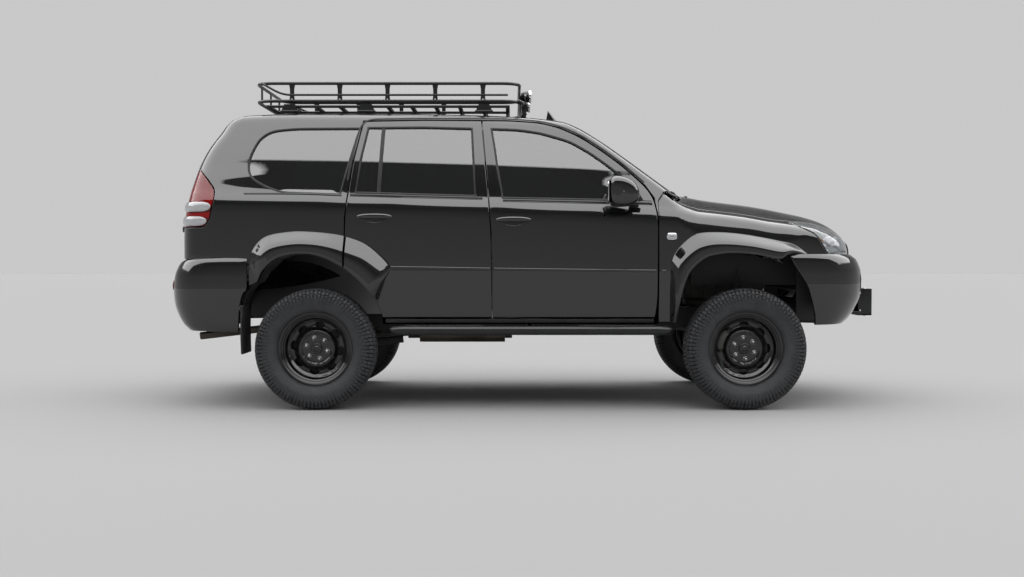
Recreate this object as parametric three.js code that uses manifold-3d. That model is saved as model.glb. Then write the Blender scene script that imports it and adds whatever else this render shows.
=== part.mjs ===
// A lifted five-door off-road vehicle with a roof rack, steel wheels and bolt-on recovery gear.
// Millimetres. +X is forward, +Z is up, the ground is Z = 0 and X = 0 is midway between the axles.
import * as THREE from "three";
import { mergeVertices } from "three/addons/utils/BufferGeometryUtils.js";
import Module from "manifold-3d";

const wasm = await Module();
wasm.setup();

// Driving sizes
const WHEELBASE = 2790;
const TRACK = 1600;
const TYRE_RADIUS = 392;
const TYRE_WIDTH = 270;
const RIM_RADIUS = 236;
const DOOR_GAP = 6;
const DOOR_THICKNESS = 112;
const FRAME_THICKNESS = 46;
const SKIN = 22;
const ROOF_THICKNESS = 36;
const FIT = 0.4;
const REACH = 2420;
const FLOOR_TOP = 640;
const LOAD_FLOOR_TOP = 880;
const RACK_LENGTH = 1780;
const RACK_WIDTH = 1000;
const RACK_TOP = 2170;
const RACK_FLOOR = 2014;
const SHELL_HALF_WIDTH = 878;

// The bodywork is drawn with its axles here. A change of wheelbase lengthens what is between
// CABIN_FRONT and CABIN_REAR and carries along what lies beyond them.
const FRONT_AXLE = 1395;
const REAR_AXLE = -1395;
const CABIN_FRONT = 820;
const CABIN_REAR = -925;
const LONGER = (WHEELBASE - FRONT_AXLE + REAR_AXLE) / 2;
function stationAt(x) {
  const share = THREE.MathUtils.clamp((x - CABIN_REAR) / (CABIN_FRONT - CABIN_REAR), 0, 1);
  return x + LONGER * (2 * share - 1);
}

// What follows from the track and the tyre
const HUB = TRACK / 2;
const AXLE_Z = TYRE_RADIUS;
const FLARE_REACH = HUB + TYRE_WIDTH / 2 + 2;
const ARCH_INNER = HUB - TYRE_WIDTH / 2 - 53;
const KINGPIN_Y = HUB - 94;

// Surface tables. Each row is [position, value]; curves through them have no overshoot.
const HALF_WIDTH_ALONG = curve([
  [-2420, 690], [-2340, 765], [-2280, 800], [-2200, 832], [-2050, 852], [-1800, 864], [-1395, 871],
  [-900, 876], [-300, 878], [400, 878], [850, 876], [1250, 872], [1500, 866], [1750, 858],
  [1850, 848], [1950, 830], [2040, 780], [2095, 700], [2130, 600], [2155, 500],
]);
const BELT_HEIGHT = curve([
  [-2350, 1432], [-1180, 1401], [-200, 1369], [456, 1342], [860, 1318], [1118, 1298],
  [1448, 1265], [1705, 1226], [1900, 1190], [2100, 1150],
]);
const DROP_FROM_BELT = curve([
  [-900, 0], [-450, 0], [-300, 2], [-140, 7], [-90, 12], [-60, 20], [-30, 34], [0, 52], [100, 76],
  [200, 104], [300, 138], [400, 176], [450, 196], [500, 222], [540, 252], [600, 320],
]);
const DROP_AT_SILL = curve([
  [400, 62], [500, 42], [560, 33], [620, 22], [700, 12], [800, 4], [900, 0], [3000, 0],
]);
const CABIN_TAPER = curve([
  [-2350, 34], [-1900, 15], [-1200, 0], [0, 0], [400, 8], [900, 44], [1100, 60],
]);
const ROOF_CROWN = curve([
  [-2300, 1860], [-2150, 1905], [-2000, 1946], [-1800, 1963], [-1500, 1971], [-1000, 1971],
  [-400, 1962], [0, 1943], [200, 1920], [400, 1888], [700, 1820],
]);
const ROOF_DROP = curve([
  [0, 0], [250, 4], [500, 17], [600, 31], [650, 52], [680, 78], [700, 110], [760, 260],
]);
const TAIL_FACE = curve([
  [400, -2345], [1100, -2345], [1250, -2335], [1400, -2302], [1500, -2272], [1600, -2236],
  [1690, -2190], [1755, -2146], [1810, -2103], [1860, -2072], [1900, -2046], [1990, -1960],
]);
const SCREEN_FACE = curve([
  [400, 902], [1290, 904], [1385, 1064], [1402, 1034], [1430, 996], [1550, 830], [1654, 685],
  [1751, 545], [1838, 405], [1900, 300], [1990, 130],
]);
const BONNET_CROWN = curve([
  [780, 1440], [900, 1433], [1060, 1417], [1200, 1391], [1553, 1345], [1834, 1289], [1904, 1275],
  [2050, 1232], [2120, 1195], [2160, 1155], [2210, 1060],
]);
const BONNET_EDGE = curve([
  [780, 1392], [835, 1370], [888, 1345], [986, 1318], [1118, 1296], [1250, 1285], [1448, 1258],
  [1580, 1234], [1705, 1217], [1850, 1190], [1950, 1150], [2050, 1095], [2120, 1040], [2210, 950],
]);
const BONNET_SHAPE = curve([
  [0, 0], [200, 0.05], [400, 0.22], [600, 0.64], [720, 1], [790, 1.24], [830, 1.5], [870, 2.3],
]);
const NOSE_PLAN = curve([
  [0, 2196], [250, 2190], [400, 2175], [500, 2155], [600, 2128], [700, 2085], [760, 2035],
  [800, 1975], [830, 1890], [850, 1780], [880, 1500],
]);
const NOSE_LEAN = curve([
  [400, 0], [985, 0], [1040, 8], [1100, 35], [1150, 75], [1200, 135], [1235, 200], [1260, 280],
]);

// Wheel openings: the arch's edge and the flare's outer line at the same stations.
const FRONT_WING = [
  { archX: 942, archZ: 562, flareX: 900, flareZ: 562 },
  { archX: 950, archZ: 660, flareX: 898, flareZ: 700 },
  { archX: 975, archZ: 775, flareX: 897, flareZ: 860 },
  { archX: 1022, archZ: 895, flareX: 912, flareZ: 990 },
  { archX: 1115, archZ: 980, flareX: 990, flareZ: 1091 },
  { archX: 1205, archZ: 1006, flareX: 1080, flareZ: 1144 },
  { archX: 1310, archZ: 1014, flareX: 1225, flareZ: 1152 },
  { archX: 1446, archZ: 1004, flareX: 1408, flareZ: 1134 },
  { archX: 1587, archZ: 977, flareX: 1600, flareZ: 1098 },
  { archX: 1650, archZ: 1001, flareX: 1710, flareZ: 1070 },
  { archX: 1720, archZ: 1004, flareX: 1800, flareZ: 1010 },
];
const REAR_WING = [
  { archX: -1770, archZ: 825, flareX: -1836, flareZ: 968 },
  { archX: -1725, archZ: 900, flareX: -1790, flareZ: 1060 },
  { archX: -1640, archZ: 975, flareX: -1707, flareZ: 1129 },
  { archX: -1540, archZ: 1005, flareX: -1547, flareZ: 1157 },
  { archX: -1425, archZ: 1007, flareX: -1418, flareZ: 1156 },
  { archX: -1320, archZ: 980, flareX: -1300, flareZ: 1146 },
  { archX: -1204, archZ: 919, flareX: -1200, flareZ: 1131 },
  { archX: -1140, archZ: 870, flareX: -1065, flareZ: 1084 },
  { archX: -1072, archZ: 806, flareX: -950, flareZ: 994 },
  { archX: -1025, archZ: 745, flareX: -898, flareZ: 930 },
  { archX: -992, archZ: 692, flareX: -925, flareZ: 885 },
];
const archLine = (wing) => wing.map((row) => [row.archX, row.archZ]);
const FRONT_ARCH = [
  [940, 380], ...archLine(FRONT_WING.slice(0, 9)), [1713, 912], [1777, 808], [1809, 712],
  [1838, 609], [1846, 540], [1848, 380],
];
const REAR_ARCH = [
  [-1892, 380], [-1886, 540], [-1872, 690], [-1850, 760], [-1802, 812], ...archLine(REAR_WING),
  [-964, 610], [-958, 540], [-956, 380],
];

// Side outlines as [x, z] rows.
const FRONT_DOOR = [
  [-246, 596], [806, 596], [822, 700], [823, 1225], [802, 1368], [745, 1452], [592, 1590],
  [462, 1688], [330, 1776], [190, 1842], [60, 1876], [-150, 1890], [-318, 1890], [-270, 1376],
  [-252, 1130], [-248, 900],
];
const REAR_DOOR = [
  [-252, 596], [-254, 900], [-258, 1130], [-276, 1376], [-325, 1890], [-700, 1892],
  [-1100, 1884], [-1158, 1600], [-1186, 1385], [-1200, 1240], [-1204, 1048], [-1204, 921],
  [-1140, 872], [-1072, 808], [-1025, 747], [-992, 694], [-960, 596],
];
const FRONT_WINDOW = [
  [-184, 1372], [712, 1354], [738, 1388], [640, 1478], [522, 1576], [392, 1672], [260, 1750],
  [64, 1808], [-80, 1830], [-259, 1836], [-239, 1722], [-219, 1578],
];
const REAR_WINDOW = [
  [-357, 1384], [-384, 1838], [-700, 1846], [-1070, 1842], [-1110, 1640], [-1140, 1406],
];
const QUARTER_WINDOW = [
  [-1236, 1394], [-1176, 1640], [-1122, 1838], [-1540, 1836], [-1706, 1822], [-1786, 1770],
  [-1844, 1640], [-1852, 1560], [-1832, 1510], [-1760, 1462], [-1630, 1408],
];
const HEADLAMP = [
  [1694, 1218], [1769, 1182], [1853, 1137], [1892, 1085], [1918, 1040], [1950, 999],
  [2135, 999], [2120, 1062], [2080, 1130], [2030, 1180], [1960, 1218], [1850, 1252], [1760, 1248],
];
const TAIL_LAMP = [
  [-2120, 1182], [-2085, 1240], [-2056, 1400], [-2100, 1480], [-2172, 1562], [-2400, 1562],
  [-2400, 1182],
];

// Interpolates through a table with a monotone cubic, flat beyond its ends.
function curve(rows) {
  const x = rows.map((r) => r[0]);
  const y = rows.map((r) => r[1]);
  const slope = x.slice(1).map((v, i) => (y[i + 1] - y[i]) / (v - x[i]));
  const tangent = x.map((v, i) => {
    if (i === 0) return slope[0];
    if (i === x.length - 1) return slope[i - 1];
    const product = slope[i - 1] * slope[i];
    return product <= 0 ? 0 : (2 * product) / (slope[i - 1] + slope[i]);
  });
  return (at) => {
    if (at <= x[0]) return y[0];
    if (at >= x[x.length - 1]) return y[y.length - 1];
    let i = 0;
    while (at > x[i + 1]) i++;
    const h = x[i + 1] - x[i];
    const t = (at - x[i]) / h;
    const a = (1 + 2 * t) * (1 - t) * (1 - t);
    const b = t * (1 - t) * (1 - t);
    const c = t * t * (3 - 2 * t);
    const d = t * t * (t - 1);
    return a * y[i] + b * h * tangent[i] + c * y[i + 1] + d * h * tangent[i + 1];
  };
}

// Bodywork surfaces
function sideAt(x, z) {
  const above = z - BELT_HEIGHT(x);
  const taper = CABIN_TAPER(x) * THREE.MathUtils.smoothstep(above, -40, 200);
  return HALF_WIDTH_ALONG(x) - DROP_FROM_BELT(above) - DROP_AT_SILL(z) - taper;
}
function roofAt(x, y) {
  return ROOF_CROWN(x) - ROOF_DROP(Math.abs(y));
}
function tailAt(y, z) {
  return TAIL_FACE(z) + 50 * Math.pow(Math.abs(y) / 650, 2.6);
}
function screenAt(y, z) {
  const bow = THREE.MathUtils.smoothstep(z, 1290, 1400);
  return SCREEN_FACE(z) - bow * 92 * Math.pow(Math.abs(y) / 700, 2);
}
function bonnetAt(x, y) {
  return BONNET_CROWN(x) - (BONNET_CROWN(x) - BONNET_EDGE(x)) * BONNET_SHAPE(Math.abs(y));
}
function noseAt(y, z) {
  return NOSE_PLAN(Math.abs(y)) - NOSE_LEAN(z);
}
function wallAt(x, z) {
  const above = z - BELT_HEIGHT(x);
  const share = THREE.MathUtils.smoothstep(above, -90, -20);
  return THREE.MathUtils.lerp(DOOR_THICKNESS, FRAME_THICKNESS, share);
}

// Solid helpers
function toSolid(geometry) {
  const bare = new THREE.BufferGeometry();
  const plain = geometry.index ? geometry.toNonIndexed() : geometry;
  bare.setAttribute("position", plain.getAttribute("position"));
  const merged = mergeVertices(bare, 1e-3);
  return fromLists(merged.attributes.position.array, [...merged.index.array]);
}
function fromLists(points, faces) {
  const kept = [];
  for (let i = 0; i < faces.length; i += 3) {
    const [a, b, c] = [faces[i], faces[i + 1], faces[i + 2]];
    if (a !== b && b !== c && c !== a) kept.push(a, b, c);
  }
  const vertProperties = new Float32Array(points);
  const made = new wasm.Manifold(
    new wasm.Mesh({ numProp: 3, vertProperties, triVerts: new Uint32Array(kept) }),
  );
  if (made.volume() >= 0) return made;
  for (let i = 0; i < kept.length; i += 3) [kept[i], kept[i + 1]] = [kept[i + 1], kept[i]];
  return new wasm.Manifold(
    new wasm.Mesh({ numProp: 3, vertProperties, triVerts: new Uint32Array(kept) }),
  );
}
function union(...solids) {
  return solids.reduce((a, b) => a.add(b));
}
function spread(from, to, count) {
  return Array.from({ length: count + 1 }, (_, i) => from + ((to - from) * i) / count);
}
// The solid between two surfaces drawn over one grid.
function between(us, vs, low, high) {
  const points = [];
  const faces = [];
  const nu = us.length;
  const nv = vs.length;
  for (const surface of [low, high])
    for (const u of us) for (const v of vs) points.push(...surface(u, v));
  const at = (layer, i, j) => layer * nu * nv + i * nv + j;
  const quad = (a, b, c, d) => faces.push(a, b, c, a, c, d);
  for (let i = 0; i + 1 < nu; i++)
    for (let j = 0; j + 1 < nv; j++) {
      quad(at(0, i, j), at(0, i, j + 1), at(0, i + 1, j + 1), at(0, i + 1, j));
      quad(at(1, i, j), at(1, i + 1, j), at(1, i + 1, j + 1), at(1, i, j + 1));
    }
  for (let i = 0; i + 1 < nu; i++) {
    quad(at(0, i, 0), at(0, i + 1, 0), at(1, i + 1, 0), at(1, i, 0));
    quad(at(0, i + 1, nv - 1), at(0, i, nv - 1), at(1, i, nv - 1), at(1, i + 1, nv - 1));
  }
  for (let j = 0; j + 1 < nv; j++) {
    quad(at(0, 0, j + 1), at(0, 0, j), at(1, 0, j), at(1, 0, j + 1));
    quad(at(0, nu - 1, j), at(0, nu - 1, j + 1), at(1, nu - 1, j + 1), at(1, nu - 1, j));
  }
  return fromLists(points, faces);
}
// Straight extrusion of an outline; place maps [a, b, depth] to a point.
function extrude(outline, from, to, place) {
  const shape = new THREE.Shape(outline.map(([a, b]) => new THREE.Vector2(a, b)));
  const geometry = new THREE.ExtrudeGeometry(shape, { depth: to - from, bevelEnabled: false });
  const position = geometry.attributes.position;
  for (let i = 0; i < position.count; i++) {
    const [x, y, z] = place(position.getX(i), position.getY(i), position.getZ(i) + from);
    position.setXYZ(i, x, y, z);
  }
  return toSolid(geometry);
}
const acrossY = (outline, from, to) => extrude(outline, from, to, (a, b, d) => [a, d, b]);
const acrossZ = (outline, from, to) => extrude(outline, from, to, (a, b, d) => [a, b, d]);
const acrossX = (outline, from, to) => extrude(outline, from, to, (a, b, d) => [d, a, b]);
function box(x0, x1, y0, y1, z0, z1) {
  const geometry = new THREE.BoxGeometry(x1 - x0, y1 - y0, z1 - z0);
  geometry.translate((x0 + x1) / 2, (y0 + y1) / 2, (z0 + z1) / 2);
  return toSolid(geometry);
}
function rod(from, to, radius, sides = 8) {
  const a = new THREE.Vector3(...from);
  const b = new THREE.Vector3(...to);
  const geometry = new THREE.CylinderGeometry(radius, radius, a.distanceTo(b), sides);
  const turn = new THREE.Quaternion().setFromUnitVectors(
    new THREE.Vector3(0, 1, 0), b.clone().sub(a).normalize(),
  );
  geometry.applyQuaternion(turn);
  const middle = a.add(b).multiplyScalar(0.5);
  geometry.translate(middle.x, middle.y, middle.z);
  return toSolid(geometry);
}
// Round bar through a list of points, mitred at each one.
function tube(path, radius, sides = 6, closed = false) {
  const points = path.map((p) => new THREE.Vector3(...p));
  const count = points.length;
  const ring = [];
  let normal = new THREE.Vector3(0, 0, 1);
  points.forEach((p, i) => {
    const before = points[(i + count - 1) % count];
    const after = points[(i + 1) % count];
    const into = p.clone().sub(before).normalize();
    const out = after.clone().sub(p).normalize();
    if (!closed && i === 0) into.copy(out);
    if (!closed && i === count - 1) out.copy(into);
    const along = into.clone().add(out).normalize();
    const half = Math.max(0.5, along.dot(into));
    if (Math.abs(along.dot(normal)) > 0.9) normal = new THREE.Vector3(0, 1, 0.01).normalize();
    const side = new THREE.Vector3().crossVectors(along, normal).normalize();
    const up = new THREE.Vector3().crossVectors(side, along).normalize();
    const bend = out.clone().sub(into);
    const bendAxis = bend.length() > 1e-6 ? bend.normalize() : side;
    for (let k = 0; k < sides; k++) {
      const turn = ((k + 0.5) / sides) * Math.PI * 2;
      const offset = side.clone().multiplyScalar(Math.cos(turn) * radius);
      offset.addScaledVector(up, Math.sin(turn) * radius);
      offset.addScaledVector(bendAxis, offset.dot(bendAxis) * (1 / half - 1));
      ring.push(p.x + offset.x, p.y + offset.y, p.z + offset.z);
    }
  });
  const faces = [];
  const last = closed ? count : count - 1;
  for (let i = 0; i < last; i++)
    for (let k = 0; k < sides; k++) {
      const a = i * sides + k;
      const b = i * sides + ((k + 1) % sides);
      const c = ((i + 1) % count) * sides + ((k + 1) % sides);
      const d = ((i + 1) % count) * sides + k;
      faces.push(a, b, c, a, c, d);
    }
  if (!closed)
    for (let k = 1; k + 1 < sides; k++) {
      faces.push(0, k + 1, k);
      const base = (count - 1) * sides;
      faces.push(base, base + k, base + k + 1);
    }
  return fromLists(ring, faces);
}
// A closed [radius, depth] profile turned about the Y direction.
function turned(profile, segments) {
  const points = profile.map(([r, d]) => new THREE.Vector2(r, d));
  points.push(points[0].clone());
  return toSolid(new THREE.LatheGeometry(points, segments));
}
// Sweeps a section along a plan path. A path row is [x, y, share]; a section row is
// [inset, z, depth], where the share scales the inset and leaves the depth as it is.
function sweptBumper(path, section) {
  const half = path.map(([x, y, share]) => ({ x, y, share }));
  const full = [...half, ...half.slice(0, -1).reverse().map((p) => ({ ...p, y: -p.y }))];
  const outward = full.map((p, i) => {
    const before = full[Math.max(0, i - 1)];
    const after = full[Math.min(full.length - 1, i + 1)];
    const out = new THREE.Vector2(after.y - before.y, before.x - after.x).normalize();
    return out.x * p.x + out.y * p.y < 0 ? out.negate() : out;
  });
  const points = [];
  const faces = [];
  const n = section.length;
  full.forEach((p, i) => {
    for (const [inset, z, deep] of section) {
      const move = inset * p.share - deep;
      points.push(p.x + outward[i].x * move, p.y + outward[i].y * move, z);
    }
  });
  for (let i = 0; i + 1 < full.length; i++)
    for (let k = 0; k < n; k++) {
      const a = i * n + k;
      const b = i * n + ((k + 1) % n);
      faces.push(a, b, b + n, a, b + n, a + n);
    }
  const flat = section.map(([inset, z, deep]) => new THREE.Vector2(inset - deep, z));
  const way = THREE.ShapeUtils.area(flat) > 0;
  const base = (full.length - 1) * n;
  for (const corners of THREE.ShapeUtils.triangulateShape(flat, [])) {
    const same = THREE.ShapeUtils.area(corners.map((k) => flat[k])) > 0 === way;
    const [a, b, c] = same ? corners : corners.slice().reverse();
    faces.push(c, b, a);
    faces.push(base + a, base + b, base + c);
  }
  return fromLists(points, faces);
}
function moved(solid, x, y, z) {
  const m = solid.getMesh();
  const points = Float32Array.from(m.vertProperties);
  for (let i = 0; i < points.length; i += 3) {
    points[i] += x;
    points[i + 1] += y;
    points[i + 2] += z;
  }
  return fromLists(points, [...m.triVerts]);
}
function mirrored(solid) {
  const m = solid.getMesh();
  const points = Float32Array.from(m.vertProperties);
  for (let i = 1; i < points.length; i += 3) points[i] = -points[i];
  return fromLists(points, [...m.triVerts]);
}
// Moves every edge of an outline outwards by a distance.
function grown(outline, distance) {
  const area = outline.reduce((sum, [x, z], i) => {
    const [nx, nz] = outline[(i + 1) % outline.length];
    return sum + x * nz - nx * z;
  }, 0);
  const way = area > 0 ? 1 : -1;
  return outline.map(([x, z], i) => {
    const [px, pz] = outline[(i + outline.length - 1) % outline.length];
    const [nx, nz] = outline[(i + 1) % outline.length];
    const a = new THREE.Vector2(z - pz, px - x).normalize();
    const b = new THREE.Vector2(nz - z, x - nx).normalize();
    const m = a.clone().add(b).normalize();
    const reach = (way * distance) / Math.max(0.35, m.dot(a));
    return [x + m.x * reach, z + m.y * reach];
  });
}

const vehicle = new THREE.Group();
vehicle.name = "off_road_vehicle";
const finishes = {
  paint: { color: 0x0a0b0d, roughness: 0.18, metalness: 0.0 },
  glass: { color: 0x14181a, roughness: 0.05, metalness: 0.0, transparent: true, opacity: 0.55 },
  satin: { color: 0x1c1e20, roughness: 0.5, metalness: 0.3 },
  plastic: { color: 0x17181a, roughness: 0.7, metalness: 0.0 },
  frame: { color: 0x121212, roughness: 0.6, metalness: 0.4 },
  cast: { color: 0x4a4a48, roughness: 0.6, metalness: 0.7 },
  tyre: { color: 0x1b1b1b, roughness: 0.9, metalness: 0.0 },
  steel: { color: 0x0c0c0e, roughness: 0.25, metalness: 0.4 },
  lamp: { color: 0xc8ccd0, roughness: 0.1, metalness: 0.3 },
  red: { color: 0x8a0e12, roughness: 0.15, metalness: 0.0 },
  fabric: { color: 0x2b2b2d, roughness: 0.95, metalness: 0.0 },
};
// A piece with an anchor moves as a whole with that station; any other stretches with the cabin.
function addPiece(name, finish, solid, anchor = null) {
  const m = solid.getMesh();
  const points = Float32Array.from(m.vertProperties);
  const shift = anchor === null ? 0 : stationAt(anchor) - anchor;
  for (let i = 0; i < points.length; i += 3)
    points[i] = anchor === null ? stationAt(points[i]) : points[i] + shift;
  const geometry = new THREE.BufferGeometry();
  geometry.setAttribute("position", new THREE.BufferAttribute(points, 3));
  geometry.setIndex(new THREE.BufferAttribute(m.triVerts, 1));
  geometry.computeVertexNormals();
  const mesh = new THREE.Mesh(geometry, new THREE.MeshStandardMaterial(finishes[finish]));
  mesh.name = name;
  vehicle.add(mesh);
}
function addPair(name, finish, leftSolid, anchor = null) {
  addPiece(name + "_left", finish, leftSolid, anchor);
  addPiece(name + "_right", finish, mirrored(leftSolid), anchor);
}

// Bodywork volume and its hollow
const ALONG = [-2430, -2310, -2150, -1800, -1000, -250, 500, 860, 1120];
const LEVELS = [500, 720, 960, 1260, 1345, 1400, 1620, 1840, 1910, 1990];
const ACROSS = [-950, -760, -680, -610, -400, 0, 400, 610, 680, 760, 950];
const FACE_LEVELS = [400, 1150, 1290, 1385, 1402, 1570, 1760, 1900, 2100];
const FACE_ACROSS = [-950, -740, -420, 0, 420, 740, 950];
function bodyVolume(wall, roof, front, rear, bottom) {
  const side = between(
    ALONG, LEVELS,
    (x, z) => [x, -(sideAt(x, z) - wall(x, z)), z],
    (x, z) => [x, sideAt(x, z) - wall(x, z), z],
  );
  const top = between(
    [-2500, -2150, -1980, -1500, -500, 0, 250, 800, 1300], ACROSS,
    (x, y) => [x, y, bottom],
    (x, y) => [x, y, roofAt(x, y) - roof],
  );
  const tail = between(
    FACE_ACROSS, FACE_LEVELS,
    (y, z) => [tailAt(y, z) + rear, y, z],
    (y, z) => [1500, y, z],
  );
  const screen = between(
    FACE_ACROSS, FACE_LEVELS,
    (y, z) => [-2600, y, z],
    (y, z) => [screenAt(y, z) - front, y, z],
  );
  return side.intersect(top).intersect(tail).intersect(screen);
}
const TAILGATE_THICKNESS = 95;
const SILL_BOTTOM = 552;
const outer = bodyVolume(() => 0, 0, 0, 0, SILL_BOTTOM);
const hollow = bodyVolume(wallAt, ROOF_THICKNESS, 26, TAILGATE_THICKNESS, SILL_BOTTOM - 100);
const lining = bodyVolume(
  (x, z) => wallAt(x, z) + FIT, ROOF_THICKNESS, 26 + FIT, TAILGATE_THICKNESS + FIT, SILL_BOTTOM - 100,
);
const walls = outer.subtract(hollow);

// A sheet that follows the body side, from one depth under its surface to another.
function sideSheet(inner, outside, from = -2430, to = 2150, low = 480, high = 1960) {
  const stations = [...ALONG.filter((x) => x > from && x < to), from, to];
  for (const x of [1250, 1400, 1550, 1700, 1800, 1900, 1980, 2040, 2095])
    if (x > from && x < to) stations.push(x);
  const levels = [...LEVELS.filter((z) => z > low && z < high), low, high];
  stations.sort((a, b) => a - b);
  levels.sort((a, b) => a - b);
  return between(
    stations, levels,
    (x, z) => [x, sideAt(x, z) - inner, z],
    (x, z) => [x, sideAt(x, z) - outside, z],
  );
}
// The flare's outer surface over one wheel, between two rows of its table.
function flare(wing, first, last) {
  const swell = [[0, 0], [0.18, 0.5], [0.45, 0.88], [0.8, 1], [1, 1]];
  const place = (i, k) => {
    const row = wing[i];
    const x = THREE.MathUtils.lerp(row.flareX, row.archX, swell[k][0]);
    const z = THREE.MathUtils.lerp(row.flareZ, row.archZ, swell[k][0]);
    return [x, z, sideAt(x, z)];
  };
  const rows = spread(first, last, last - first);
  const fade = (i) => Math.min(1, 0.35 + 0.35 * i, 0.35 + 0.35 * (wing.length - 1 - i));
  return between(
    rows, spread(0, swell.length - 1, swell.length - 1),
    (i, k) => {
      const [x, z, y] = place(i, k);
      return [x, y - 14, z];
    },
    (i, k) => {
      const [x, z, y] = place(i, k);
      return [x, y + 0.5 + (FLARE_REACH - y) * swell[k][1] * fade(i), z];
    },
  );
}

// Doors: a thin skin with the full outline and a thick box inside its hem
const HEM = 24;
function doorSolid(outline, opening) {
  const shut = walls.intersect(acrossY(outline, 300, 990));
  const skin = shut.intersect(sideSheet(SKIN, -20));
  const inside = shut.intersect(acrossY(grown(outline, -HEM), 300, 990));
  return skin.add(inside.intersect(sideSheet(300, SKIN - 4))).subtract(acrossY(opening, 300, 990));
}
function doorCut(outline) {
  const rebate = acrossY(grown(outline, DOOR_GAP), 300, 990).intersect(sideSheet(SKIN + 6, -60));
  const through = acrossY(grown(outline, 14 - HEM), 300, 990);
  return rebate.add(through.intersect(sideSheet(400, SKIN)));
}
function windowPane(outline, depth = 8, thick = 5) {
  return acrossY(grown(outline, -FIT), 300, 990).intersect(sideSheet(depth + thick, depth));
}
const rearDoorFlare = flare(REAR_WING, 6, 10);
const rearDoorReach = acrossY(REAR_DOOR, 500, 990);
const frontDoor = doorSolid(FRONT_DOOR, FRONT_WINDOW);
const rearDoor = doorSolid(REAR_DOOR, REAR_WINDOW).add(rearDoorFlare.intersect(rearDoorReach));
addPair("door_front", "paint", frontDoor);
addPair("door_rear", "paint", rearDoor);
addPair("glass_front", "glass", windowPane(FRONT_WINDOW));
addPair("glass_rear", "glass", windowPane(REAR_WINDOW));
addPair("glass_quarter", "glass", windowPane(QUARTER_WINDOW));

// Rear door, hinged at the vehicle's right side
const TAILGATE = [
  [-712, 988], [-716, 1180], [-706, 1400], [-668, 1600], [-612, 1780], [-570, 1862], [-300, 1880],
  [300, 1880], [570, 1862], [612, 1780], [668, 1600], [706, 1400], [716, 1180], [712, 988],
];
const TAIL_WINDOW = [
  [-590, 1440], [-560, 1620], [-505, 1790], [-300, 1812], [300, 1812], [505, 1790], [560, 1620],
  [590, 1440],
];
function tailSheet(outside, inside) {
  return between(
    FACE_ACROSS, FACE_LEVELS,
    (y, z) => [tailAt(y, z) + outside, y, z],
    (y, z) => [tailAt(y, z) + inside, y, z],
  );
}
const tailReach = [-2600, -1700];
const gate = walls.intersect(acrossX(TAILGATE, ...tailReach));
const tailgate = gate
  .intersect(tailSheet(-20, SKIN))
  .add(gate.intersect(acrossX(grown(TAILGATE, -HEM), ...tailReach))
    .intersect(tailSheet(SKIN - 4, TAILGATE_THICKNESS + 4)))
  .subtract(acrossX(TAIL_WINDOW, ...tailReach));
const tailgateCut = acrossX(grown(TAILGATE, DOOR_GAP + 1), ...tailReach)
  .intersect(tailSheet(-60, SKIN + 6))
  .add(acrossX(grown(TAILGATE, 14 - HEM), ...tailReach).intersect(tailSheet(SKIN, 300)));
addPiece("rear_door", "paint", tailgate);
addPiece(
  "rear_door_glass", "glass",
  acrossX(grown(TAIL_WINDOW, -FIT), ...tailReach).intersect(tailSheet(18, 23)),
);

// Body shell
const archPrism = acrossY(REAR_ARCH, ARCH_INNER, 1200);
const wheelhouse = acrossY(grown(REAR_ARCH, 14), ARCH_INNER - 12, 846)
  .subtract(archPrism)
  .subtract(box(-2500, 0, 0, 1000, 0, 600));
const INSIDE_BUMPER = [
  [-1826, 795], [-2050, 792], [-2130, 745], [-2180, 660], [-2210, 500], [-2236, 250],
  [-2236, -250], [-2210, -500], [-2180, -660], [-2130, -745], [-2050, -792], [-1826, -795],
];
const bumperRoom = box(-2500, -1826, -1100, 1100, 300, 974).subtract(acrossZ(INSIDE_BUMPER, 200, 1100));
const fenderRoom = sideSheet(50, -100, 829, 1140, 480, 1420).add(between(
  spread(829, 1140, 3), [716, 760, 800, 840, 950],
  (x, y) => [x, y, 480],
  (x, y) => [x, y, bonnetAt(x, y) + 12],
));
const rearFlare = flare(REAR_WING, 0, 6);
function bothSides(solid) {
  return solid.add(mirrored(solid));
}
const lampRoom = acrossY(grown(TAIL_LAMP, 3), 640, 990);
const SCREEN_OPENING = [
  [-640, 1448], [-560, 1436], [0, 1432], [560, 1436], [640, 1448], [560, 1838], [520, 1868],
  [0, 1880], [-520, 1868], [-560, 1838],
];
const shell = walls
  .subtract(bothSides(archPrism.add(lampRoom)))
  .add(bothSides(wheelhouse))
  .add(bothSides(rearFlare.subtract(acrossY(grown(REAR_DOOR, DOOR_GAP), 500, 990))))
  .subtract(bothSides(doorCut(FRONT_DOOR).add(doorCut(REAR_DOOR))))
  .subtract(bothSides(acrossY(QUARTER_WINDOW, 500, 990)))
  .subtract(bumperRoom)
  .subtract(bothSides(fenderRoom))
  .subtract(box(850, 910, -700, 700, 400, 590))
  .subtract(tailgateCut)
  .subtract(acrossX(SCREEN_OPENING, 0, 1200));
addPiece("body_shell", "paint", shell);
addPiece(
  "windscreen", "glass",
  acrossX(grown(SCREEN_OPENING, -FIT), 0, 1200).intersect(between(
    FACE_ACROSS, FACE_LEVELS,
    (y, z) => [screenAt(y, z) - 16, y, z],
    (y, z) => [screenAt(y, z) - 6, y, z],
  )),
);
addPair(
  "tail_lamp", "red",
  acrossY(TAIL_LAMP, 640, 990).intersect(outer).intersect(
    sideSheet(70, -20, -2430, -1900).add(tailSheet(-20, 70))
  ).subtract(acrossX(grown(TAILGATE, DOOR_GAP + 3), ...tailReach)),
);

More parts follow.
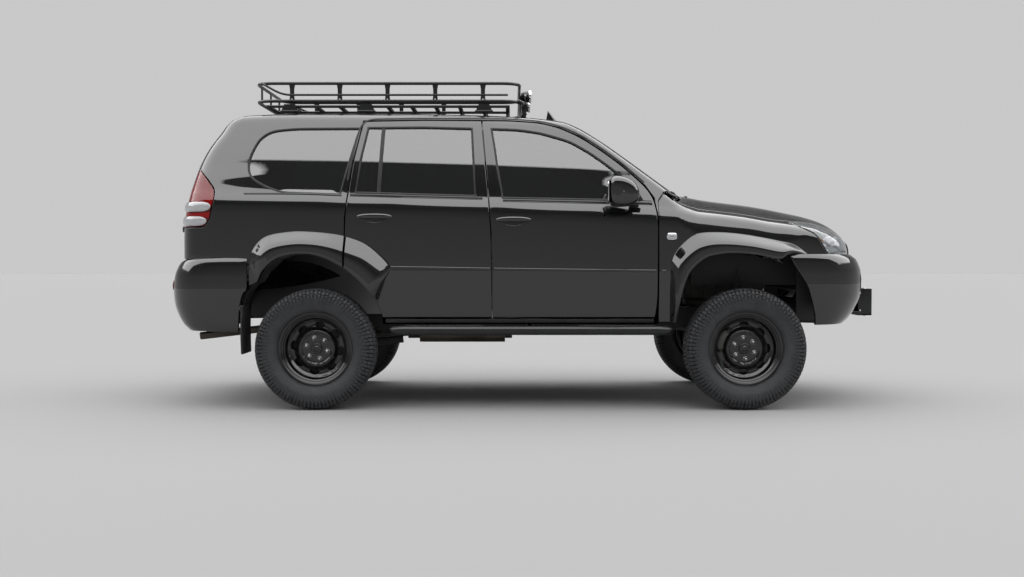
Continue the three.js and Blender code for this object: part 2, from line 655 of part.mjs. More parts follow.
// Floor with a raised load bed
const floorSide = [
  [874, 585], [874, FLOOR_TOP], [CABIN_REAR, FLOOR_TOP], [CABIN_REAR, LOAD_FLOOR_TOP],
  [-2160, LOAD_FLOOR_TOP],
  [-2160, LOAD_FLOOR_TOP - 36], [-965, LOAD_FLOOR_TOP - 36], [-965, 585],
];
addPiece(
  "floor_pan", "plastic",
  acrossY(floorSide, -900, 900).intersect(lining)
    .subtract(bothSides(acrossY(grown(REAR_ARCH, 14 + FIT), ARCH_INNER - 12 - FIT, 1000))),
);

// Front wings
const wingOutline = [
  [830, 560], [830, 1400], [1690, 1400], [1690, 1222], [1769, 1186], [1853, 1141], [1888, 1085],
  [1914, 1040], [1940, 1003], [1650, 1003], [1587, 980], [1450, 800], [940, 560],
];
function bonnetSheet(below, above, from, to, inner, outer) {
  return between(
    spread(from, to, Math.max(2, Math.round((to - from) / 190))),
    [inner, ...[0, 300, 520, 640, 720, 790, 840].flatMap((y) => [-y, y])
      .filter((y, i, all) => y > inner && y < outer && all.indexOf(y) === i)
      .sort((a, b) => a - b), outer],
    (x, y) => [x, y, bonnetAt(x, y) - below],
    (x, y) => [x, y, bonnetAt(x, y) + above],
  );
}
const underBonnetLine = bonnetSheet(900, 0, 820, 2200, 400, 900);
const archHole = acrossY(FRONT_ARCH, 0, 1100);
const wingSkin = acrossY(wingOutline, 500, 990)
  .intersect(sideSheet(45, 0, 800, 2130, 480, 1420))
  .intersect(underBonnetLine);
const wingTop = bonnetSheet(42, 0, 830, 1690, 722, 880)
  .intersect(sideSheet(400, 0, 800, 2130, 480, 1420));
const wingLiner = acrossY(grown(FRONT_ARCH, 14), 520, 840)
  .subtract(box(800, 2000, 0, 1000, 0, 600))
  .subtract(box(1640, 2000, 0, 1000, 0, 1400));
const apron = acrossY(
  [[985, 960], [1100, 1020], [1640, 1010], [1640, 1400], [985, 1400]], 722, 742,
).intersect(underBonnetLine);
const wing = union(wingSkin, wingTop, wingLiner, apron, flare(FRONT_WING, 0, 10))
  .subtract(archHole)
  .subtract(acrossY(grown(HEADLAMP, 4), 500, 1000));
addPair("front_wing", "paint", wing);

// Bonnet, hinged along its rear edge
const BONNET_PLAN = [
  [1062, 0], [1056, 250], [1030, 470], [1000, 600], [968, 715], [1600, 715], [1700, 706],
  [1800, 664], [1900, 622], [2000, 590], [2080, 566], [2120, 500], [2140, 300], [2146, 0],
];
const bonnetOutline = [...BONNET_PLAN, ...BONNET_PLAN.slice(1, -1).reverse().map(([x, y]) => [x, -y])];
const bonnet = bonnetSheet(SKIN, 0, 940, 2160, -760, 760)
  .intersect(acrossZ(bonnetOutline, 900, 1500))
  .add(bonnetSheet(58, -SKIN + 4, 940, 2160, -760, 760)
    .intersect(acrossZ(grown(bonnetOutline, -40), 900, 1500)));
addPiece("bonnet", "paint", bonnet);

// Nose: lamps, grille and the panel behind them
function noseSheet(outside, inside, low, high, reach) {
  const across = [0, 250, 400, 500, 600, 700, 760, 800, 830, 850, 880].filter((y) => y < reach);
  const ys = [...across.slice(1).reverse().map((y) => -y), ...across];
  const levels = [985, 1040, 1100, 1150, 1200, 1235].filter((z) => z > low && z < high);
  return between(
    [-reach, ...ys, reach], [low, ...levels, high],
    (y, z) => [noseAt(y, z) + outside, y, z],
    (y, z) => [noseAt(y, z) - inside, y, z],
  );
}
const lampBody = acrossY(HEADLAMP, 566, 990)
  .intersect(sideSheet(90, 0, 1600, 2150, 900, 1300).add(noseSheet(0, 120, 900, 1262, 900)))
  .intersect(noseSheet(0, 800, 900, 1262, 900))
  .intersect(sideSheet(700, 0, 1600, 2150, 900, 1300))
  .subtract(acrossZ(grown(bonnetOutline, DOOR_GAP), 900, 1500))
  .subtract(box(1600, 2300, 0, 566, 900, 1400));
addPair("headlamp", "lamp", lampBody);
const GRILLE_TOP = 1078;
const GRILLE_MOUTH = [
  [-520, 1022], [520, 1022], [500, GRILLE_TOP - 16], [-500, GRILLE_TOP - 16],
];
const grilleFace = noseSheet(-12, 60, 1003, GRILLE_TOP, 560);
let grille = grilleFace.subtract(acrossX(GRILLE_MOUTH, 1500, 2400));
for (const z of [1034, 1050])
  grille = grille.add(noseSheet(-20, 46, z - 4, z + 4, 530));
for (const y of [-330, -110, 110, 330]) grille = grille.add(
  noseSheet(-26, 50, 1010, GRILLE_TOP - 8, 560).intersect(box(1500, 2300, y - 7, y + 7, 1000, 1200)));
addPiece("grille", "satin", grille.subtract(bonnetSheet(66, 100, 1900, 2200, -600, 600)));

// Bumpers
const FRONT_PATH = [
  [1660, 904, 0.3], [1850, 902, 0.34], [1990, 868, 0.5], [2100, 800, 0.75], [2180, 700, 0.95],
  [2232, 560, 1], [2268, 380, 1], [2286, 190, 1], [2290, 0, 1],
];
const FRONT_SECTION = [
  [-112, 992, 0], [-60, 958, 0], [-22, 905, 0], [-4, 860, 0], [0, 800, 0], [-9, 735, 0],
  [-45, 650, 0], [-95, 572, 0], [-125, 548, 0], [-128, 552, 40], [-128, 992, 40],
];
const REAR_PATH = [
  [-1832, 888, 0.3], [-2050, 888, 0.34], [-2200, 868, 0.5], [-2300, 805, 0.75], [-2358, 700, 0.95],
  [-2392, 520, 1], [-2412, 270, 1], [-REACH, 0, 1],
];
const REAR_SECTION = [
  [-128, 968, 0], [-95, 960, 0], [-38, 908, 0], [-8, 850, 0], [0, 770, 0], [-10, 680, 0],
  [-40, 600, 0], [-100, 520, 0], [-124, 505, 0], [-126, 512, 40], [-126, 968, 40],
];
const frontBumper = sweptBumper(FRONT_PATH, FRONT_SECTION)
  .subtract(bothSides(acrossY(grown(FRONT_ARCH, 2), 0, 1100)))
  .subtract(box(2000, 2500, -250, 250, 585, 780))
  .subtract(acrossX([[-420, 830], [420, 830], [400, 930], [-400, 930]], 2000, 2500));
addPiece("front_bumper", "paint", frontBumper);
const rearBumper = sweptBumper(REAR_PATH, REAR_SECTION)
  .subtract(bothSides(acrossY(grown(REAR_ARCH, 3), 0, 1100)));
addPiece("rear_bumper", "paint", rearBumper);

// Winch and its roller fairlead in the bumper's mouth
const WINCH_HEIGHT = 668;
const winch = union(
  box(2120, 2330, -240, 240, 590, 606),
  rod([2210, -110, WINCH_HEIGHT], [2210, 110, WINCH_HEIGHT], 46, 12),
  box(2150, 2275, -235, -105, 600, 742),
  box(2150, 2275, 105, 235, 600, 742),
  box(2316, 2330, -190, 190, 576, 764),
  box(2330, REACH, -170, 170, 576, 588),
  box(2330, REACH, -170, 170, 752, 764),
  box(2330, REACH, -170, -158, 576, 764),
  box(2330, REACH, 158, 170, 576, 764),
  rod([2374, -160, 640], [2374, 160, 640], 20, 8),
  rod([2374, -160, 706], [2374, 160, 706], 20, 8),
  rod([2396, -132, 580], [2396, -132, 760], 18, 8),
  rod([2396, 132, 580], [2396, 132, 760], 18, 8),
).subtract(box(2300, 2350, -80, 80, 656, 690));
addPiece("winch", "satin", winch);

// A profile turned about the Y direction at a place.
function turnedAt(profile, segments, x, y, z) {
  return moved(turned(profile, segments), x, y, z);
}

// Ladder chassis
const RAIL_Y = 385;
const REAR_RAIL_Y = 440;
const RAIL_DEPTH = 110;
const RAIL_HALF = 36;
const FRONT_RAIL = [[-985, 582], [930, 582], [1080, 640], [1750, 652], [2075, 642]];
const REAR_RAIL = [[-2225, 690], [-1900, 720], [-1650, 752], [-1200, 752], [-990, 582], [-900, 582]];
function railSolid(line, y) {
  const base = line.map(([x, z]) => [x, z - RAIL_DEPTH]).reverse();
  return acrossY([...line, ...base], y - RAIL_HALF, y + RAIL_HALF);
}
const rail = railSolid(FRONT_RAIL, RAIL_Y).add(railSolid(REAR_RAIL, REAR_RAIL_Y));
const CROSSMEMBERS = [
  { x: -2214, z: 630, w: 36, h: 90, half: REAR_RAIL_Y },
  { x: -1330, z: 715, w: 60, h: 60, half: REAR_RAIL_Y },
  { x: -1060, z: 600, w: 50, h: 60, half: REAR_RAIL_Y },
  { x: -480, z: 556, w: 60, h: 40, half: RAIL_Y },
  { x: 320, z: 478, w: 110, h: 20, half: RAIL_Y },
  { x: 1150, z: 590, w: 90, h: 60, half: RAIL_Y },
  { x: 1690, z: 590, w: 110, h: 60, half: RAIL_Y },
  { x: 2040, z: 590, w: 60, h: 80, half: RAIL_Y },
];
let chassis = bothSides(rail);
for (const c of CROSSMEMBERS)
  chassis = chassis.add(box(c.x - c.w / 2, c.x + c.w / 2, -c.half, c.half, c.z - c.h / 2, c.z + c.h / 2));
addPiece("chassis_frame", "frame", chassis);

// Wheels
const HALF_TREAD = TYRE_WIDTH / 2;
const RIM_LIP = HALF_TREAD - 61;
const WELL_RADIUS = RIM_RADIUS - 28;
const DISC_RADIUS = RIM_RADIUS - 60;
const RIM_PROFILE = [
  [0, 20], [36, 18], [44, 6], [112, 12], [DISC_RADIUS, -16], [RIM_RADIUS - 46, 6],
  [RIM_RADIUS - 38, 58], [RIM_RADIUS, RIM_LIP], [RIM_RADIUS - 2, RIM_LIP - 18],
  [WELL_RADIUS, 44], [WELL_RADIUS - 2, -96], [WELL_RADIUS - 16, -96], [DISC_RADIUS, -34], [0, -12],
];
const TYRE_PROFILE = [
  [WELL_RADIUS + 4, -92], [TYRE_RADIUS - 92, -HALF_TREAD], [TYRE_RADIUS - 40, 4 - HALF_TREAD],
  [TYRE_RADIUS, 45 - HALF_TREAD], [TYRE_RADIUS, HALF_TREAD - 45], [TYRE_RADIUS - 40, HALF_TREAD - 4],
  [TYRE_RADIUS - 92, HALF_TREAD], [RIM_RADIUS + 7, RIM_LIP + 34], [RIM_RADIUS + 7, 42],
  [WELL_RADIUS + 4, 40],
];
function ventedRim() {
  let rim = turned(RIM_PROFILE, 18);
  for (let i = 0; i < 8; i++) {
    const turn = ((i + 0.5) / 8) * Math.PI * 2;
    const hole = new THREE.Shape();
    hole.absellipse(0, DISC_RADIUS - 22, 27, 15, 0, Math.PI * 2);
    const outline = hole.getPoints(3).slice(0, -1).map(({ x, y }) => [
      x * Math.cos(turn) - y * Math.sin(turn), x * Math.sin(turn) + y * Math.cos(turn),
    ]);
    rim = rim.subtract(acrossY(outline, -80, 60));
  }
  return rim;
}
const rim = ventedRim();
const tyre = turned(TYRE_PROFILE, 24);
const WHEELS = [
  { name: "front_left", x: FRONT_AXLE, side: 1 }, { name: "front_right", x: FRONT_AXLE, side: -1 },
  { name: "rear_left", x: REAR_AXLE, side: 1 }, { name: "rear_right", x: REAR_AXLE, side: -1 },
];
for (const wheel of WHEELS) {
  const turnedRim = wheel.side > 0 ? rim : mirrored(rim);
  const turnedTyre = wheel.side > 0 ? tyre : mirrored(tyre);
  const hub = [wheel.x, wheel.side * HUB, TYRE_RADIUS];
  addPiece("rim_" + wheel.name, "steel", moved(turnedRim, ...hub), wheel.x);
  addPiece("tyre_" + wheel.name, "tyre", moved(turnedTyre, ...hub), wheel.x);
}

// Rear axle with its differential and trailing links
const rearAxle = union(
  rod([REAR_AXLE, 100 - HUB, AXLE_Z], [REAR_AXLE, HUB - 100, AXLE_Z], 44, 8),
  turnedAt([[0, 96], [96, 86], [132, 40], [132, -40], [96, -86], [0, -96]], 10, REAR_AXLE, 60, AXLE_Z),
  ...[-1, 1].flatMap((side) => [
    rod([REAR_AXLE, side * (HUB - 145), AXLE_Z], [REAR_AXLE, side * (HUB - 100), AXLE_Z], 150, 12),
    rod([REAR_AXLE, side * (HUB - 105), AXLE_Z], [REAR_AXLE, side * (HUB - 24), AXLE_Z], 62, 8),
    box(REAR_AXLE - 50, REAR_AXLE + 50, side * 520 - 32, side * 520 + 32, AXLE_Z - 52, AXLE_Z + 48),
    rod([REAR_AXLE + 20, side * 520, AXLE_Z - 12], [-860, side * 470, 430], 24, 8),
  ]),
);
addPiece("rear_axle", "frame", rearAxle);

// Engine, gearbox and shafts
addPiece("engine_block", "cast", box(1090, 1660, -250, 250, 640, 1190));
addPiece("driveline", "cast", union(
  acrossX([[-140, 490], [140, 490], [170, 540], [150, 580], [-150, 580], [-170, 540]], 200, 560),
  acrossX([[-110, 505], [110, 505], [110, 580], [-110, 580]], 540, 1085),
  rod([210, 60, 530], [REAR_AXLE + 150, 60, AXLE_Z + 28], 32, 8),
  rod([REAR_AXLE + 240, 60, AXLE_Z + 42], [REAR_AXLE + 140, 60, AXLE_Z + 22], 48, 8),
  rod([540, -120, 535], [1300, -120, 470], 24, 8),
  acrossY([[1284, 330], [1400, 310], [1530, 360], [1540, 480], [1420, 540], [1294, 500]], -190, 90),
));

// Front suspension: one node a side with both arms, its strut and its half shaft
const ARM_REAR = 1300;
const ARM_FRONT = 1640;
const LOWER_BALL = [FRONT_AXLE, KINGPIN_Y - 52, AXLE_Z - 134];
const UPPER_BALL = [FRONT_AXLE, KINGPIN_Y - 80, AXLE_Z + 168];
const ARM_PIVOT_Y = 432;
const ARM_PIVOT_Z = 400;
const strutFoot = new THREE.Vector3(FRONT_AXLE, ARM_PIVOT_Y, ARM_PIVOT_Z)
  .lerp(new THREE.Vector3(...LOWER_BALL), 0.575);
const suspension = union(
  rod([ARM_REAR, ARM_PIVOT_Y, ARM_PIVOT_Z], LOWER_BALL, 24, 8),
  rod([ARM_FRONT, ARM_PIVOT_Y, ARM_PIVOT_Z], LOWER_BALL, 24, 8),
  box(ARM_REAR - 35, ARM_REAR + 35, 425, 452, 370, 640),
  box(ARM_FRONT - 40, ARM_FRONT + 40, 425, 452, 370, 640),
  box(ARM_REAR - 35, ARM_FRONT + 40, 425, 441, 590, 640),
  rod([1320, 436, 655], UPPER_BALL, 16, 8),
  rod([1470, 436, 655], UPPER_BALL, 16, 8),
  box(1290, 1500, 425, 446, 620, 700),
  rod(strutFoot.toArray(), [FRONT_AXLE, 480, 940], 34, 8),
);
addPair("front_suspension", "frame", suspension);

// Steering knuckle with its stub and brake disc
const ARM_BACK = 1235;
const ARM_END_Y = KINGPIN_Y - 76;
const knuckle = union(
  rod([FRONT_AXLE, KINGPIN_Y, AXLE_Z - 152], [FRONT_AXLE, KINGPIN_Y - 22, AXLE_Z + 182], 22, 8),
  rod([FRONT_AXLE, HUB - 124, AXLE_Z], [FRONT_AXLE, HUB - 24, AXLE_Z], 56, 8),
  rod([FRONT_AXLE, HUB - 82, AXLE_Z], [FRONT_AXLE, HUB - 56, AXLE_Z], 150, 12),
  acrossZ([
    [ARM_BACK - 16, ARM_END_Y - 18], [ARM_BACK + 30, ARM_END_Y - 18], [FRONT_AXLE, KINGPIN_Y - 50],
    [FRONT_AXLE, KINGPIN_Y - 10], [ARM_BACK - 4, ARM_END_Y + 18], [ARM_BACK - 16, ARM_END_Y + 12],
  ], AXLE_Z - 24, AXLE_Z - 2),
);
addPair("knuckle", "cast", knuckle);

// Steering rack: the sliding bar with both tie rods, its ends opened above the arms
const RACK_BAR_Z = AXLE_Z + 24;
const TIE_END = ARM_END_Y + 20;
const rack = union(
  rod([ARM_BACK, -TIE_END + 28, RACK_BAR_Z], [ARM_BACK, TIE_END - 28, RACK_BAR_Z], 12, 8),
  rod([ARM_BACK, -TIE_END, RACK_BAR_Z], [ARM_BACK, -TIE_END + 48, RACK_BAR_Z], 18, 8),
  rod([ARM_BACK, TIE_END - 48, RACK_BAR_Z], [ARM_BACK, TIE_END, RACK_BAR_Z], 18, 8),
  rod([ARM_BACK, -300, RACK_BAR_Z], [ARM_BACK, 300, RACK_BAR_Z], 20, 8),
);
addPiece("steering_rack", "cast", rack);

// Tank, exhaust and spare wheel under the floor
addPiece("fuel_tank", "plastic", box(-880, -120, 120, 340, 396, 530));
addPiece("exhaust", "cast", union(
  tube([[1070, -300, 560], [900, -270, 518], [-200, -240, 516]], 25, 6),
  acrossX([[-320, 400], [-170, 400], [-150, 430], [-150, 480], [-170, 510], [-320, 510], [-340, 480],
    [-340, 430]], -760, -170),
  tube([[-730, -240, 470], [-1000, -290, 500], [-1110, -300, 512], [-1180, -560, 512], [-1750, -560, 512],
    [-2215, -575, 458]], 25, 6),
));
const SPARE_PROFILE = [
  [0, 20], [176, 0], [236, 84], [300, 130], [350, 126], [388, 88],
  [388, -88], [350, -126], [300, -130], [236, -84], [176, -30], [0, -20],
];
function laidFlat(solid, x, z) {
  const m = solid.getMesh();
  const points = Float32Array.from(m.vertProperties);
  for (let i = 0; i < points.length; i += 3) {
    const [px, py, pz] = [points[i], points[i + 1], points[i + 2]];
    points[i] = px + x;
    points[i + 1] = pz;
    points[i + 2] = z - py;
  }
  return fromLists(points, [...m.triVerts]);
}
addPiece("spare_wheel", "tyre", laidFlat(turned(SPARE_PROFILE, 18), -1800, 702), -1800);

// Cabin: dashboard, steering wheel, seats
const CABIN_HALF = SHELL_HALF_WIDTH - 76 - DOOR_THICKNESS;
const dash = acrossY([
  [560, 860], [520, 960], [470, 1010], [480, 1120], [520, 1180], [700, 1215], [868, 1215],
  [868, 700], [700, 700], [640, 840],
], -CABIN_HALF, CABIN_HALF).add(box(-60, 640, -110, 110, FLOOR_TOP + FIT, 850));
addPiece("dashboard", "plastic", dash, CABIN_FRONT);
const WHEEL_Y = 370;
const WHEEL_CENTRE = [395, WHEEL_Y, 1100];
const WHEEL_TILT = 0.42;
const rimPoints = spread(0, 2 * Math.PI, 16).slice(0, -1).map((a) => [
  WHEEL_CENTRE[0] + Math.sin(a) * 188 * Math.sin(WHEEL_TILT),
  WHEEL_Y + Math.cos(a) * 188,
  WHEEL_CENTRE[2] + Math.sin(a) * 188 * Math.cos(WHEEL_TILT),
]);
const columnEnd = [
  WHEEL_CENTRE[0] + 62 * Math.cos(WHEEL_TILT), WHEEL_Y, WHEEL_CENTRE[2] - 62 * Math.sin(WHEEL_TILT),
];
addPiece("steering_wheel", "plastic", union(
  tube(rimPoints, 15, 6, true),
  rod(rimPoints[0], rimPoints[8], 12, 6),
  rod(WHEEL_CENTRE, rimPoints[12], 12, 6),
  rod(WHEEL_CENTRE, columnEnd, 34, 12),
), CABIN_FRONT);

function seat(x, y, width, base, back) {
  const cushion = acrossY([
    [x - 260, base], [x - 270, base + 120], [x - 200, base + 150], [x + 240, base + 178],
    [x + 282, base + 140], [x + 262, base],
  ], y - width / 2, y + width / 2);
  const rest = acrossY([
    [x - 262, base + 60], [x - 150, base + 118], [x - 214, base + 400], [x - 262, base + back],
    [x - 330, base + back], [x - 330, base + 400],
  ], y - width / 2 + 8, y + width / 2 - 8);
  return cushion.add(rest);
}
function headrest(x, y, z) {
  return acrossY([[x - 50, z], [x - 46, z + 170], [x + 22, z + 176], [x + 44, z + 20]], y - 130, y + 130)
    .add(box(x - 12, x + 8, y - 60, y - 40, z - 90, z + 20))
    .add(box(x - 12, x + 8, y + 40, y + 60, z - 90, z + 20));
}
for (const [side, y] of [["left", WHEEL_Y], ["right", -WHEEL_Y]]) {
  addPiece("seat_front_" + side, "fabric", seat(0, y, 500, FLOOR_TOP + 140, 720)
    .add(headrest(-290, y, FLOOR_TOP + 900))
    .add(box(-200, 180, y - 190, y + 190, FLOOR_TOP + FIT, FLOOR_TOP + 150)), CABIN_FRONT);
}
addPiece("bench_rear", "fabric", seat(-870, 0, 1280, FLOOR_TOP + 246, 640)
  .add(box(-1000, -700, -560, 560, FLOOR_TOP + 246, FLOOR_TOP + 250))
  .add(headrest(-1160, 370, FLOOR_TOP + 920))
  .add(headrest(-1160, -370, FLOOR_TOP + 920))
  .add(box(-905, -660, -520, 520, FLOOR_TOP + FIT, FLOOR_TOP + 260)), CABIN_REAR);

// Door mirrors
const MIRROR_HEAD = [
  [486, 1318], [480, 1410], [500, 1482], [560, 1506], [628, 1492], [672, 1440], [690, 1370],
  [676, 1326], [620, 1305], [530, 1304],
];
function roundedBlock(outline, y0, y1, edge) {
  const middle = acrossY(outline, y0 + edge, y1 - edge);
  return middle
    .add(acrossY(grown(outline, -edge * 0.35), y0 + edge * 0.4, y1 - edge * 0.4))
    .add(acrossY(grown(outline, -edge), y0, y1));
}
const mirrorArm = union(
  roundedBlock(MIRROR_HEAD, 916, 1130, 24),
  acrossY([[640, 1345], [648, 1395], [700, 1392], [722, 1350]], 826, 925),
);
addPair("mirror", "paint", mirrorArm.subtract(sideSheet(500, -4, 400, 900, 1200, 1600)));

// Steps, flaps
const STEP_END = 916;
const STEP_Z = 514;
addPair("side_step", "satin", union(
  tube([[-STEP_END, 846, STEP_Z], [-STEP_END + 60, 886, STEP_Z], [STEP_END - 60, 886, STEP_Z],
    [STEP_END, 846, STEP_Z]], 30, 8),
  ...[-700, 0, 700].map((x) => rod([x, 890, STEP_Z], [x, 424, 530], 15, 8)),
));
addPair("mud_flap", "plastic", acrossY(
  [[-1852, 362], [-1858, 540], [-1850, 676], [-1862, 676], [-1870, 540], [-1864, 362]],
  HUB - 132, FLARE_REACH - 9,
));

// Roof rack
const RACK_REAR = -1850;
const RACK_FRONT = RACK_REAR + RACK_LENGTH;
const RACK_HALF = RACK_WIDTH / 2;
const RACK_BAR = 11;
function rackLoop(z, shrink) {
  const corner = 90;
  const path = [];
  const [x0, x1, y] = [RACK_REAR + shrink, RACK_FRONT - shrink, RACK_HALF - shrink];
  for (const [cx, cy, from] of [
    [x1 - corner, y - corner, 0], [x0 + corner, y - corner, 90],
    [x0 + corner, -y + corner, 180], [x1 - corner, -y + corner, 270],
  ])
    for (const step of [0, 45, 90]) {
      const a = THREE.MathUtils.degToRad(from + step);
      path.push([cx + Math.cos(a) * corner, cy + Math.sin(a) * corner, z]);
    }
  return tube(path, RACK_BAR, 6, true);
}
const RACK_POSTS = spread(RACK_REAR + 245, RACK_FRONT - 247, 4);
const SLATS = spread(RACK_REAR + 80, RACK_FRONT - 80, 10);
const LOW_RAIL = RACK_FLOOR + 26;
let roofRack = rackLoop(RACK_TOP - RACK_BAR, 0).add(rackLoop(LOW_RAIL, 0));
for (const x of RACK_POSTS) roofRack = roofRack.add(bothSides(
  box(x - 14, x + 14, RACK_HALF - 6, RACK_HALF + 4, LOW_RAIL - 4, RACK_TOP - RACK_BAR)));
for (const y of [-300, 0, 300]) roofRack = roofRack.add(bothSides(
  box(RACK_REAR - 4, RACK_REAR + 6, y - 14, y + 14, LOW_RAIL - 4, RACK_TOP - RACK_BAR)));
const MIDDLE_RAIL = (RACK_TOP + RACK_FLOOR) / 2 - 10;
roofRack = roofRack.add(bothSides(tube([
  [RACK_REAR + 40, RACK_HALF, RACK_TOP - RACK_BAR], [RACK_REAR + 180, RACK_HALF, MIDDLE_RAIL],
  [RACK_FRONT - 80, RACK_HALF, MIDDLE_RAIL],
], 7, 6)));
for (const x of SLATS)
  roofRack = roofRack.add(box(x - 12, x + 12, -RACK_HALF, RACK_HALF, RACK_FLOOR - 18, RACK_FLOOR));
for (const y of [-RACK_HALF, RACK_HALF])
  roofRack = roofRack.add(box(RACK_REAR + 70, RACK_FRONT - 70, y - 9, y + 9, RACK_FLOOR - 20, LOW_RAIL));
const RACK_FEET = [RACK_REAR + 235, RACK_REAR + 750, RACK_FRONT - 239];
for (const x of RACK_FEET) roofRack = roofRack.add(bothSides(union(
  box(x - 45, x + 45, RACK_HALF - 8, RACK_HALF + 52, 1962, RACK_FLOOR - 4),
  between([x - 60, x, x + 60], [RACK_HALF + 10, RACK_HALF + 52],
    (px, py) => [px, py, roofAt(px, py) + FIT], (px, py) => [px, py, 1966]),
)));
addPiece("roof_rack", "satin", roofRack);
const lampSpots = [-260, 260];
const rackLamps = union(
  rod([RACK_FRONT + 20, -360, 2034], [RACK_FRONT + 20, 360, 2034], 10, 8),
  ...lampSpots.flatMap((y) => [
    rod([RACK_FRONT + 36, y, 2066], [RACK_FRONT + 112, y, 2066], 44, 8),
    box(RACK_FRONT + 12, RACK_FRONT + 92, y - 20, y + 20, 2020, 2030),
    box(RACK_FRONT + 28, RACK_FRONT + 70, y - 10, y + 10, 1966, 2030),
    box(RACK_FRONT + 60, RACK_FRONT + 76, y - 8, y + 8, 2016, 2030),
  ]),
);
addPiece("rack_lamps", "satin", rackLamps);
export default vehicle;
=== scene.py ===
"""Looks of a lifted black off-road vehicle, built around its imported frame.

Lengths in the tables are millimetres, and SCALE turns them into metres when a mesh is made.
+X is forward, +Y is the vehicle's left, +Z is up, and X = 0 is midway between the axles.
"""

import math

import bpy
import numpy as np
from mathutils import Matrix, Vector
from mathutils.geometry import delaunay_2d_cdt


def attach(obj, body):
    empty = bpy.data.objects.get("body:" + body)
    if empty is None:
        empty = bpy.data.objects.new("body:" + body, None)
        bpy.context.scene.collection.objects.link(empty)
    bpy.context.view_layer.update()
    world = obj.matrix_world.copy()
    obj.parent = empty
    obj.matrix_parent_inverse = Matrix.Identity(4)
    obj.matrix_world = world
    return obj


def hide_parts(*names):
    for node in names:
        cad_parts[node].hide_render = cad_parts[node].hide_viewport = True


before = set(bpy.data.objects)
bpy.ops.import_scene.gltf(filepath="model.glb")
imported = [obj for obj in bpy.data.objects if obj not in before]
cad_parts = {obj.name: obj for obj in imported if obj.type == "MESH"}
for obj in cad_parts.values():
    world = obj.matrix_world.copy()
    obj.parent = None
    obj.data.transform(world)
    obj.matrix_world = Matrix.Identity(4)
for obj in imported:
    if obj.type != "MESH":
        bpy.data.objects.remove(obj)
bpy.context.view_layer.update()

SCALE = 0.001
SIDES = {"left": 1, "right": -1}


# ---------------------------------------------------------------- sizes
TYRE_RADIUS = 392
FRONT_AXLE = 1395
REAR_AXLE = -1395
HUB_Y = 800
FLARE_REACH = 937
DOOR_GAP = 6
BONNET_SIDE = 721.0
SKIN = 22


class Curve:
    """Monotone cubic through rows of [position, value], flat beyond its ends."""

    def __init__(self, rows):
        self.x, self.y = np.array(rows, float).T
        step = np.diff(self.x)
        slope = np.diff(self.y) / step
        product = slope[:-1] * slope[1:]
        total = np.where(product > 0, slope[:-1] + slope[1:], 1)
        inner = np.where(product > 0, 2 * product / total, 0)
        self.tangent = np.concatenate([slope[:1], inner, slope[-1:]])

    def __call__(self, at):
        at = np.clip(np.asarray(at, float), self.x[0], self.x[-1])
        i = np.clip(np.searchsorted(self.x, at, side="right") - 1, 0, len(self.x) - 2)
        h = self.x[i + 1] - self.x[i]
        t = (at - self.x[i]) / h
        start = (1 + 2 * t) * (1 - t) ** 2 * self.y[i] + t * (1 - t) ** 2 * h * self.tangent[i]
        end = t * t * (3 - 2 * t) * self.y[i + 1] + t * t * (t - 1) * h * self.tangent[i + 1]
        return start + end


# ---------------------------------------------------------------- bodywork surfaces
HALF_WIDTH_ALONG = Curve([
    [-2420, 690], [-2340, 765], [-2280, 800], [-2200, 832], [-2050, 852], [-1800, 864],
    [-1395, 871], [-900, 876], [-300, 878], [400, 878], [850, 876], [1250, 872], [1500, 866],
    [1750, 858], [1850, 848], [1950, 830], [2040, 780], [2095, 700], [2130, 600], [2155, 500],
])
BELT_HEIGHT = Curve([
    [-2350, 1432], [-1180, 1401], [-200, 1369], [456, 1342], [860, 1318], [1118, 1298],
    [1448, 1265], [1705, 1226], [1900, 1190], [2100, 1150],
])
DROP_FROM_BELT = Curve([
    [-900, 0], [-450, 0], [-300, 2], [-140, 7], [-90, 12], [-60, 20], [-30, 34], [0, 52],
    [100, 76], [200, 104], [300, 138], [400, 176], [450, 196], [500, 222], [540, 252], [600, 320],
])
DROP_AT_SILL = Curve([
    [400, 62], [500, 42], [560, 33], [620, 22], [700, 12], [800, 4], [900, 0], [3000, 0],
])
CABIN_TAPER = Curve([
    [-2350, 34], [-1900, 15], [-1200, 0], [0, 0], [400, 8], [900, 44], [1100, 60],
])
ROOF_CROWN = Curve([
    [-2300, 1860], [-2150, 1905], [-2000, 1946], [-1800, 1963], [-1500, 1971], [-1000, 1971],
    [-400, 1962], [0, 1943], [200, 1920], [400, 1888], [700, 1820],
])
ROOF_DROP = Curve([
    [0, 0], [250, 4], [500, 17], [600, 31], [650, 52], [680, 78], [700, 110], [760, 260],
])
TAIL_FACE = Curve([
    [400, -2345], [1100, -2345], [1250, -2335], [1400, -2302], [1500, -2272], [1600, -2236],
    [1690, -2190], [1755, -2146], [1810, -2103], [1860, -2072], [1900, -2046], [1990, -1960],
])
SCREEN_FACE = Curve([
    [400, 902], [1290, 904], [1385, 1064], [1402, 1034], [1430, 996], [1550, 830], [1654, 685],
    [1751, 545], [1838, 405], [1900, 300], [1990, 130],
])
BONNET_CROWN = Curve([
    [780, 1440], [900, 1433], [1060, 1417], [1200, 1391], [1553, 1345], [1834, 1289],
    [1904, 1275], [2050, 1232], [2120, 1195], [2160, 1155], [2210, 1060],
])
BONNET_EDGE = Curve([
    [780, 1438], [835, 1430], [870, 1414], [925, 1378], [986, 1342], [1060, 1314], [1118, 1299],
    [1250, 1285], [1448, 1258], [1580, 1234], [1705, 1217], [1850, 1190], [1950, 1150],
    [2050, 1095], [2120, 1040], [2210, 950],
])
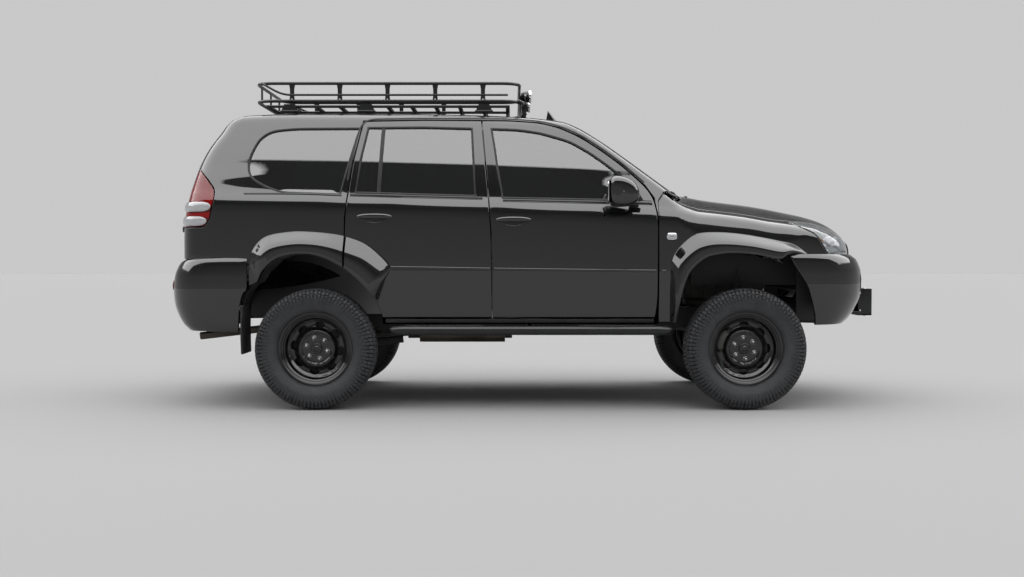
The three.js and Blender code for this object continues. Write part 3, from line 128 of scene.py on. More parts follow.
BONNET_SHAPE = Curve([
    [0, 0], [200, 0.05], [400, 0.22], [600, 0.64], [720, 1], [790, 1.24], [830, 1.5], [870, 2.3],
])
NOSE_PLAN = Curve([
    [0, 2196], [250, 2190], [400, 2175], [500, 2155], [600, 2128], [700, 2085], [760, 2035],
    [800, 1975], [830, 1890], [850, 1780], [880, 1500],
])
NOSE_LEAN = Curve([
    [400, 0], [985, 0], [1040, 8], [1100, 35], [1150, 75], [1200, 135], [1235, 200], [1260, 280],
])


def rows_of(*columns):
    """Rows of coordinates. A column is an array, or one number for every row."""
    return np.column_stack(np.broadcast_arrays(*columns)).astype(float)


def full_turn(count):
    """Angles evenly round a circle."""
    return np.linspace(0, 2 * math.pi, count, endpoint=False)


def unit(rows):
    """Rows scaled to length one."""
    return rows / np.linalg.norm(rows, axis=1)[:, None]


def smoothstep(low, high, at):
    t = np.clip((at - low) / (high - low), 0, 1)
    return t * t * (3 - 2 * t)


def smooth_max(a, b, width):
    """The larger of two fields, rounded where they meet."""
    h = np.clip(width - np.abs(a - b), 0, None) / width
    return np.maximum(a, b) + h * h * width / 4


def side_at(x, z):
    above = z - BELT_HEIGHT(x)
    taper = CABIN_TAPER(x) * smoothstep(-40, 200, above)
    return HALF_WIDTH_ALONG(x) - DROP_FROM_BELT(above) - DROP_AT_SILL(z) - taper


def roof_at(x, y):
    return ROOF_CROWN(x) - ROOF_DROP(np.abs(y))


def tail_at(y, z):
    return TAIL_FACE(z) + 50 * (np.abs(y) / 650) ** 2.6


def screen_at(y, z):
    return SCREEN_FACE(z) - smoothstep(1290, 1400, z) * 92 * (np.abs(y) / 700) ** 2


def bonnet_at(x, y):
    return BONNET_CROWN(x) - (BONNET_CROWN(x) - BONNET_EDGE(x)) * BONNET_SHAPE(np.abs(y))


def nose_at(y, z):
    return NOSE_PLAN(np.abs(y)) - NOSE_LEAN(z)


def cabin_field(p):
    """Below zero inside the cabin's outer surface."""
    x, y, z = p.T
    field = smooth_max(np.abs(y) - side_at(x, z), z - roof_at(x, y), 24)
    field = smooth_max(field, tail_at(y, z) - x, 90)
    return smooth_max(field, x - screen_at(y, z), 50)


def side_field(p):
    """The body side with the rounded rear corner, without the screen."""
    x, y, z = p.T
    field = smooth_max(np.abs(y) - side_at(x, z), z - roof_at(x, y), 24)
    return smooth_max(field, tail_at(y, z) - x, 90)


def front_field(p):
    """Below zero inside the wings, bonnet and nose."""
    x, y, z = p.T
    field = smooth_max(np.abs(y) - side_at(x, z), z - bonnet_at(x, y), 46)
    return smooth_max(field, x - nose_at(y, z), 40)


def hit(field, inside, outside, steps=26):
    """The points where straight lines from inside to outside cross a field's zero."""
    low = np.zeros(len(inside))
    high = np.ones(len(inside))
    for _ in range(steps):
        middle = (low + high) / 2
        within = field(inside + (outside - inside) * middle[:, None]) < 0
        low = np.where(within, middle, low)
        high = np.where(within, high, middle)
    return inside + (outside - inside) * ((low + high) / 2)[:, None]


def normals_of(field, points):
    """A field's outward normals of length one."""
    step = 2.0
    grad = np.zeros_like(points)
    for k in range(3):
        shift = np.zeros(3)
        shift[k] = step
        grad[:, k] = field(points + shift) - field(points - shift)
    return unit(grad)


def sunk(field, points, depth):
    """Moves surface points inwards along the surface's normal."""
    return points if depth == 0 else points - normals_of(field, points) * depth


def spot(place, u, v, depth=0.0):
    """A map's point for one pair of outline coordinates."""
    return place(np.array([[u, v]], float), depth)[0]


# A map turns outline coordinates and a depth under the surface into points.
def side_map(field=side_field):
    """For outlines of [x, z] on a side."""
    def place(uv, depth):
        inside = rows_of(uv[:, 0], 200, uv[:, 1])
        outside = inside + [0, 900, 0]
        return sunk(field, hit(field, inside, outside), depth)
    return place


def top_map(field, floor):
    """For outlines of [x, y] on the roof or the bonnet."""
    def place(uv, depth):
        inside = rows_of(*uv.T, floor)
        return sunk(field, hit(field, inside, inside + [0, 0, 1100]), depth)
    return place


def end_map(field, start, reach):
    """For outlines of [y, z] on the tail, the screen or the nose."""
    def place(uv, depth):
        inside = rows_of(start, *uv.T)
        return sunk(field, hit(field, inside, inside + [reach, 0, 0]), depth)
    return place


def slant_map(field):
    """For outlines of [x, w] over a side and onto the top beside it: w is (y - z) / sqrt(2)."""
    def place(uw, depth):
        inside = rows_of(uw[:, 0], 200, 200 - uw[:, 1] * math.sqrt(2))
        return sunk(field, hit(field, inside, inside + [0, 850, 850]), depth)
    return place


SIDE_MAP = side_map()
CABIN_MAP = side_map(cabin_field)
WING_MAP = side_map(front_field)
BONNET_MAP = top_map(front_field, 900)
TAIL_MAP = end_map(cabin_field, -1700, -900)
SCREEN_MAP = end_map(cabin_field, -500, 2200)
NOSE_MAP = end_map(front_field, 1500, 900)


# ---------------------------------------------------------------- outlines
def resampled(outline, step=18.0):
    """Closed outline with extra points, so that no side is longer than a step."""
    rows = []
    for a, b in zip(outline, outline[1:] + outline[:1]):
        a, b = np.array(a, float), np.array(b, float)
        count = max(1, math.ceil(np.linalg.norm(b - a) / step))
        rows += [a + (b - a) * i / count for i in range(count)]
    return np.array(rows)


def smoothed(outline, step=18.0, corner=38.0, rounds=3):
    """A resampled outline whose gentle corners are rounded and whose sharp ones stay."""
    rows = resampled(outline, step)
    before, after = np.roll(rows, 1, 0), np.roll(rows, -1, 0)
    a, b = rows - before, after - rows
    turn = np.degrees(np.abs(np.arctan2(a[:, 0] * b[:, 1] - a[:, 1] * b[:, 0], (a * b).sum(1))))
    fixed = turn > corner
    for _ in range(rounds * 4):
        mean = (np.roll(rows, 1, 0) + np.roll(rows, -1, 0)) / 2
        rows = np.where(fixed[:, None], rows, rows * 0.4 + mean * 0.6)
    return rows


def area_of(rows):
    """A closed outline's signed area, above zero when it runs anticlockwise."""
    x, z = rows.T
    return float(np.sum(x * np.roll(z, -1) - np.roll(x, -1) * z)) / 2


def grown(rows, distance):
    """Moves an outline outwards by a distance."""
    way = 1 if area_of(rows) > 0 else -1
    before, after = np.roll(rows, 1, 0), np.roll(rows, -1, 0)
    a, b = rows - before, after - rows
    a, b = unit(rows_of(a[:, 1], -a[:, 0])), unit(rows_of(b[:, 1], -b[:, 0]))
    middle = unit(a + b)
    reach = way * distance / np.maximum(0.4, (middle * a).sum(1))
    return rows + middle * reach[:, None]


def within(rows, points):
    """Which points lie inside a closed outline."""
    x, z = points.T
    inside = np.zeros(len(points), bool)
    for (ax, az), (bx, bz) in zip(rows, np.roll(rows, -1, 0)):
        if az == bz:
            continue
        crosses = (az > z) != (bz > z)
        inside ^= crosses & (x < (bx - ax) * (z - az) / (bz - az) + ax)
    return inside


# ---------------------------------------------------------------- mesh building
class Shape:
    """Vertices, faces and chosen normals of one piece, in millimetres."""

    def __init__(self):
        self.points = []
        self.normals = []
        self.faces = []
        self.slots = []

    def add(self, points, faces, normals=None, slot=0):
        """Adds points, and faces that count from the first of them."""
        base = len(self.points)
        points = np.asarray(points, float)
        self.points.extend(points.tolist())
        blank = np.zeros_like(points)
        self.normals.extend((blank if normals is None else normals).tolist())
        self.faces.extend([[base + i for i in face] for face in faces])
        self.slots.extend([slot] * len(faces))
        return self

    def join(self, other, slot=None):
        """Takes in another shape, in its own slots or all in one."""
        base = len(self.points)
        self.points.extend(other.points)
        self.normals.extend(other.normals)
        self.faces.extend([[base + i for i in face] for face in other.faces])
        self.slots.extend(other.slots if slot is None else [slot] * len(other.faces))
        return self

    def mirrored(self):
        made = Shape()
        flip = np.array([1, -1, 1])
        made.points = (np.array(self.points) * flip).tolist()
        made.normals = (np.array(self.normals) * flip).tolist()
        made.faces = [list(reversed(face)) for face in self.faces]
        made.slots = list(self.slots)
        return made

    def moved(self, shift):
        self.points = (np.array(self.points) + np.array(shift)).tolist()
        return self

    def forwards(self):
        """Turns what points along +Y to +X."""
        return self.turned((0, 0, 1), -math.pi / 2)

    def backwards(self):
        """Turns what points along +Y to -X."""
        return self.turned((0, 0, 1), math.pi / 2)

    def upwards(self):
        """Turns what points along +Y to +Z."""
        return self.turned((1, 0, 0), math.pi / 2)

    def turned(self, axis, angle):
        """Turns the shape by an angle in radians about an axis through the origin."""
        axis = np.array(axis, float)
        axis /= np.linalg.norm(axis)
        cross = np.array([
            [0, -axis[2], axis[1]], [axis[2], 0, -axis[0]], [-axis[1], axis[0], 0],
        ])
        turn = np.eye(3) + math.sin(angle) * cross + (1 - math.cos(angle)) * cross @ cross
        self.points = (np.array(self.points) @ turn.T).tolist()
        self.normals = (np.array(self.normals) @ turn.T).tolist()
        return self


def build(name, shape, materials, body, replaced=(), slot=None, crease=50.0):
    """Makes the Blender object of a shape: shaded smooth, with creases over an angle kept."""
    mesh = bpy.data.meshes.new(name)
    points = np.array(shape.points) * SCALE
    mesh.from_pydata(points.tolist(), [], shape.faces)
    for material in materials:
        mesh.materials.append(material)
    mesh.polygons.foreach_set("material_index", shape.slots)
    mesh.polygons.foreach_set("use_smooth", [True] * len(mesh.polygons))
    mesh.update()
    piece = bpy.data.objects.new(name, mesh)
    bpy.context.scene.collection.objects.link(piece)
    mark_creases(mesh, crease)
    normals = np.array(shape.normals)
    if np.abs(normals).max() > 0:
        mesh.normals_split_custom_set_from_vertices(normals.tolist())
    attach(piece, body)
    if replaced:
        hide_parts(*replaced)
    return piece


def vectors(items, key):
    """One vector property of a mesh's vertices or faces, as rows."""
    rows = np.zeros(len(items) * 3)
    items.foreach_get(key, rows)
    return rows.reshape(-1, 3)


def mark_creases(mesh, angle):
    """Marks the edges between faces that turn by more than an angle."""
    facing = vectors(mesh.polygons, "normal")
    first = {}
    sharp = np.zeros(len(mesh.edges), bool)
    loop_edge = np.zeros(len(mesh.loops), int)
    mesh.loops.foreach_get("edge_index", loop_edge)
    limit = math.cos(math.radians(angle))
    for face in mesh.polygons:
        for loop in range(face.loop_start, face.loop_start + face.loop_total):
            edge = loop_edge[loop]
            other = first.setdefault(edge, face.index)
            if other != face.index:
                sharp[edge] = facing[other] @ facing[face.index] < limit
    layer = mesh.attributes.new("sharp_edge", "BOOLEAN", "EDGE")
    layer.data.foreach_set("value", sharp)


def strip(shape, rings, closed=True, slot=0, flip=False):
    """Joins rings of equal length with quads."""
    count = len(rings[0])
    faces = []
    for r in range(len(rings) - 1):
        for i in range(count if closed else count - 1):
            j = (i + 1) % count
            quad = [r * count + i, r * count + j, (r + 1) * count + j, (r + 1) * count + i]
            faces.append(quad[::-1] if flip else quad)
    return shape.add(np.concatenate(rings), faces, slot=slot)


def panel(place, outline, holes=(), thick=SKIN, spacing=26.0, edge=4.0, field=None, flip=False,
          slot=0, start=0.0, inner=True, weld=None):
    """A sheet over a curved surface, with rounded hems round its outline and its holes.

    The place map gives a point for outline coordinates and a depth. The outer face takes its
    normals from the field, or else from the map. Outline points flagged in weld get no hem."""
    shape = Shape()
    if area_of(outline) < 0:
        outline = outline[::-1]
        weld = None if weld is None else weld[::-1]
    loops = [outline] + [hole if area_of(hole) < 0 else hole[::-1] for hole in holes]
    insets = [grown(loop, -edge) if k == 0 else grown(loop, edge) for k, loop in enumerate(loops)]
    if weld is not None:
        insets[0] = np.where(weld[:, None], outline, insets[0])
    low, high = insets[0].min(0), insets[0].max(0)
    us = np.arange(low[0] + spacing / 2, high[0], spacing)
    vs = np.arange(low[1] + spacing / 2, high[1], spacing)
    grid = np.array([(u, v) for u in us for v in vs])
    keep = within(grown(insets[0], -spacing * 0.45), grid)
    for inset in insets[1:]:
        keep &= ~within(grown(inset, spacing * 0.45), grid)
    grid = grid[keep]
    ends = np.cumsum([0] + [len(loop) for loop in insets])
    flat = np.concatenate(insets + [grid])
    edges = []
    for k, loop in enumerate(insets):
        n = len(loop)
        edges += [(int(ends[k] + i), int(ends[k] + (i + 1) % n)) for i in range(n)]
    verts, _, faces, sources, _, _ = delaunay_2d_cdt(
        [Vector(v) for v in flat.tolist()], edges, [], 0, 1e-4)
    flat_out = np.array([[v.x, v.y] for v in verts])
    centres = np.array([flat_out[list(face)].mean(0) for face in faces])
    good = within(insets[0], centres)
    for inset in insets[1:]:
        good &= ~within(inset, centres)
    tris = [list(face) for face, ok in zip(faces, good) if ok]
    tris = [t if area_of(flat_out[t]) > 0 else t[::-1] for t in tris]
    points = place(flat_out, start)
    if field is None:
        outer_normals = numeric_normals(place, flat_out, start) * (-1 if flip else 1)
    else:
        outer_normals = normals_of(field, place(flat_out, 0.0))
    flat_faces = tris if not flip else [t[::-1] for t in tris]
    shape.add(points, flat_faces, outer_normals, slot)
    index_of = {source: i for i, found in enumerate(sources) for source in found}
    base_inner = len(shape.points)
    if inner:
        shape.add(place(flat_out, thick), [t[::-1] for t in flat_faces], None, slot)
    for k, (loop, inset) in enumerate(zip(loops, insets)):
        n = len(loop)
        ring0 = [index_of[ends[k] + i] for i in range(n)]
        near = loop + (inset - loop) * 0.3
        rings = [
            place(near, start + edge * 0.3), place(loop, start + edge),
            place(loop, max(start + edge + 1, thick - edge * 0.5)),
        ]
        base = len(shape.points)
        shape.add(np.concatenate(rings), [], None, slot)
        rows = [ring0] + [[base + r * n + i for i in range(n)] for r in range(3)]
        if inner:
            rows.append([base_inner + i for i in ring0])
        for a, b in zip(rows, rows[1:]):
            for i in range(n):
                j = (i + 1) % n
                if k == 0 and weld is not None and weld[i] and weld[j]:
                    continue
                quad = [a[i], b[i], b[j], a[j]]
                shape.faces.append(quad[::-1] if flip else quad)
                shape.slots.append(slot)
    return shape


def numeric_normals(place, uv, depth):
    """A map's own normals, by small steps in its outline coordinates."""
    step = 1.5
    across = place(uv + [step, 0], depth) - place(uv - [step, 0], depth)
    along = place(uv + [0, step], depth) - place(uv - [0, step], depth)
    normals = np.cross(across, along)
    return normals / np.maximum(np.linalg.norm(normals, axis=1), 1e-9)[:, None]


def loft(shape, rows):
    """A quad grid over rows of points."""
    nr, nc = len(rows), len(rows[0])
    faces = []
    for r in range(nr - 1):
        for c in range(nc - 1):
            faces.append([r * nc + c + 1, (r + 1) * nc + c + 1, (r + 1) * nc + c, r * nc + c])
    return shape.add(np.concatenate(rows), faces)


# ---------------------------------------------------------------- materials
def new_material(name, color, roughness, **sockets):
    """A Principled material, and a helper that adds and links nodes in it."""
    made = bpy.data.materials.new(name)
    made.use_nodes = True
    nodes, links = made.node_tree.nodes, made.node_tree.links
    shader = nodes["Principled BSDF"]
    shader.inputs["Base Color"].default_value = (*color, 1)
    shader.inputs["Roughness"].default_value = roughness
    for socket, value in sockets.items():
        shader.inputs[socket.replace("_", " ")].default_value = value
    made.diffuse_color = (*color, 1)

    def node(kind, links_in=None, **settings):
        new = nodes.new(kind)
        for key, value in settings.items():
            if key in new.inputs:
                new.inputs[key].default_value = value
            else:
                setattr(new, key.lower(), value)
        for socket, source in (links_in or {}).items():
            links.new(source, new.inputs[socket])
        return new

    coords = node("ShaderNodeTexCoord").outputs["Object"]
    return made, shader, node, links, coords


def add_bump(shader, node, links, height, strength, distance):
    """Bumps the surface by a texture."""
    bump = node("ShaderNodeBump", {"Height": height})
    bump.inputs["Strength"].default_value = strength
    bump.inputs["Distance"].default_value = distance
    links.new(bump.outputs["Normal"], shader.inputs["Normal"])


def add_spread(shader, node, links, source, socket, low, high):
    """Drives a socket between two values by a texture."""
    spread = node("ShaderNodeMapRange", {"Value": source})
    spread.inputs["To Min"].default_value = low
    spread.inputs["To Max"].default_value = high
    links.new(spread.outputs["Result"], shader.inputs[socket])


def add_tint(shader, node, links, source, dark, light):
    """Mixes the base colour between two tones by a texture."""
    ramp = node("ShaderNodeValToRGB", {"Fac": source})
    ramp.color_ramp.elements[0].color = (*dark, 1)
    ramp.color_ramp.elements[1].color = (*light, 1)
    ramp.color_ramp.elements[0].position = 0.3
    ramp.color_ramp.elements[1].position = 0.7
    links.new(ramp.outputs["Color"], shader.inputs["Base Color"])


BLACK = (0.003, 0.0033, 0.004)
DUSTY_BLACK = (0.016, 0.0145, 0.013)


def paint_material():
    """Gloss black under a clear coat, with a faint orange peel and dust low on the sides."""
    made, shader, node, links, coords = new_material(
        "gloss_black_paint", BLACK, 0.32, Coat_Weight=1.0, Coat_Roughness=0.015,
        Coat_IOR=1.7, Specular_IOR_Level=0.08)
    peel = node("ShaderNodeTexNoise", {"Vector": coords}, Scale=55.0, Detail=1.0)
    add_bump(shader, node, links, peel.outputs["Fac"], 0.025, 0.0006)
    dust = node("ShaderNodeTexNoise", {"Vector": coords}, Scale=7.0, Detail=6.0, Roughness=0.7)
    place = node("ShaderNodeSeparateXYZ", {"Vector": coords})
    low = node("ShaderNodeMapRange", {"Value": place.outputs["Z"]})
    for key, value in (("From Min", 0.95), ("From Max", 0.5), ("To Min", 0.0), ("To Max", 0.5)):
        low.inputs[key].default_value = value
    amount = node("ShaderNodeMath", operation="MULTIPLY")
    links.new(dust.outputs["Fac"], amount.inputs[0])
    links.new(low.outputs["Result"], amount.inputs[1])
    ramp = node("ShaderNodeValToRGB", {"Fac": amount.outputs["Value"]})
    ramp.color_ramp.elements[0].color = (*BLACK, 1)
    ramp.color_ramp.elements[1].color = (*DUSTY_BLACK, 1)
    links.new(ramp.outputs["Color"], shader.inputs["Base Color"])
    add_spread(shader, node, links, dust.outputs["Fac"], "Roughness", 0.24, 0.4)
    return made


def grained(name, color, roughness, scale, strength, distance, contrast=0.35, metallic=0.0,
            **more):
    """A moulded or coated surface: fine grain in the bump, cloudier colour and roughness."""
    made, shader, node, links, coords = new_material(
        name, color, roughness, Metallic=metallic, **more)
    grain = node("ShaderNodeTexNoise", {"Vector": coords}, Scale=scale, Detail=3.0)
    add_bump(shader, node, links, grain.outputs["Fac"], strength, distance)
    cloud = node("ShaderNodeTexNoise", {"Vector": coords}, Scale=scale / 22, Detail=5.0)
    add_spread(shader, node, links, cloud.outputs["Fac"], "Roughness", roughness * 0.8,
               min(1.0, roughness * 1.25))
    dark = tuple(c * (1 - contrast) for c in color)
    light = tuple(min(1, c * (1 + contrast)) for c in color)
    add_tint(shader, node, links, cloud.outputs["Fac"], dark, light)
    return made


def tyre_material(name, dark, light):
    """Matt rubber with a fine grain and cloudy dust."""
    made, shader, node, links, coords = new_material(name, light, 0.72)
    fine = node("ShaderNodeTexNoise", {"Vector": coords}, Scale=420.0, Detail=2.0)
    add_bump(shader, node, links, fine.outputs["Fac"], 0.35, 0.0005)
    cloud = node("ShaderNodeTexNoise", {"Vector": coords}, Scale=14.0, Detail=6.0, Roughness=0.65)
    add_tint(shader, node, links, cloud.outputs["Fac"], dark, light)
    add_spread(shader, node, links, cloud.outputs["Fac"], "Roughness", 0.55, 0.85)
    return made


def glass_material(name, color, shine):
    """Thin glass: the coat gives its mirror image, and light goes straight through."""
    made, shader, node, links, coords = new_material(
        name, color, 0.0, Transmission_Weight=1.0, IOR=1.01, Coat_Weight=1.0, Coat_IOR=shine,
        Coat_Roughness=0.0)
    wave = node("ShaderNodeTexNoise", {"Vector": coords}, Scale=3.0, Detail=1.0)
    add_bump(shader, node, links, wave.outputs["Fac"], 0.02, 0.001)
    return made


def lamp_lens_material(name, color, flutes=0.0):
    """Clear or coloured plastic, with flutes in its bump."""
    made, shader, node, links, coords = new_material(
        name, color, 0.02, Transmission_Weight=0.95, IOR=1.2, Coat_Weight=0.8)
    wave = node("ShaderNodeTexWave", {"Vector": coords}, Scale=60.0, Distortion=0.0)
    add_bump(shader, node, links, wave.outputs["Fac"], flutes, 0.001)
    return made


def chrome_material(name, color=(0.8, 0.8, 0.8), roughness=0.08):
    """Bright metal with faint smears."""
    made, shader, node, links, coords = new_material(name, color, roughness, Metallic=1.0)
    smear = node("ShaderNodeTexNoise", {"Vector": coords}, Scale=40.0, Detail=4.0)
    add_spread(shader, node, links, smear.outputs["Fac"], "Roughness", roughness * 0.6,
               roughness * 1.6)
    return made


def fabric_material():
    """Woven cloth: two crossed waves in the bump over a cloudy grey."""
    made, shader, node, links, coords = new_material(
        "seat_cloth", (0.05, 0.05, 0.053), 0.9, Sheen_Weight=0.3, Sheen_Roughness=0.5)
    weave = []
    for direction in ("X", "Z"):
        wave = node("ShaderNodeTexWave", {"Vector": coords}, Scale=130.0, bands_direction=direction)
        weave.append(wave.outputs["Fac"])
    both = node("ShaderNodeMath", operation="MAXIMUM")
    links.new(weave[0], both.inputs[0])
    links.new(weave[1], both.inputs[1])
    add_bump(shader, node, links, both.outputs["Value"], 0.4, 0.0008)
    cloud = node("ShaderNodeTexNoise", {"Vector": coords}, Scale=30.0, Detail=4.0)
    add_tint(shader, node, links, cloud.outputs["Fac"], (0.035, 0.035, 0.038), (0.075, 0.075, 0.08))
    return made


PAINT = paint_material()
PLASTIC = grained("grained_black_plastic", (0.022, 0.022, 0.024), 0.6, 260.0, 0.3, 0.0006)
SATIN = grained("satin_powder_coat", (0.012, 0.0125, 0.014), 0.3, 320.0, 0.12, 0.0004, 0.25)
SEAL = grained("rubber_seal", (0.012, 0.012, 0.012), 0.55, 180.0, 0.15, 0.0004)
CHASSIS = grained("chassis_paint", (0.022, 0.021, 0.02), 0.62, 90.0, 0.35, 0.001, 0.5)
CAST = grained("cast_metal", (0.12, 0.118, 0.112), 0.6, 120.0, 0.4, 0.001, 0.4, 0.8)
EXHAUST = grained("exhaust_steel", (0.1, 0.088, 0.075), 0.55, 60.0, 0.3, 0.0008, 0.5, 0.9)
INTERIOR = grained("interior_plastic", (0.045, 0.045, 0.048), 0.7, 300.0, 0.3, 0.0005)
CARPET = grained("carpet", (0.03, 0.03, 0.032), 0.95, 700.0, 0.8, 0.002)
RIM_PAINT = grained("gloss_black_steel", (0.004, 0.004, 0.005), 0.3, 70.0, 0.05, 0.0005, 0.2,
                    Coat_Weight=1.0, Coat_Roughness=0.05, Specular_IOR_Level=0.2)
TYRE = tyre_material("tyre_rubber", (0.034, 0.035, 0.038), (0.064, 0.066, 0.07))
# The groove material is painted shade: the same rubber made near black where shade falls between
# the tread blocks.
GROOVE_SHADE = tyre_material("tyre_groove_shade", (0.004, 0.004, 0.0045), (0.009, 0.009, 0.01))
TINT = glass_material("dark_tinted_glass", (0.045, 0.05, 0.052), 2.0)
SCREEN = glass_material("windscreen_glass", (0.55, 0.62, 0.6), 1.5)
LENS = lamp_lens_material("clear_lens", (0.96, 0.98, 1.0))
RED = lamp_lens_material("red_lens", (0.62, 0.008, 0.012), 0.12)
CHROME = chrome_material("lamp_reflector", (0.86, 0.87, 0.88), 0.1)
STEEL = chrome_material("bright_steel", (0.5, 0.5, 0.5), 0.25)
AMBER = lamp_lens_material("amber_lens", (0.9, 0.32, 0.02))
CLOTH = fabric_material()
BEZEL = grained("lamp_bezel", (0.012, 0.012, 0.013), 0.42, 120.0, 0.1, 0.0003)
SILVER = grained("lamp_housing_silver", (0.42, 0.44, 0.44), 0.28, 50.0, 0.06, 0.0004, 0.25, 0.6)
BRAKE = grained("brake_iron", (0.11, 0.1, 0.095), 0.5, 80.0, 0.3, 0.0006, 0.4, 0.8)
PEARL = grained("clear_over_silver", (0.62, 0.63, 0.65), 0.22, 60.0, 0.05, 0.0003, 0.12,
                Coat_Weight=1.0, Coat_Roughness=0.03)
GLOW = grained("bulb_glass", (0.8, 0.8, 0.78), 0.15, 60.0, 0.05, 0.0002, 0.05)
PLATE = grained("blank_plate", (0.7, 0.7, 0.68), 0.4, 60.0, 0.1, 0.0003, 0.05)
ROPE = grained("winch_rope", (0.16, 0.16, 0.17), 0.8, 420.0, 0.9, 0.002)


# ---------------------------------------------------------------- outlines of the bodywork
FRONT_DOOR = [
    [-246, 596], [806, 596], [822, 700], [823, 1225], [802, 1368], [745, 1452], [592, 1590],
    [462, 1688], [330, 1776], [190, 1842], [60, 1876], [-150, 1890], [-318, 1890],
    [-270, 1376], [-252, 1130], [-248, 900],
]
REAR_DOOR = [
    [-252, 596], [-254, 900], [-258, 1130], [-276, 1376], [-325, 1890], [-700, 1892],
    [-1100, 1884], [-1158, 1600], [-1186, 1385], [-1200, 1240], [-1204, 1048], [-1204, 921],
    [-1140, 872], [-1072, 808], [-1025, 747], [-992, 694], [-960, 596],
]
FRONT_WINDOW = [
    [-184, 1372], [712, 1354], [738, 1388], [640, 1478], [522, 1576], [392, 1672], [260, 1750],
    [64, 1808], [-80, 1830], [-259, 1836], [-239, 1722], [-219, 1578],
]
REAR_WINDOW = [
    [-357, 1384], [-384, 1838], [-700, 1846], [-1070, 1842], [-1110, 1640], [-1140, 1406],
]
QUARTER_WINDOW = [
    [-1236, 1394], [-1176, 1640], [-1122, 1838], [-1540, 1836], [-1706, 1822], [-1786, 1770],
    [-1844, 1640], [-1852, 1560], [-1832, 1510], [-1760, 1462], [-1630, 1408],
]
TAILGATE = [
    [-712, 988], [-716, 1180], [-706, 1400], [-668, 1600], [-612, 1780], [-570, 1862],
    [-300, 1880], [300, 1880], [570, 1862], [612, 1780], [668, 1600], [706, 1400],
    [716, 1180], [712, 988],
]
TAIL_WINDOW = [
    [-590, 1440], [-560, 1620], [-505, 1790], [-300, 1812], [300, 1812], [505, 1790],
    [560, 1620], [590, 1440],
]
SCREEN_OPENING = [
    [-640, 1448], [-560, 1436], [0, 1432], [560, 1436], [640, 1448], [560, 1838], [520, 1868],
    [0, 1880], [-520, 1868], [-560, 1838],
]
# Front edge of the tail lamp as [x, z]; it runs round the corner to the rear door.
LAMP_EDGE = [[-2120, 1182], [-2085, 1240], [-2056, 1400], [-2100, 1480], [-2172, 1562]]
LAMP_FOOT, LAMP_TOP = 1183, 1562
HEADLAMP_LOW = [[1694, 1218], [1769, 1182], [1853, 1137], [1892, 1085], [1918, 1040], [1950, 999]]
BONNET_PLAN = [
    [1062, 0], [1056, 250], [1030, 470], [1000, 600], [968, 715], [1600, 715], [1700, 706],
    [1800, 664], [1900, 622], [2000, 590], [2080, 566], [2120, 500], [2140, 300], [2146, 0],
]
# Wheel openings: the arch's edge and the flare's outer line at the same stations.
FRONT_WING = np.array([
    [942, 562, 900, 562], [950, 660, 898, 700], [975, 775, 897, 860], [1022, 895, 912, 990],
    [1115, 980, 990, 1091], [1205, 1006, 1080, 1144], [1310, 1014, 1225, 1152],
    [1446, 1004, 1408, 1134], [1587, 977, 1600, 1098], [1650, 1001, 1710, 1070],
    [1720, 1004, 1800, 1010],
], float)
REAR_WING = np.array([
    [-1770, 825, -1836, 968], [-1725, 900, -1790, 1060], [-1640, 975, -1707, 1129],
    [-1540, 1005, -1547, 1157], [-1425, 1007, -1418, 1156], [-1320, 980, -1300, 1146],
    [-1204, 919, -1200, 1131], [-1140, 870, -1065, 1084], [-1072, 806, -950, 994],
    [-1025, 745, -898, 930], [-992, 692, -925, 885],
], float)


class Wrap:
    """A map round a corner of the body. The first outline coordinate is x along the side,
    then runs through the corner's turn, then along the end towards the middle."""

    def __init__(self, field, x, y, run, way):
        self.field, self.x, self.y, self.run, self.way = field, x, y, run, way

    def __call__(self, uz, depth):
        past = (uz[:, 0] - self.x) * self.way
        turn = np.radians(np.clip(past / self.run, 0, 1) * 90)
        start = rows_of(
            np.where(past > 0, self.x, uz[:, 0]),
            np.where(past > 0, self.y - np.clip(past - self.run, 0, None), 200.0), uz[:, 1])
        ray = rows_of(self.way * np.sin(turn), np.cos(turn), 0)
        return sunk(self.field, hit(self.field, start, start + ray * 900), depth)

    def unrolled(self, points):
        """Outline coordinates of points on the body."""
        x, y, z = points.T
        turn = np.degrees(np.arctan2((x - self.x) * self.way, y - self.y)) / 90
        past = np.where(y > self.y, self.run * turn, self.run + self.y - y)
        u = np.where((x - self.x) * self.way <= 0, x, self.x + self.way * past)
        return rows_of(u, z)


REAR_CORNER = Wrap(cabin_field, -1880.0, 600.0, 620.0, -1)
FRONT_CORNER = Wrap(front_field, 1700.0, 420.0, 520.0, 1)
TAIL_MIDDLE = REAR_CORNER.x - REAR_CORNER.run - REAR_CORNER.y


def on_tail(yz):
    """Tail outline rows of [y, z] as wrapped [u, z]."""
    return REAR_CORNER.unrolled(TAIL_MAP(np.array(yz, float), 0.0))


def on_side(xz):
    """Side outline rows of [x, z] as wrapped [u, z]."""
    return REAR_CORNER.unrolled(CABIN_MAP(np.array(xz, float), 0.0))


def roof_crease(u):
    """Height at which the body's side or tail meets the roof."""
    low, high = np.full(len(u), 1700.0), np.full(len(u), 1990.0)

    def walls(p):
        x, y, z = p.T
        return smooth_max(np.abs(y) - side_at(x, z), tail_at(y, z) - x, 90)

    outline_walls = Wrap(walls, REAR_CORNER.x, REAR_CORNER.y, REAR_CORNER.run, -1)
    for _ in range(22):
        z = (low + high) / 2
        points = outline_walls(rows_of(u, z), 0)
        below = z < roof_at(points[:, 0], points[:, 1])
        low, high = np.where(below, z, low), np.where(below, high, z)
    return (low + high) / 2


def screen_crease(z):
    """Where the body's side meets the windscreen's surface, as x."""
    x = screen_at(700.0, z)
    for _ in range(12):
        x = screen_at(side_at(x, z), z)
    return x


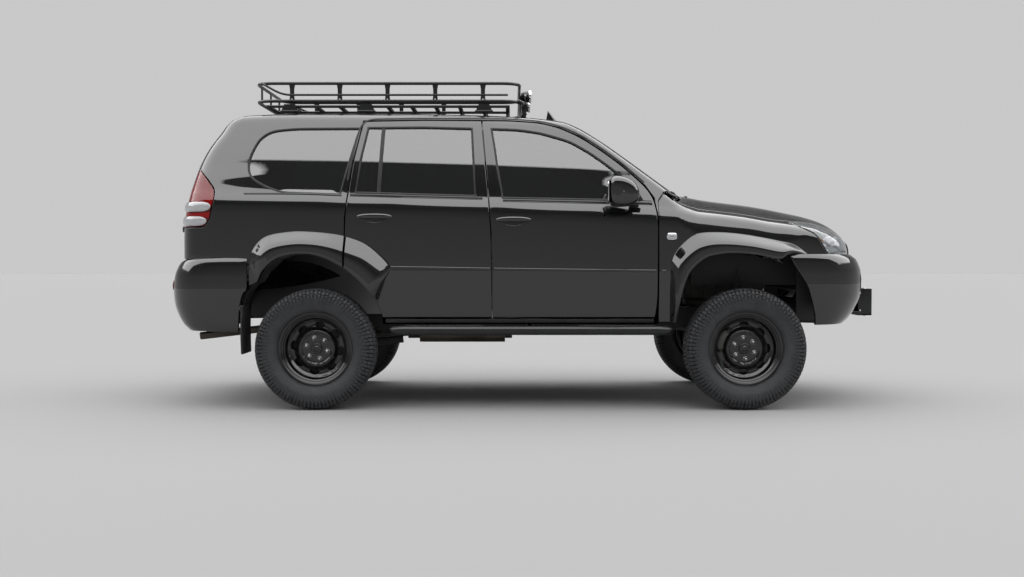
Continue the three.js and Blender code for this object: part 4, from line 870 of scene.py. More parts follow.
def closed_parts(*parts):
    """Joins outline stretches into one closed outline, each resampled along its run."""
    rows = []
    for part in parts:
        part = np.asarray(part, float)
        for a, b in zip(part[:-1], part[1:]):
            count = max(1, math.ceil(np.linalg.norm(b - a) / 18))
            rows += [a + (b - a) * i / count for i in range(count)]
        rows.append(part[-1])
    kept = [rows[0]]
    for row in rows[1:]:
        if np.linalg.norm(row - kept[-1]) > 1.5:
            kept.append(row)
    if np.linalg.norm(kept[0] - kept[-1]) < 1.5:
        kept.pop()
    return np.array(kept)


def curved(rows, count):
    """A smooth run through rows, by Catmull-Rom."""
    rows = np.asarray(rows, float)
    ends = np.vstack([2 * rows[0] - rows[1], rows, 2 * rows[-1] - rows[-2]])
    made = []
    spans = len(rows) - 1
    for t in np.linspace(0, spans, count):
        i = min(int(t), spans - 1)
        f = t - i
        a, b, c, d = ends[i:i + 4]
        made.append(0.5 * (2 * b + (c - a) * f + (2 * a - 5 * b + 4 * c - d) * f * f
                           + (3 * b - a - 3 * c + d) * f ** 3))
    return np.array(made)


def inner_part(node, field, trim=None, sink=2.5):
    """The frame solid without its outer faces, kept just under the finished skin."""
    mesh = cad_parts[node].data
    points = vectors(mesh.vertices, "co") / SCALE
    normals = vectors(mesh.polygons, "normal")
    faces = [list(p.vertices) for p in mesh.polygons]
    _, first, inverse = np.unique(np.round(points, 1), axis=0, return_index=True,
                                  return_inverse=True)
    inverse = inverse.reshape(-1)
    points = points[first]
    faces = [[int(inverse[i]) for i in face] for face in faces]
    value = field(points)
    grad = normals_of(field, points)
    keep, slots = [], []
    for face, normal in zip(faces, normals):
        if len(set(face)) < 3:
            continue
        outer = all(value[i] > -7 for i in face) and grad[face].mean(0) @ normal > 0.7
        if outer:
            continue
        keep.append(face)
        centre = points[face].mean(0)
        depth = value[face].mean()
        slots.append(1 if trim is not None and trim(centre, normal, depth) else 0)
    over = np.clip(value + sink, 0, None)
    points = points - grad * over[:, None]
    vertex = np.zeros_like(points)
    for face, normal in zip(faces, normals):
        for i in face:
            vertex[i] += normal
    vertex /= np.maximum(np.linalg.norm(vertex, axis=1), 1e-6)[:, None]
    points = points - vertex * 0.5
    used = sorted({i for face in keep for i in face})
    number = {old: new for new, old in enumerate(used)}
    shape = Shape()
    shape.add(points[used], [[number[i] for i in face] for face in keep])
    shape.slots = slots
    return shape


def cabin_trim(centre, normal, depth):
    """Faces that line the cabin: deep under the skin and turned inwards."""
    inward = normal[1] * np.sign(centre[1]) < -0.3 or normal[2] < -0.5
    return depth < -20 and (inward or abs(normal[0]) > 0.6) and centre[2] > 640


def door_trim(centre, normal, depth):
    """Faces of a side door's lining."""
    return depth < -40 and normal[1] * np.sign(centre[1]) < -0.5


def on_both(make, *args):
    """Runs a maker for the left side and for its mirror image."""
    for side in SIDES:
        make(side, *args)


def sided(shape, side):
    """A shape drawn for the left, or its mirror image."""
    return shape if side == "left" else shape.mirrored()


# ---------------------------------------------------------------- body shell
def flare_rows(wing, first, last, count):
    """A wing table's rows between two of its stations, and the stations they stand at."""
    rows = curved(wing, (len(wing) - 1) * 12 + 1)
    at = np.linspace(first * 12, last * 12, count)
    low = np.clip(np.floor(at).astype(int), 0, len(rows) - 2)
    share = (at - low)[:, None]
    return rows[low] * (1 - share) + rows[low + 1] * share, at / 12


FLARE_SWELL = Curve([
    [0, 0], [0.05, 0.03], [0.12, 0.16], [0.5, 0.86], [0.6, 0.96], [0.7, 1], [0.95, 1], [1, 0.985],
])


def flare(wing, first, last, field, count):
    """The bulge over a wheel, from its outer line to the arch's lip and back under it."""
    rows, at = flare_rows(wing, first, last, count)
    ends = np.minimum(at, len(wing) - 1 - at)
    fade = smoothstep(-0.5, 1.6, ends)
    place = side_map(field)
    shares = np.concatenate([np.linspace(0, 0.3, 10), np.linspace(0.3, 1, 12)[1:]])
    grid = []
    for share in shares:
        xz = rows[:, 2:] + (rows[:, :2] - rows[:, 2:]) * share
        base = place(xz, 0.0)
        base[:, 1] += (FLARE_REACH - base[:, 1]) * FLARE_SWELL(share) * fade - 1.5 * (1 - share)
        grid.append(base)
    inward = unit(rows_of(-np.gradient(rows[:, 1]), np.gradient(rows[:, 0])))
    lip = grid[-1]
    for drop, depth in ((3.0, 1.5), (4.5, 6.0), (5.0, 18.0), (2.0, 46.0)):
        ring = lip.copy()
        ring[:, 0] -= inward[:, 0] * (5.0 - drop) * 0.4
        ring[:, 1] -= depth
        ring[:, 2] -= inward[:, 1] * (5.0 - drop) * 0.4
        grid.append(ring)
    return loft(Shape(), grid)


def side_outline():
    """The body side as one run of [u, z]: door edge, pillar, roof line, tail and rear arch."""
    top = [row for row in FRONT_DOOR[3:12]] + [row for row in REAR_DOOR[5:12]]
    doors = closed_parts(top + [[-960, 596], [806, 596]])
    edge = grown(doors, DOOR_GAP)
    last = np.argmin(np.linalg.norm(edge - [-1210, 921], axis=1))
    first = np.argmin(np.linalg.norm(edge - [829, 1230], axis=1))
    door_edge = edge[first:last + 1][::-1]
    pillar_z = np.linspace(1420, 1882, 44)
    pillar = rows_of(screen_crease(pillar_z), pillar_z)
    u = np.concatenate([np.linspace(pillar[-1, 0] - 12, REAR_CORNER.x, 110),
                        np.linspace(REAR_CORNER.x, TAIL_MIDDLE, 60)[1:]])
    roof = rows_of(u, roof_crease(u))
    gate = gate_edge()
    lamp = on_side(curved(LAMP_EDGE, 24)[::-1])
    high, low = LAMP_TOP + 4, LAMP_FOOT - 4
    upper = gate[gate[:, 1] > high]
    lower = gate[gate[:, 1] < low - 1]
    lamp_top = [[upper[-1, 0], high], [lamp[0, 0] - 3, high]]
    lamp_low = [[lamp[-1, 0] - 2, low], [lower[0, 0], low]]
    bumper = on_side([[-1826, 974], [-1826, 800]])
    arch = np.array([[-1802, 812]] + REAR_WING[:7, :2].tolist())
    parts = [door_edge, [[829, 1232], [829, 1352], [868, 1414]], pillar, roof,
             upper, lamp_top, lamp + [3, 0], lamp_low, lower,
             [[lower[-1, 0], 974], [-2300, 974]], bumper, arch]
    return closed_parts(*parts)


def gate_edge():
    """The body's edge round half the rear door, from the top middle down, as [u, z]."""
    rows = grown(smoothed(TAILGATE, 18), DOOR_GAP + 1)
    rows = rows[rows[:, 0] > 0]
    order = np.argsort(np.arctan2(rows[:, 1] - 1400, rows[:, 0]))[::-1]
    return on_tail(rows[order])


def body_shell():
    """Sides with their flares, the roof and the screen's frame over the frame's inner faces."""
    outline = side_outline()
    roof = roof_crease(outline[:, 0])
    weld = (outline[:, 1] > roof - 2.5) | (outline[:, 0] < TAIL_MIDDLE + 3)
    crease = np.abs(outline[:, 0] - screen_crease(outline[:, 1])) < 2.0
    weld |= crease & (outline[:, 1] > SCREEN_FOOT) & (outline[:, 1] < 1900)
    skin = welded_panel(REAR_CORNER, outline, [window_hole(QUARTER_WINDOW)], weld, cabin_field,
                        True)
    skin.join(flare(REAR_WING, 0, 5.93, side_field, 90))
    shape = Shape().join(skin).join(skin.mirrored())
    shape.join(roof_panel(outline[outline[:, 1] > roof - 2.5]))
    shape.join(screen_frame())
    shape.join(inner_part("body_shell", cabin_field, cabin_trim))
    build("body_shell_finished", shape, [PAINT, INTERIOR], "body", ["body_shell"], "paint")


# Above this height the pillars and the screen's frame meet without a gap.
SCREEN_FOOT = 1421


def window_hole(opening, step=14):
    """A window's opening in its panel, a little wider than the glass."""
    return grown(smoothed(opening, step), 1.5)


def welded_panel(place, outline, holes, weld, field, flip, spacing=24.0):
    """A panel whose flagged outline points meet a neighbour without a hem."""
    return panel(place, outline, holes, 12.0, spacing, 4.0, field, flip, inner=False, weld=weld)


def roof_panel(weld_points):
    """The roof's top, out to the line where it meets the sides, tail and screen."""
    border = REAR_CORNER(weld_points, 0.0)
    border = border[border[:, 2] > 1840]
    along = border[np.argsort(REAR_CORNER.unrolled(border)[:, 0])[::-1]]
    front = roof_front(along[0])
    half = np.vstack([front, along[:, :2]])
    other = half[::-1] * [1, -1]
    outline = closed_parts(np.vstack([half, other]))
    weld = np.ones(len(outline), bool)
    return welded_panel(top_map(cabin_field, 1500), outline, [], weld, cabin_field, False, 34.0)


def roof_front(corner):
    """Where the roof meets the windscreen's surface, from the middle to the pillar."""
    ys = np.linspace(0, corner[1], 30)
    z = np.full(30, 1890.0)
    for _ in range(20):
        x = screen_at(ys, z)
        z = roof_at(x, ys)
    return rows_of(x, ys)


def screen_frame():
    """Pillars, header and scuttle round the windscreen."""
    z = np.linspace(1384, 1880, 44)
    x = screen_crease(z)
    y = hit(cabin_field, rows_of(x, 200, z), rows_of(x, 1100, z))[:, 1]
    ys = np.linspace(y[-1], 0, 26)
    top = np.full(26, 1890.0)
    for _ in range(20):
        top = roof_at(screen_at(ys, top), ys)
    half = np.vstack([rows_of(y, z), rows_of(ys, top)])
    outline = closed_parts(np.vstack([half, (half * [-1, 1])[::-1]]))
    weld = outline[:, 1] > SCREEN_FOOT
    hole = window_hole(SCREEN_OPENING, 16)
    return welded_panel(SCREEN_MAP, outline, [hole], weld, cabin_field, False, 26.0)


# ---------------------------------------------------------------- plain forms
def lathe(profile, segments=72, slot=0):
    """Turns a profile of [radius, y] about the Y direction."""
    turn = full_turn(segments)
    rings = [rows_of(radius * np.sin(turn), y, radius * np.cos(turn)) for radius, y in profile]
    return strip(Shape(), rings, slot=slot)


def rounded_path(corners, radius, steps=8, closed=False):
    """A path through corners with each corner turned into an arc."""
    corners = [np.array(c, float) for c in corners]
    n = len(corners)
    path = []
    for i, corner in enumerate(corners):
        if not closed and i in (0, n - 1):
            path.append(corner)
            continue
        before, after = corners[i - 1], corners[(i + 1) % n]
        a, b = before - corner, after - corner
        reach = min(radius, np.linalg.norm(a) * 0.49, np.linalg.norm(b) * 0.49)
        p = corner + a / np.linalg.norm(a) * reach
        q = corner + b / np.linalg.norm(b) * reach
        for t in np.linspace(0, 1, steps):
            path.append((1 - t) ** 2 * p + 2 * t * (1 - t) * corner + t * t * q)
    return np.array(path)


def tube(path, radius, segments=16, closed=False, slot=0):
    """A round bar along a path. The radius may change along it."""
    path = np.asarray(path, float)
    n = len(path)
    radii = np.broadcast_to(np.asarray(radius, float), (n,))
    ahead = np.roll(path, -1, 0) - path
    if not closed:
        ahead[-1] = ahead[-2]
    ahead = unit(ahead)
    way = ahead + np.roll(ahead, 1, 0)
    if not closed:
        way[0] = ahead[0]
    way = unit(way)
    side = np.cross(way[0], [0, 0, 1] if abs(way[0][2]) < 0.9 else [1, 0, 0])
    turn = full_turn(segments)
    rings = []
    for point, along, size in zip(path, way, radii):
        side = side - along * (side @ along)
        side /= np.linalg.norm(side)
        up = np.cross(along, side)
        rings.append(point + size * (np.cos(turn)[:, None] * side + np.sin(turn)[:, None] * up))
    if closed:
        rings.append(rings[0])
    else:
        first = [path[0] + (rings[0] - path[0]) * k - way[0] * d * radii[0]
                 for k, d in ((0.02, 0.3), (0.6, 0.25), (0.9, 0.1))]
        last = [path[-1] + (rings[-1] - path[-1]) * k + way[-1] * d * radii[-1]
                for k, d in ((0.9, 0.1), (0.6, 0.25), (0.02, 0.3))]
        rings = first + rings + last
    return strip(Shape(), rings, slot=slot)


def rod(start, end, radius, segments=20, slot=0):
    """A straight round bar."""
    return tube([start, end], radius, segments, slot=slot)


def slab(outline, low, high, edge=3.0, axis="z", slot=0):
    """A plate with rounded rims: an outline drawn across an axis, from low to high."""
    rows = np.asarray(outline, float)
    if area_of(rows) < 0:
        rows = rows[::-1]
    levels = [(low, -edge), (low + edge * 0.3, -edge * 0.3), (low + edge, 0),
              (high - edge, 0), (high - edge * 0.3, -edge * 0.3), (high, -edge)]
    n = len(rows)
    put = {"z": lambda uv, w: rows_of(*uv.T, w),
           "y": lambda uv, w: rows_of(uv[:, 0], w, uv[:, 1]),
           "x": lambda uv, w: rows_of(w, *uv.T)}[axis]
    rings = [put(grown(rows, offset), w) for w, offset in levels]
    made = strip(Shape(), rings, slot=slot, flip=axis == "y")
    last = len(levels) * n - n
    bottom = list(range(n))
    top = [last + i for i in range(n)]
    if axis != "y":
        bottom.reverse()
    else:
        top.reverse()
    made.faces += [bottom, top]
    made.slots += [slot, slot]
    return made


def block(x0, x1, y0, y1, z0, z1, edge=3.0, slot=0):
    """A box with rounded edges."""
    edge = min(edge, (x1 - x0) / 2.2, (y1 - y0) / 2.2, (z1 - z0) / 2.2)
    corners = rounded_rectangle(x0, x1, y0, y1, edge)
    return slab(corners, z0, z1, edge, "z", slot)


def rounded_rectangle(x0, x1, y0, y1, radius, steps=4):
    """Outline of a rectangle with round corners."""
    rows = []
    for cx, cy, start in ((x1 - radius, y1 - radius, 0), (x0 + radius, y1 - radius, 90),
                          (x0 + radius, y0 + radius, 180), (x1 - radius, y0 + radius, 270)):
        for a in np.radians(np.linspace(start, start + 90, steps)):
            rows.append([cx + radius * math.cos(a), cy + radius * math.sin(a)])
    return np.array(rows)


def ball(centre, size, rows=18, columns=28, slot=0):
    """An ellipsoid, from its three half sizes."""
    rings = []
    turn = full_turn(columns)
    for a in np.linspace(-math.pi / 2 + 0.02, math.pi / 2 - 0.02, rows):
        ring = rows_of(np.cos(a) * np.cos(turn), np.cos(a) * np.sin(turn), np.sin(a))
        rings.append(ring * size + centre)
    return strip(Shape(), rings, slot=slot)


def follow(points, field, proud, width, slot=0):
    """A flat-backed moulding along surface points, with a rounded face."""
    normals = normals_of(field, points)
    across = np.cross(normals, unit(np.gradient(points, axis=0)))
    section = [(-0.5, -1.0), (-0.5, 0.55), (-0.36, 0.9), (0, 1.0), (0.36, 0.9), (0.5, 0.55),
               (0.5, -1.0)]
    rings = [points + across * (width * a) + normals * (proud * b) for a, b in section]
    columns = [np.array([ring[i] for ring in rings]) for i in range(len(points))]
    first, last = columns[0].mean(0), columns[-1].mean(0)
    columns = [columns[0] * 0.02 + first * 0.98] + columns + [columns[-1] * 0.02 + last * 0.98]
    return strip(Shape(), columns, closed=False, slot=slot)


def rims(place, rows, steps, slot=0, flip=False):
    """A surface in rings round an outline. A step is how far a ring is grown, and its depth."""
    return strip(Shape(), [place(grown(rows, g), d) for g, d in steps], slot=slot, flip=flip)


# ---------------------------------------------------------------- doors, wings, bonnet, rear door
def mirrored_outline(half):
    """A closed outline from the half with positive second coordinate, given as [x, y]."""
    half = [list(row) for row in half]
    return half + [[x, -y] for x, y in half[::-1] if y > 0]


def door(side, name, outline, opening, extra=None):
    """A door's skin with its window opening, over the inner faces of the frame's door."""
    shape = panel(SIDE_MAP, smoothed(outline, 16), [window_hole(opening)], SKIN, 24, 4.5,
                  side_field, True)
    if extra:
        shape.join(extra)
    shape.join(inner_part(f"{name}_left", side_field, door_trim))
    build(f"{name}_{side}_finished", sided(shape, side), [PAINT, INTERIOR], f"{name}_{side}",
          [f"{name}_{side}"], "paint")


def wing_top(xs):
    """The wing's edge beside the bonnet at some x."""
    return BONNET_MAP(rows_of(xs, BONNET_SIDE), 0.0)


def wing_outline():
    """The wing as [x, w] for the slant map: door gap, bonnet gap, lamp, bumper and arch."""
    xs = np.linspace(830, 1690, 60)
    top = wing_top(xs)[:, [0, 2]]
    lamp = curved([[x - 3.5, z - 3.5] for x, z in HEADLAMP_LOW], 30)
    arch = curved(FRONT_WING[:, :2], 70)[::-1]
    top = top[top[:, 0] > 878]
    rows = closed_parts([[830, 562], [830, 1346], [874, 1411]], top, lamp,
                        [[1940, 1001], [1722, 1001]], arch, [[940, 562], [830, 562]])
    points = WING_MAP(rows, 0.0)
    edge = wing_top(rows[:, 0])
    above = rows[:, 1] > edge[:, 2] - 3
    points[above] = edge[above]
    return rows_of(points[:, 0], (points[:, 1] - points[:, 2]) / math.sqrt(2))


def front_wing(side):
    """The wing's skin from the door to the lamp, with its flare."""
    shape = panel(slant_map(front_field), wing_outline(), [], SKIN, 22, 4, front_field, False)
    shape.join(flare(FRONT_WING, 0, 10, front_field, 140))
    shape.join(inner_part("front_wing_left", front_field))
    build(f"front_wing_{side}_finished", sided(shape, side), [PAINT], "body",
          [f"front_wing_{side}"], "paint")


def bonnet():
    """The bonnet's skin over the frame's inner faces."""
    outline = smoothed(mirrored_outline(BONNET_PLAN), 18)
    shape = panel(BONNET_MAP, outline, [], SKIN, 26, 4.5, front_field)
    shape.join(inner_part("bonnet", front_field))
    build("bonnet_finished", shape, [PAINT], "bonnet", ["bonnet"], "paint")


def rear_door():
    """The rear door's skin with its window opening."""
    shape = panel(TAIL_MAP, smoothed(TAILGATE, 16), [window_hole(TAIL_WINDOW)], SKIN, 26, 4.5,
                  cabin_field, True)
    shape.join(inner_part("rear_door", cabin_field, gate_trim))
    build("rear_door_finished", shape, [PAINT, INTERIOR], "rear_door", ["rear_door"], "paint")


def gate_trim(centre, normal, depth):
    """Faces of the rear door's lining."""
    return depth < -40 and normal[0] > 0.5


# ---------------------------------------------------------------- glass and its seals
def pane(place, opening, field, flip, depth=8.0, thick=5.0, inset=1.0):
    """A curved glass at a depth under the skin."""
    outline = grown(smoothed(opening, 14), -inset)
    return panel(place, outline, [], depth + thick, 30, 1.0, field, flip, start=depth)


def seal(place, opening, flip, sink=7.5):
    """A rubber profile round a window, from just outside its edge to the pane."""
    outer, inner, proud = 3.0, -9.0, 1.2
    rows = smoothed(opening, 14)
    section = [
        (outer, 0.5), (outer, -proud), ((outer * 0.6 + inner * 0.4), -proud - 0.8),
        (inner * 0.6, -proud + 0.6), (inner * 0.9, 2.5), (inner, sink), (inner + 3, sink + 1.5),
    ]
    return rims(place, rows, section, flip=(area_of(rows) > 0) == flip)


def windows():
    """Every glass with the seal round it."""
    for side in SIDES:
        for name, opening, body in (
                ("glass_front", FRONT_WINDOW, f"door_front_{side}"),
                ("glass_rear", REAR_WINDOW, f"door_rear_{side}"),
                ("glass_quarter", QUARTER_WINDOW, "body")):
            shape = pane(SIDE_MAP, opening, side_field, True)
            build(f"{name}_{side}_finished", sided(shape, side), [TINT], body,
                  [f"{name}_{side}"], "glass")
            ring = seal(SIDE_MAP, opening, True)
            build(f"{name}_{side}_seal", sided(ring, side), [SEAL], body)
    shape = pane(TAIL_MAP, TAIL_WINDOW, cabin_field, True, 18.0)
    build("rear_door_glass_finished", shape, [TINT], "rear_door", ["rear_door_glass"], "glass")
    build("rear_door_glass_seal", seal(TAIL_MAP, TAIL_WINDOW, True, sink=17.5), [SEAL],
          "rear_door")
    shape = pane(SCREEN_MAP, SCREEN_OPENING, cabin_field, False, 6.0, 6.0)
    build("windscreen_finished", shape, [SCREEN], "body", ["windscreen"], "windscreen")
    build("windscreen_seal", seal(SCREEN_MAP, SCREEN_OPENING, False, sink=6.0), [SEAL], "body")


# ---------------------------------------------------------------- wheels
CARCASS = [
    [241, 70], [245, 88], [256, 103], [272, 114], [292, 122], [312, 126], [332, 126.5],
    [350, 122.5], [364, 114], [374, 103], [380, 88], [382.5, 60], [383.5, 30], [384, 0],
]
PITCHES = 46
SHADED_GROOVE_RADIUS = 337


class Sidewall:
    """The carcass line from the crown to the bead by its length, with outward normals."""

    def __init__(self):
        line = curved(CARCASS[::-1], 200)
        length = np.concatenate([[0], np.cumsum(np.linalg.norm(np.diff(line, axis=0), axis=1))])
        slope = unit(np.gradient(line, axis=0))
        self.length, self.line = length, line
        self.normal = rows_of(slope[:, 1], -slope[:, 0])

    def at(self, s, height):
        """Radius and y at a signed length from the crown and a height over the carcass."""
        side = -1 if s < 0 else 1
        radius = np.interp(abs(s), self.length, self.line[:, 0])
        y = np.interp(abs(s), self.length, self.line[:, 1])
        out_r = np.interp(abs(s), self.length, self.normal[:, 0])
        out_y = np.interp(abs(s), self.length, self.normal[:, 1])
        return radius + out_r * height, side * (y + out_y * height)


SIDEWALL = Sidewall()


def tread_block(shape, s0, s1, left, right, height, rounded):
    """One rubber block between two lengths; left and right give its sides as arc lengths."""
    bevel = 1.3 if s1 > s0 else -1.3
    stations = [(s0, 0.0, -1.6), (s0 + bevel, 0.0, 0.0), (s1 - bevel, 1.0, 0.0), (s1, 1.0, -1.6)]
    base = len(shape.points)
    for s, t, drop in stations:
        a = left[0] + (left[1] - left[0]) * t
        b = right[0] + (right[1] - right[0]) * t
        top = height[0] + (height[1] - height[0]) * t
        if rounded:
            section = [(a - 0.6, -1.0), (a, top - 1.4 + drop), (a + 1.3, top + drop)]
            section += [(b - 1.3, top + drop), (b, top - 1.4 + drop), (b + 0.6, -1.0)]
        else:
            section = [(a - 0.6, -1.0), (a + 0.5, top + drop)]
            section += [(b - 0.5, top + drop), (b + 0.6, -1.0)]
        for arc, rise in section:
            radius, y = SIDEWALL.at(s, rise)
            turn = arc / TYRE_RADIUS
            shape.points.append([radius * math.sin(turn), y, radius * math.cos(turn)])
            shape.normals.append([0.0, 0.0, 0.0])
    flip = s1 < s0
    wide = len(section)
    for r in range(len(stations) - 1):
        for i in range(wide - 1):
            first = base + r * wide + i
            quad = [first, first + 1, first + wide + 1, first + wide]
            shape.faces.append(quad if flip else quad[::-1])
            shape.slots.append(0)
    for r, turned in ((0, True), (len(stations) - 1, False)):
        cap = [base + r * wide + i for i in range(wide)]
        shape.faces.append(cap if turned == flip else cap[::-1])
        shape.slots.append(0)


# Tread blocks: lengths from the crown, then the left and right sides as shares of the pitch.
TREAD_ROWS = [
    # s0, s1, left at s0, left at s1, right at s0, right at s1, height at s0, height at s1
    [-20, 2, -0.44, -0.28, -0.05, 0.07, 8, 8],
    [-2, 20, 0.06, 0.18, 0.43, 0.55, 8, 8],
    [26, 46, -0.38, -0.26, -0.01, 0.09, 8, 8],
    [26, 46, 0.10, 0.20, 0.43, 0.53, 8, 8],
    [51, 72, -0.25, -0.10, 0.10, 0.24, 8, 8],
    [51, 72, 0.22, 0.36, 0.56, 0.70, 8, 8],
    [78, 103, -0.44, -0.36, -0.10, -0.02, 8.3, 8.3],
    [78, 103, 0.02, 0.11, 0.37, 0.45, 8.3, 8.3],
]
SHOULDER_ROWS = [
    [107, 132, -0.44, -0.42, -0.09, -0.08, 8.0, 8.2],
    [107, 126, 0.04, 0.05, 0.38, 0.37, 8.0, 8.4],
    [136, 160, -0.42, -0.38, -0.11, -0.16, 8.0, 7.0],
    [130, 148, 0.03, 0.08, 0.37, 0.35, 8.4, 7.6],
    [164, 190, -0.37, -0.30, -0.17, -0.20, 6.0, 3.4],
    [152, 176, 0.08, 0.13, 0.35, 0.31, 7.0, 4.6],
    [179, 205, 0.12, 0.15, 0.30, 0.26, 4.2, 2.2],
]


def tyre_shape():
    """Carcass with raised rings on its walls, and blocks at every pitch on both halves."""
    profile = []
    for s in np.concatenate([np.linspace(0, 120, 8), np.linspace(130, SIDEWALL.length[-1], 26)]):
        radius, y = SIDEWALL.at(s, 0)
        profile.append([radius, y])
    for ring, width in ((300, 1.6), (286, 1.2), (262, 1.8)):
        for row in profile:
            if row[1] > 90:
                row[1] += width * math.exp(-((row[0] - ring) / 3.2) ** 2)
    half = np.array(profile)
    inside = half[::-1] * [1, -1]
    whole = np.vstack([half[::-1], inside[::-1][1:]])
    shape = lathe(whole, 120)
    centres = np.array([np.mean([shape.points[i] for i in face], axis=0) for face in shape.faces])
    # Carcass faces beyond this radius lie between the tread blocks and get the painted groove
    # shade.
    shape.slots = [1 if math.hypot(x, z) > SHADED_GROOVE_RADIUS else 0 for x, _, z in centres]
    pitch = 2 * math.pi * TYRE_RADIUS / PITCHES
    for i in range(PITCHES):
        for side in (1, -1):
            shift = i * pitch + (0 if side > 0 else pitch / 2)
            for rows in (TREAD_ROWS[2:] if side < 0 else TREAD_ROWS, SHOULDER_ROWS):
                for s0, s1, la, lb, ra, rb, ha, hb in rows:
                    left = (shift + side * la * pitch, shift + side * lb * pitch)
                    right = (shift + side * ra * pitch, shift + side * rb * pitch)
                    if side < 0:
                        left, right = right, left
                    tread_block(shape, side * s0, side * s1, left, right, (ha, hb),
                                rows is SHOULDER_ROWS)
    return shape


DISC = Curve([
    [30, 7], [60, 7], [88, 7], [96, 9], [104, 15], [112, 16], [119, 13], [128, 3], [142, -8],
    [156, -12], [168, -11], [178, -6], [186, 1], [193, 6],
])
BARREL = [
    [190, 4], [195, 9], [197, 18], [198, 30], [199, 42], [203, 48], [208, 49], [210, 53],
    [211, 58], [215, 61], [220, 61.5], [222, 65], [224, 69], [228, 71], [232, 71.5], [235, 73.5],
    [239, 74.5], [242, 73], [243.5, 69], [242, 64], [236, 60], [226, 55], [216, 48], [210, 40],
    [208, 0], [206, -60], [212, -84], [236, -92], [238, -98], [232, -101], [204, -90], [190, -60],
    [188, -10], [188, -4],
]
VENTS, VENT_RADIUS, RIVET_RADIUS = 8, 155, 128
NUTS, NUT_RADIUS = 6, 69.85


def disc_map(uv, depth):
    """For outlines of [x, z] on the wheel disc's face."""
    radius = np.linalg.norm(uv, axis=1)
    return rows_of(uv[:, 0], DISC(radius) - depth, uv[:, 1])


def ring_outline(radius, count):
    """A circle about the wheel's middle."""
    turn = full_turn(count)
    return rows_of(radius * np.cos(turn), radius * np.sin(turn))


def rim_shape():
    """A pressed steel wheel: disc with eight oval vents, stepped barrel, cap and six nuts."""
    vents = []
    oval = ring_outline(1, 26) * [31, 17.5] + [0, VENT_RADIUS]
    for i in range(VENTS):
        turn = (i + 0.5) / VENTS * 2 * math.pi
        vents.append(oval @ np.array([[math.cos(turn), math.sin(turn)],
                                      [-math.sin(turn), math.cos(turn)]]))
    shape = panel(disc_map, ring_outline(193, 96), vents, 7, 9, 3.2, None, True)
    shape.join(lathe(BARREL, 96))
    shape.join(lathe([[0.5, 24], [10, 24], [14, 22.5], [16, 20], [19, 20], [21, 22], [31, 21],
                      [35, 18], [37, 12], [38, 6], [46, 5]], 48))
    for i in range(NUTS):
        turn = (i + 0.5) / NUTS * 2 * math.pi
        at = (NUT_RADIUS * math.sin(turn), 0, NUT_RADIUS * math.cos(turn))
        nut = lathe([[0.4, 27], [5, 26.6], [8.5, 25], [9.6, 22], [9.8, 10], [13.5, 8],
                     [14.5, 5]], 6, slot=1)
        shape.join(nut.moved(at))
        shape.join(lathe([[14, 8.4], [15.5, 8], [16, 5]], 20, slot=1).moved(at))
    for i in range(VENTS):
        turn = i / VENTS * 2 * math.pi
        at = (RIVET_RADIUS * math.sin(turn), 0, RIVET_RADIUS * math.cos(turn))
        shape.join(lathe([[0.3, 5.5], [3, 5], [4, 2], [4.2, 0]], 10).moved(at))
    return shape.join(rod([0, 14, -176], [0, 40, -180], 3.2, 10, slot=1))


WHEEL_TURN = {"front": 0.4, "rear": 1.3}
SPARE_AT = (-1800, 0, 702)


def wheels():
    """Four wheels turned a little differently, and the spare under the floor."""
    tyre, rim = tyre_shape(), rim_shape()
    for end, x in (("front", FRONT_AXLE), ("rear", REAR_AXLE)):
        for side in SIDES:
            name = f"{end}_{side}"
            for kind, made, mats, slot in (("tyre", tyre, [TYRE, GROOVE_SHADE], "tyre"),
                                           ("rim", rim, [RIM_PAINT, STEEL], "steel_rim")):
                one = Shape().join(made)
                one.turned((0, 1, 0), WHEEL_TURN[end])
                one.moved((x, HUB_Y, TYRE_RADIUS))
                build(f"{kind}_{name}_finished", sided(one, side), mats, f"wheel_{name}",
                      [f"{kind}_{name}"], slot, 42)
    spare = Shape().join(tyre).join(rim)
    spare.slots = tyre.slots + [slot + 2 for slot in rim.slots]
    spare.turned((1, 0, 0), -math.pi / 2).moved(SPARE_AT)
    build("spare_wheel_finished", spare, [TYRE, GROOVE_SHADE, RIM_PAINT, STEEL], "body", ["spare_wheel"],
          "tyre", 42)


def sector(outer, outer_turn, outer_count, inner, inner_turn, inner_count):
    """Part of a ring between two arcs, each given by radius, half angle and point count."""
    arcs = [(outer, a) for a in np.linspace(-outer_turn, outer_turn, outer_count)]
    arcs += [(inner, a) for a in np.linspace(inner_turn, -inner_turn, inner_count)]
    return [[r * math.sin(a), r * math.cos(a)] for r, a in arcs]


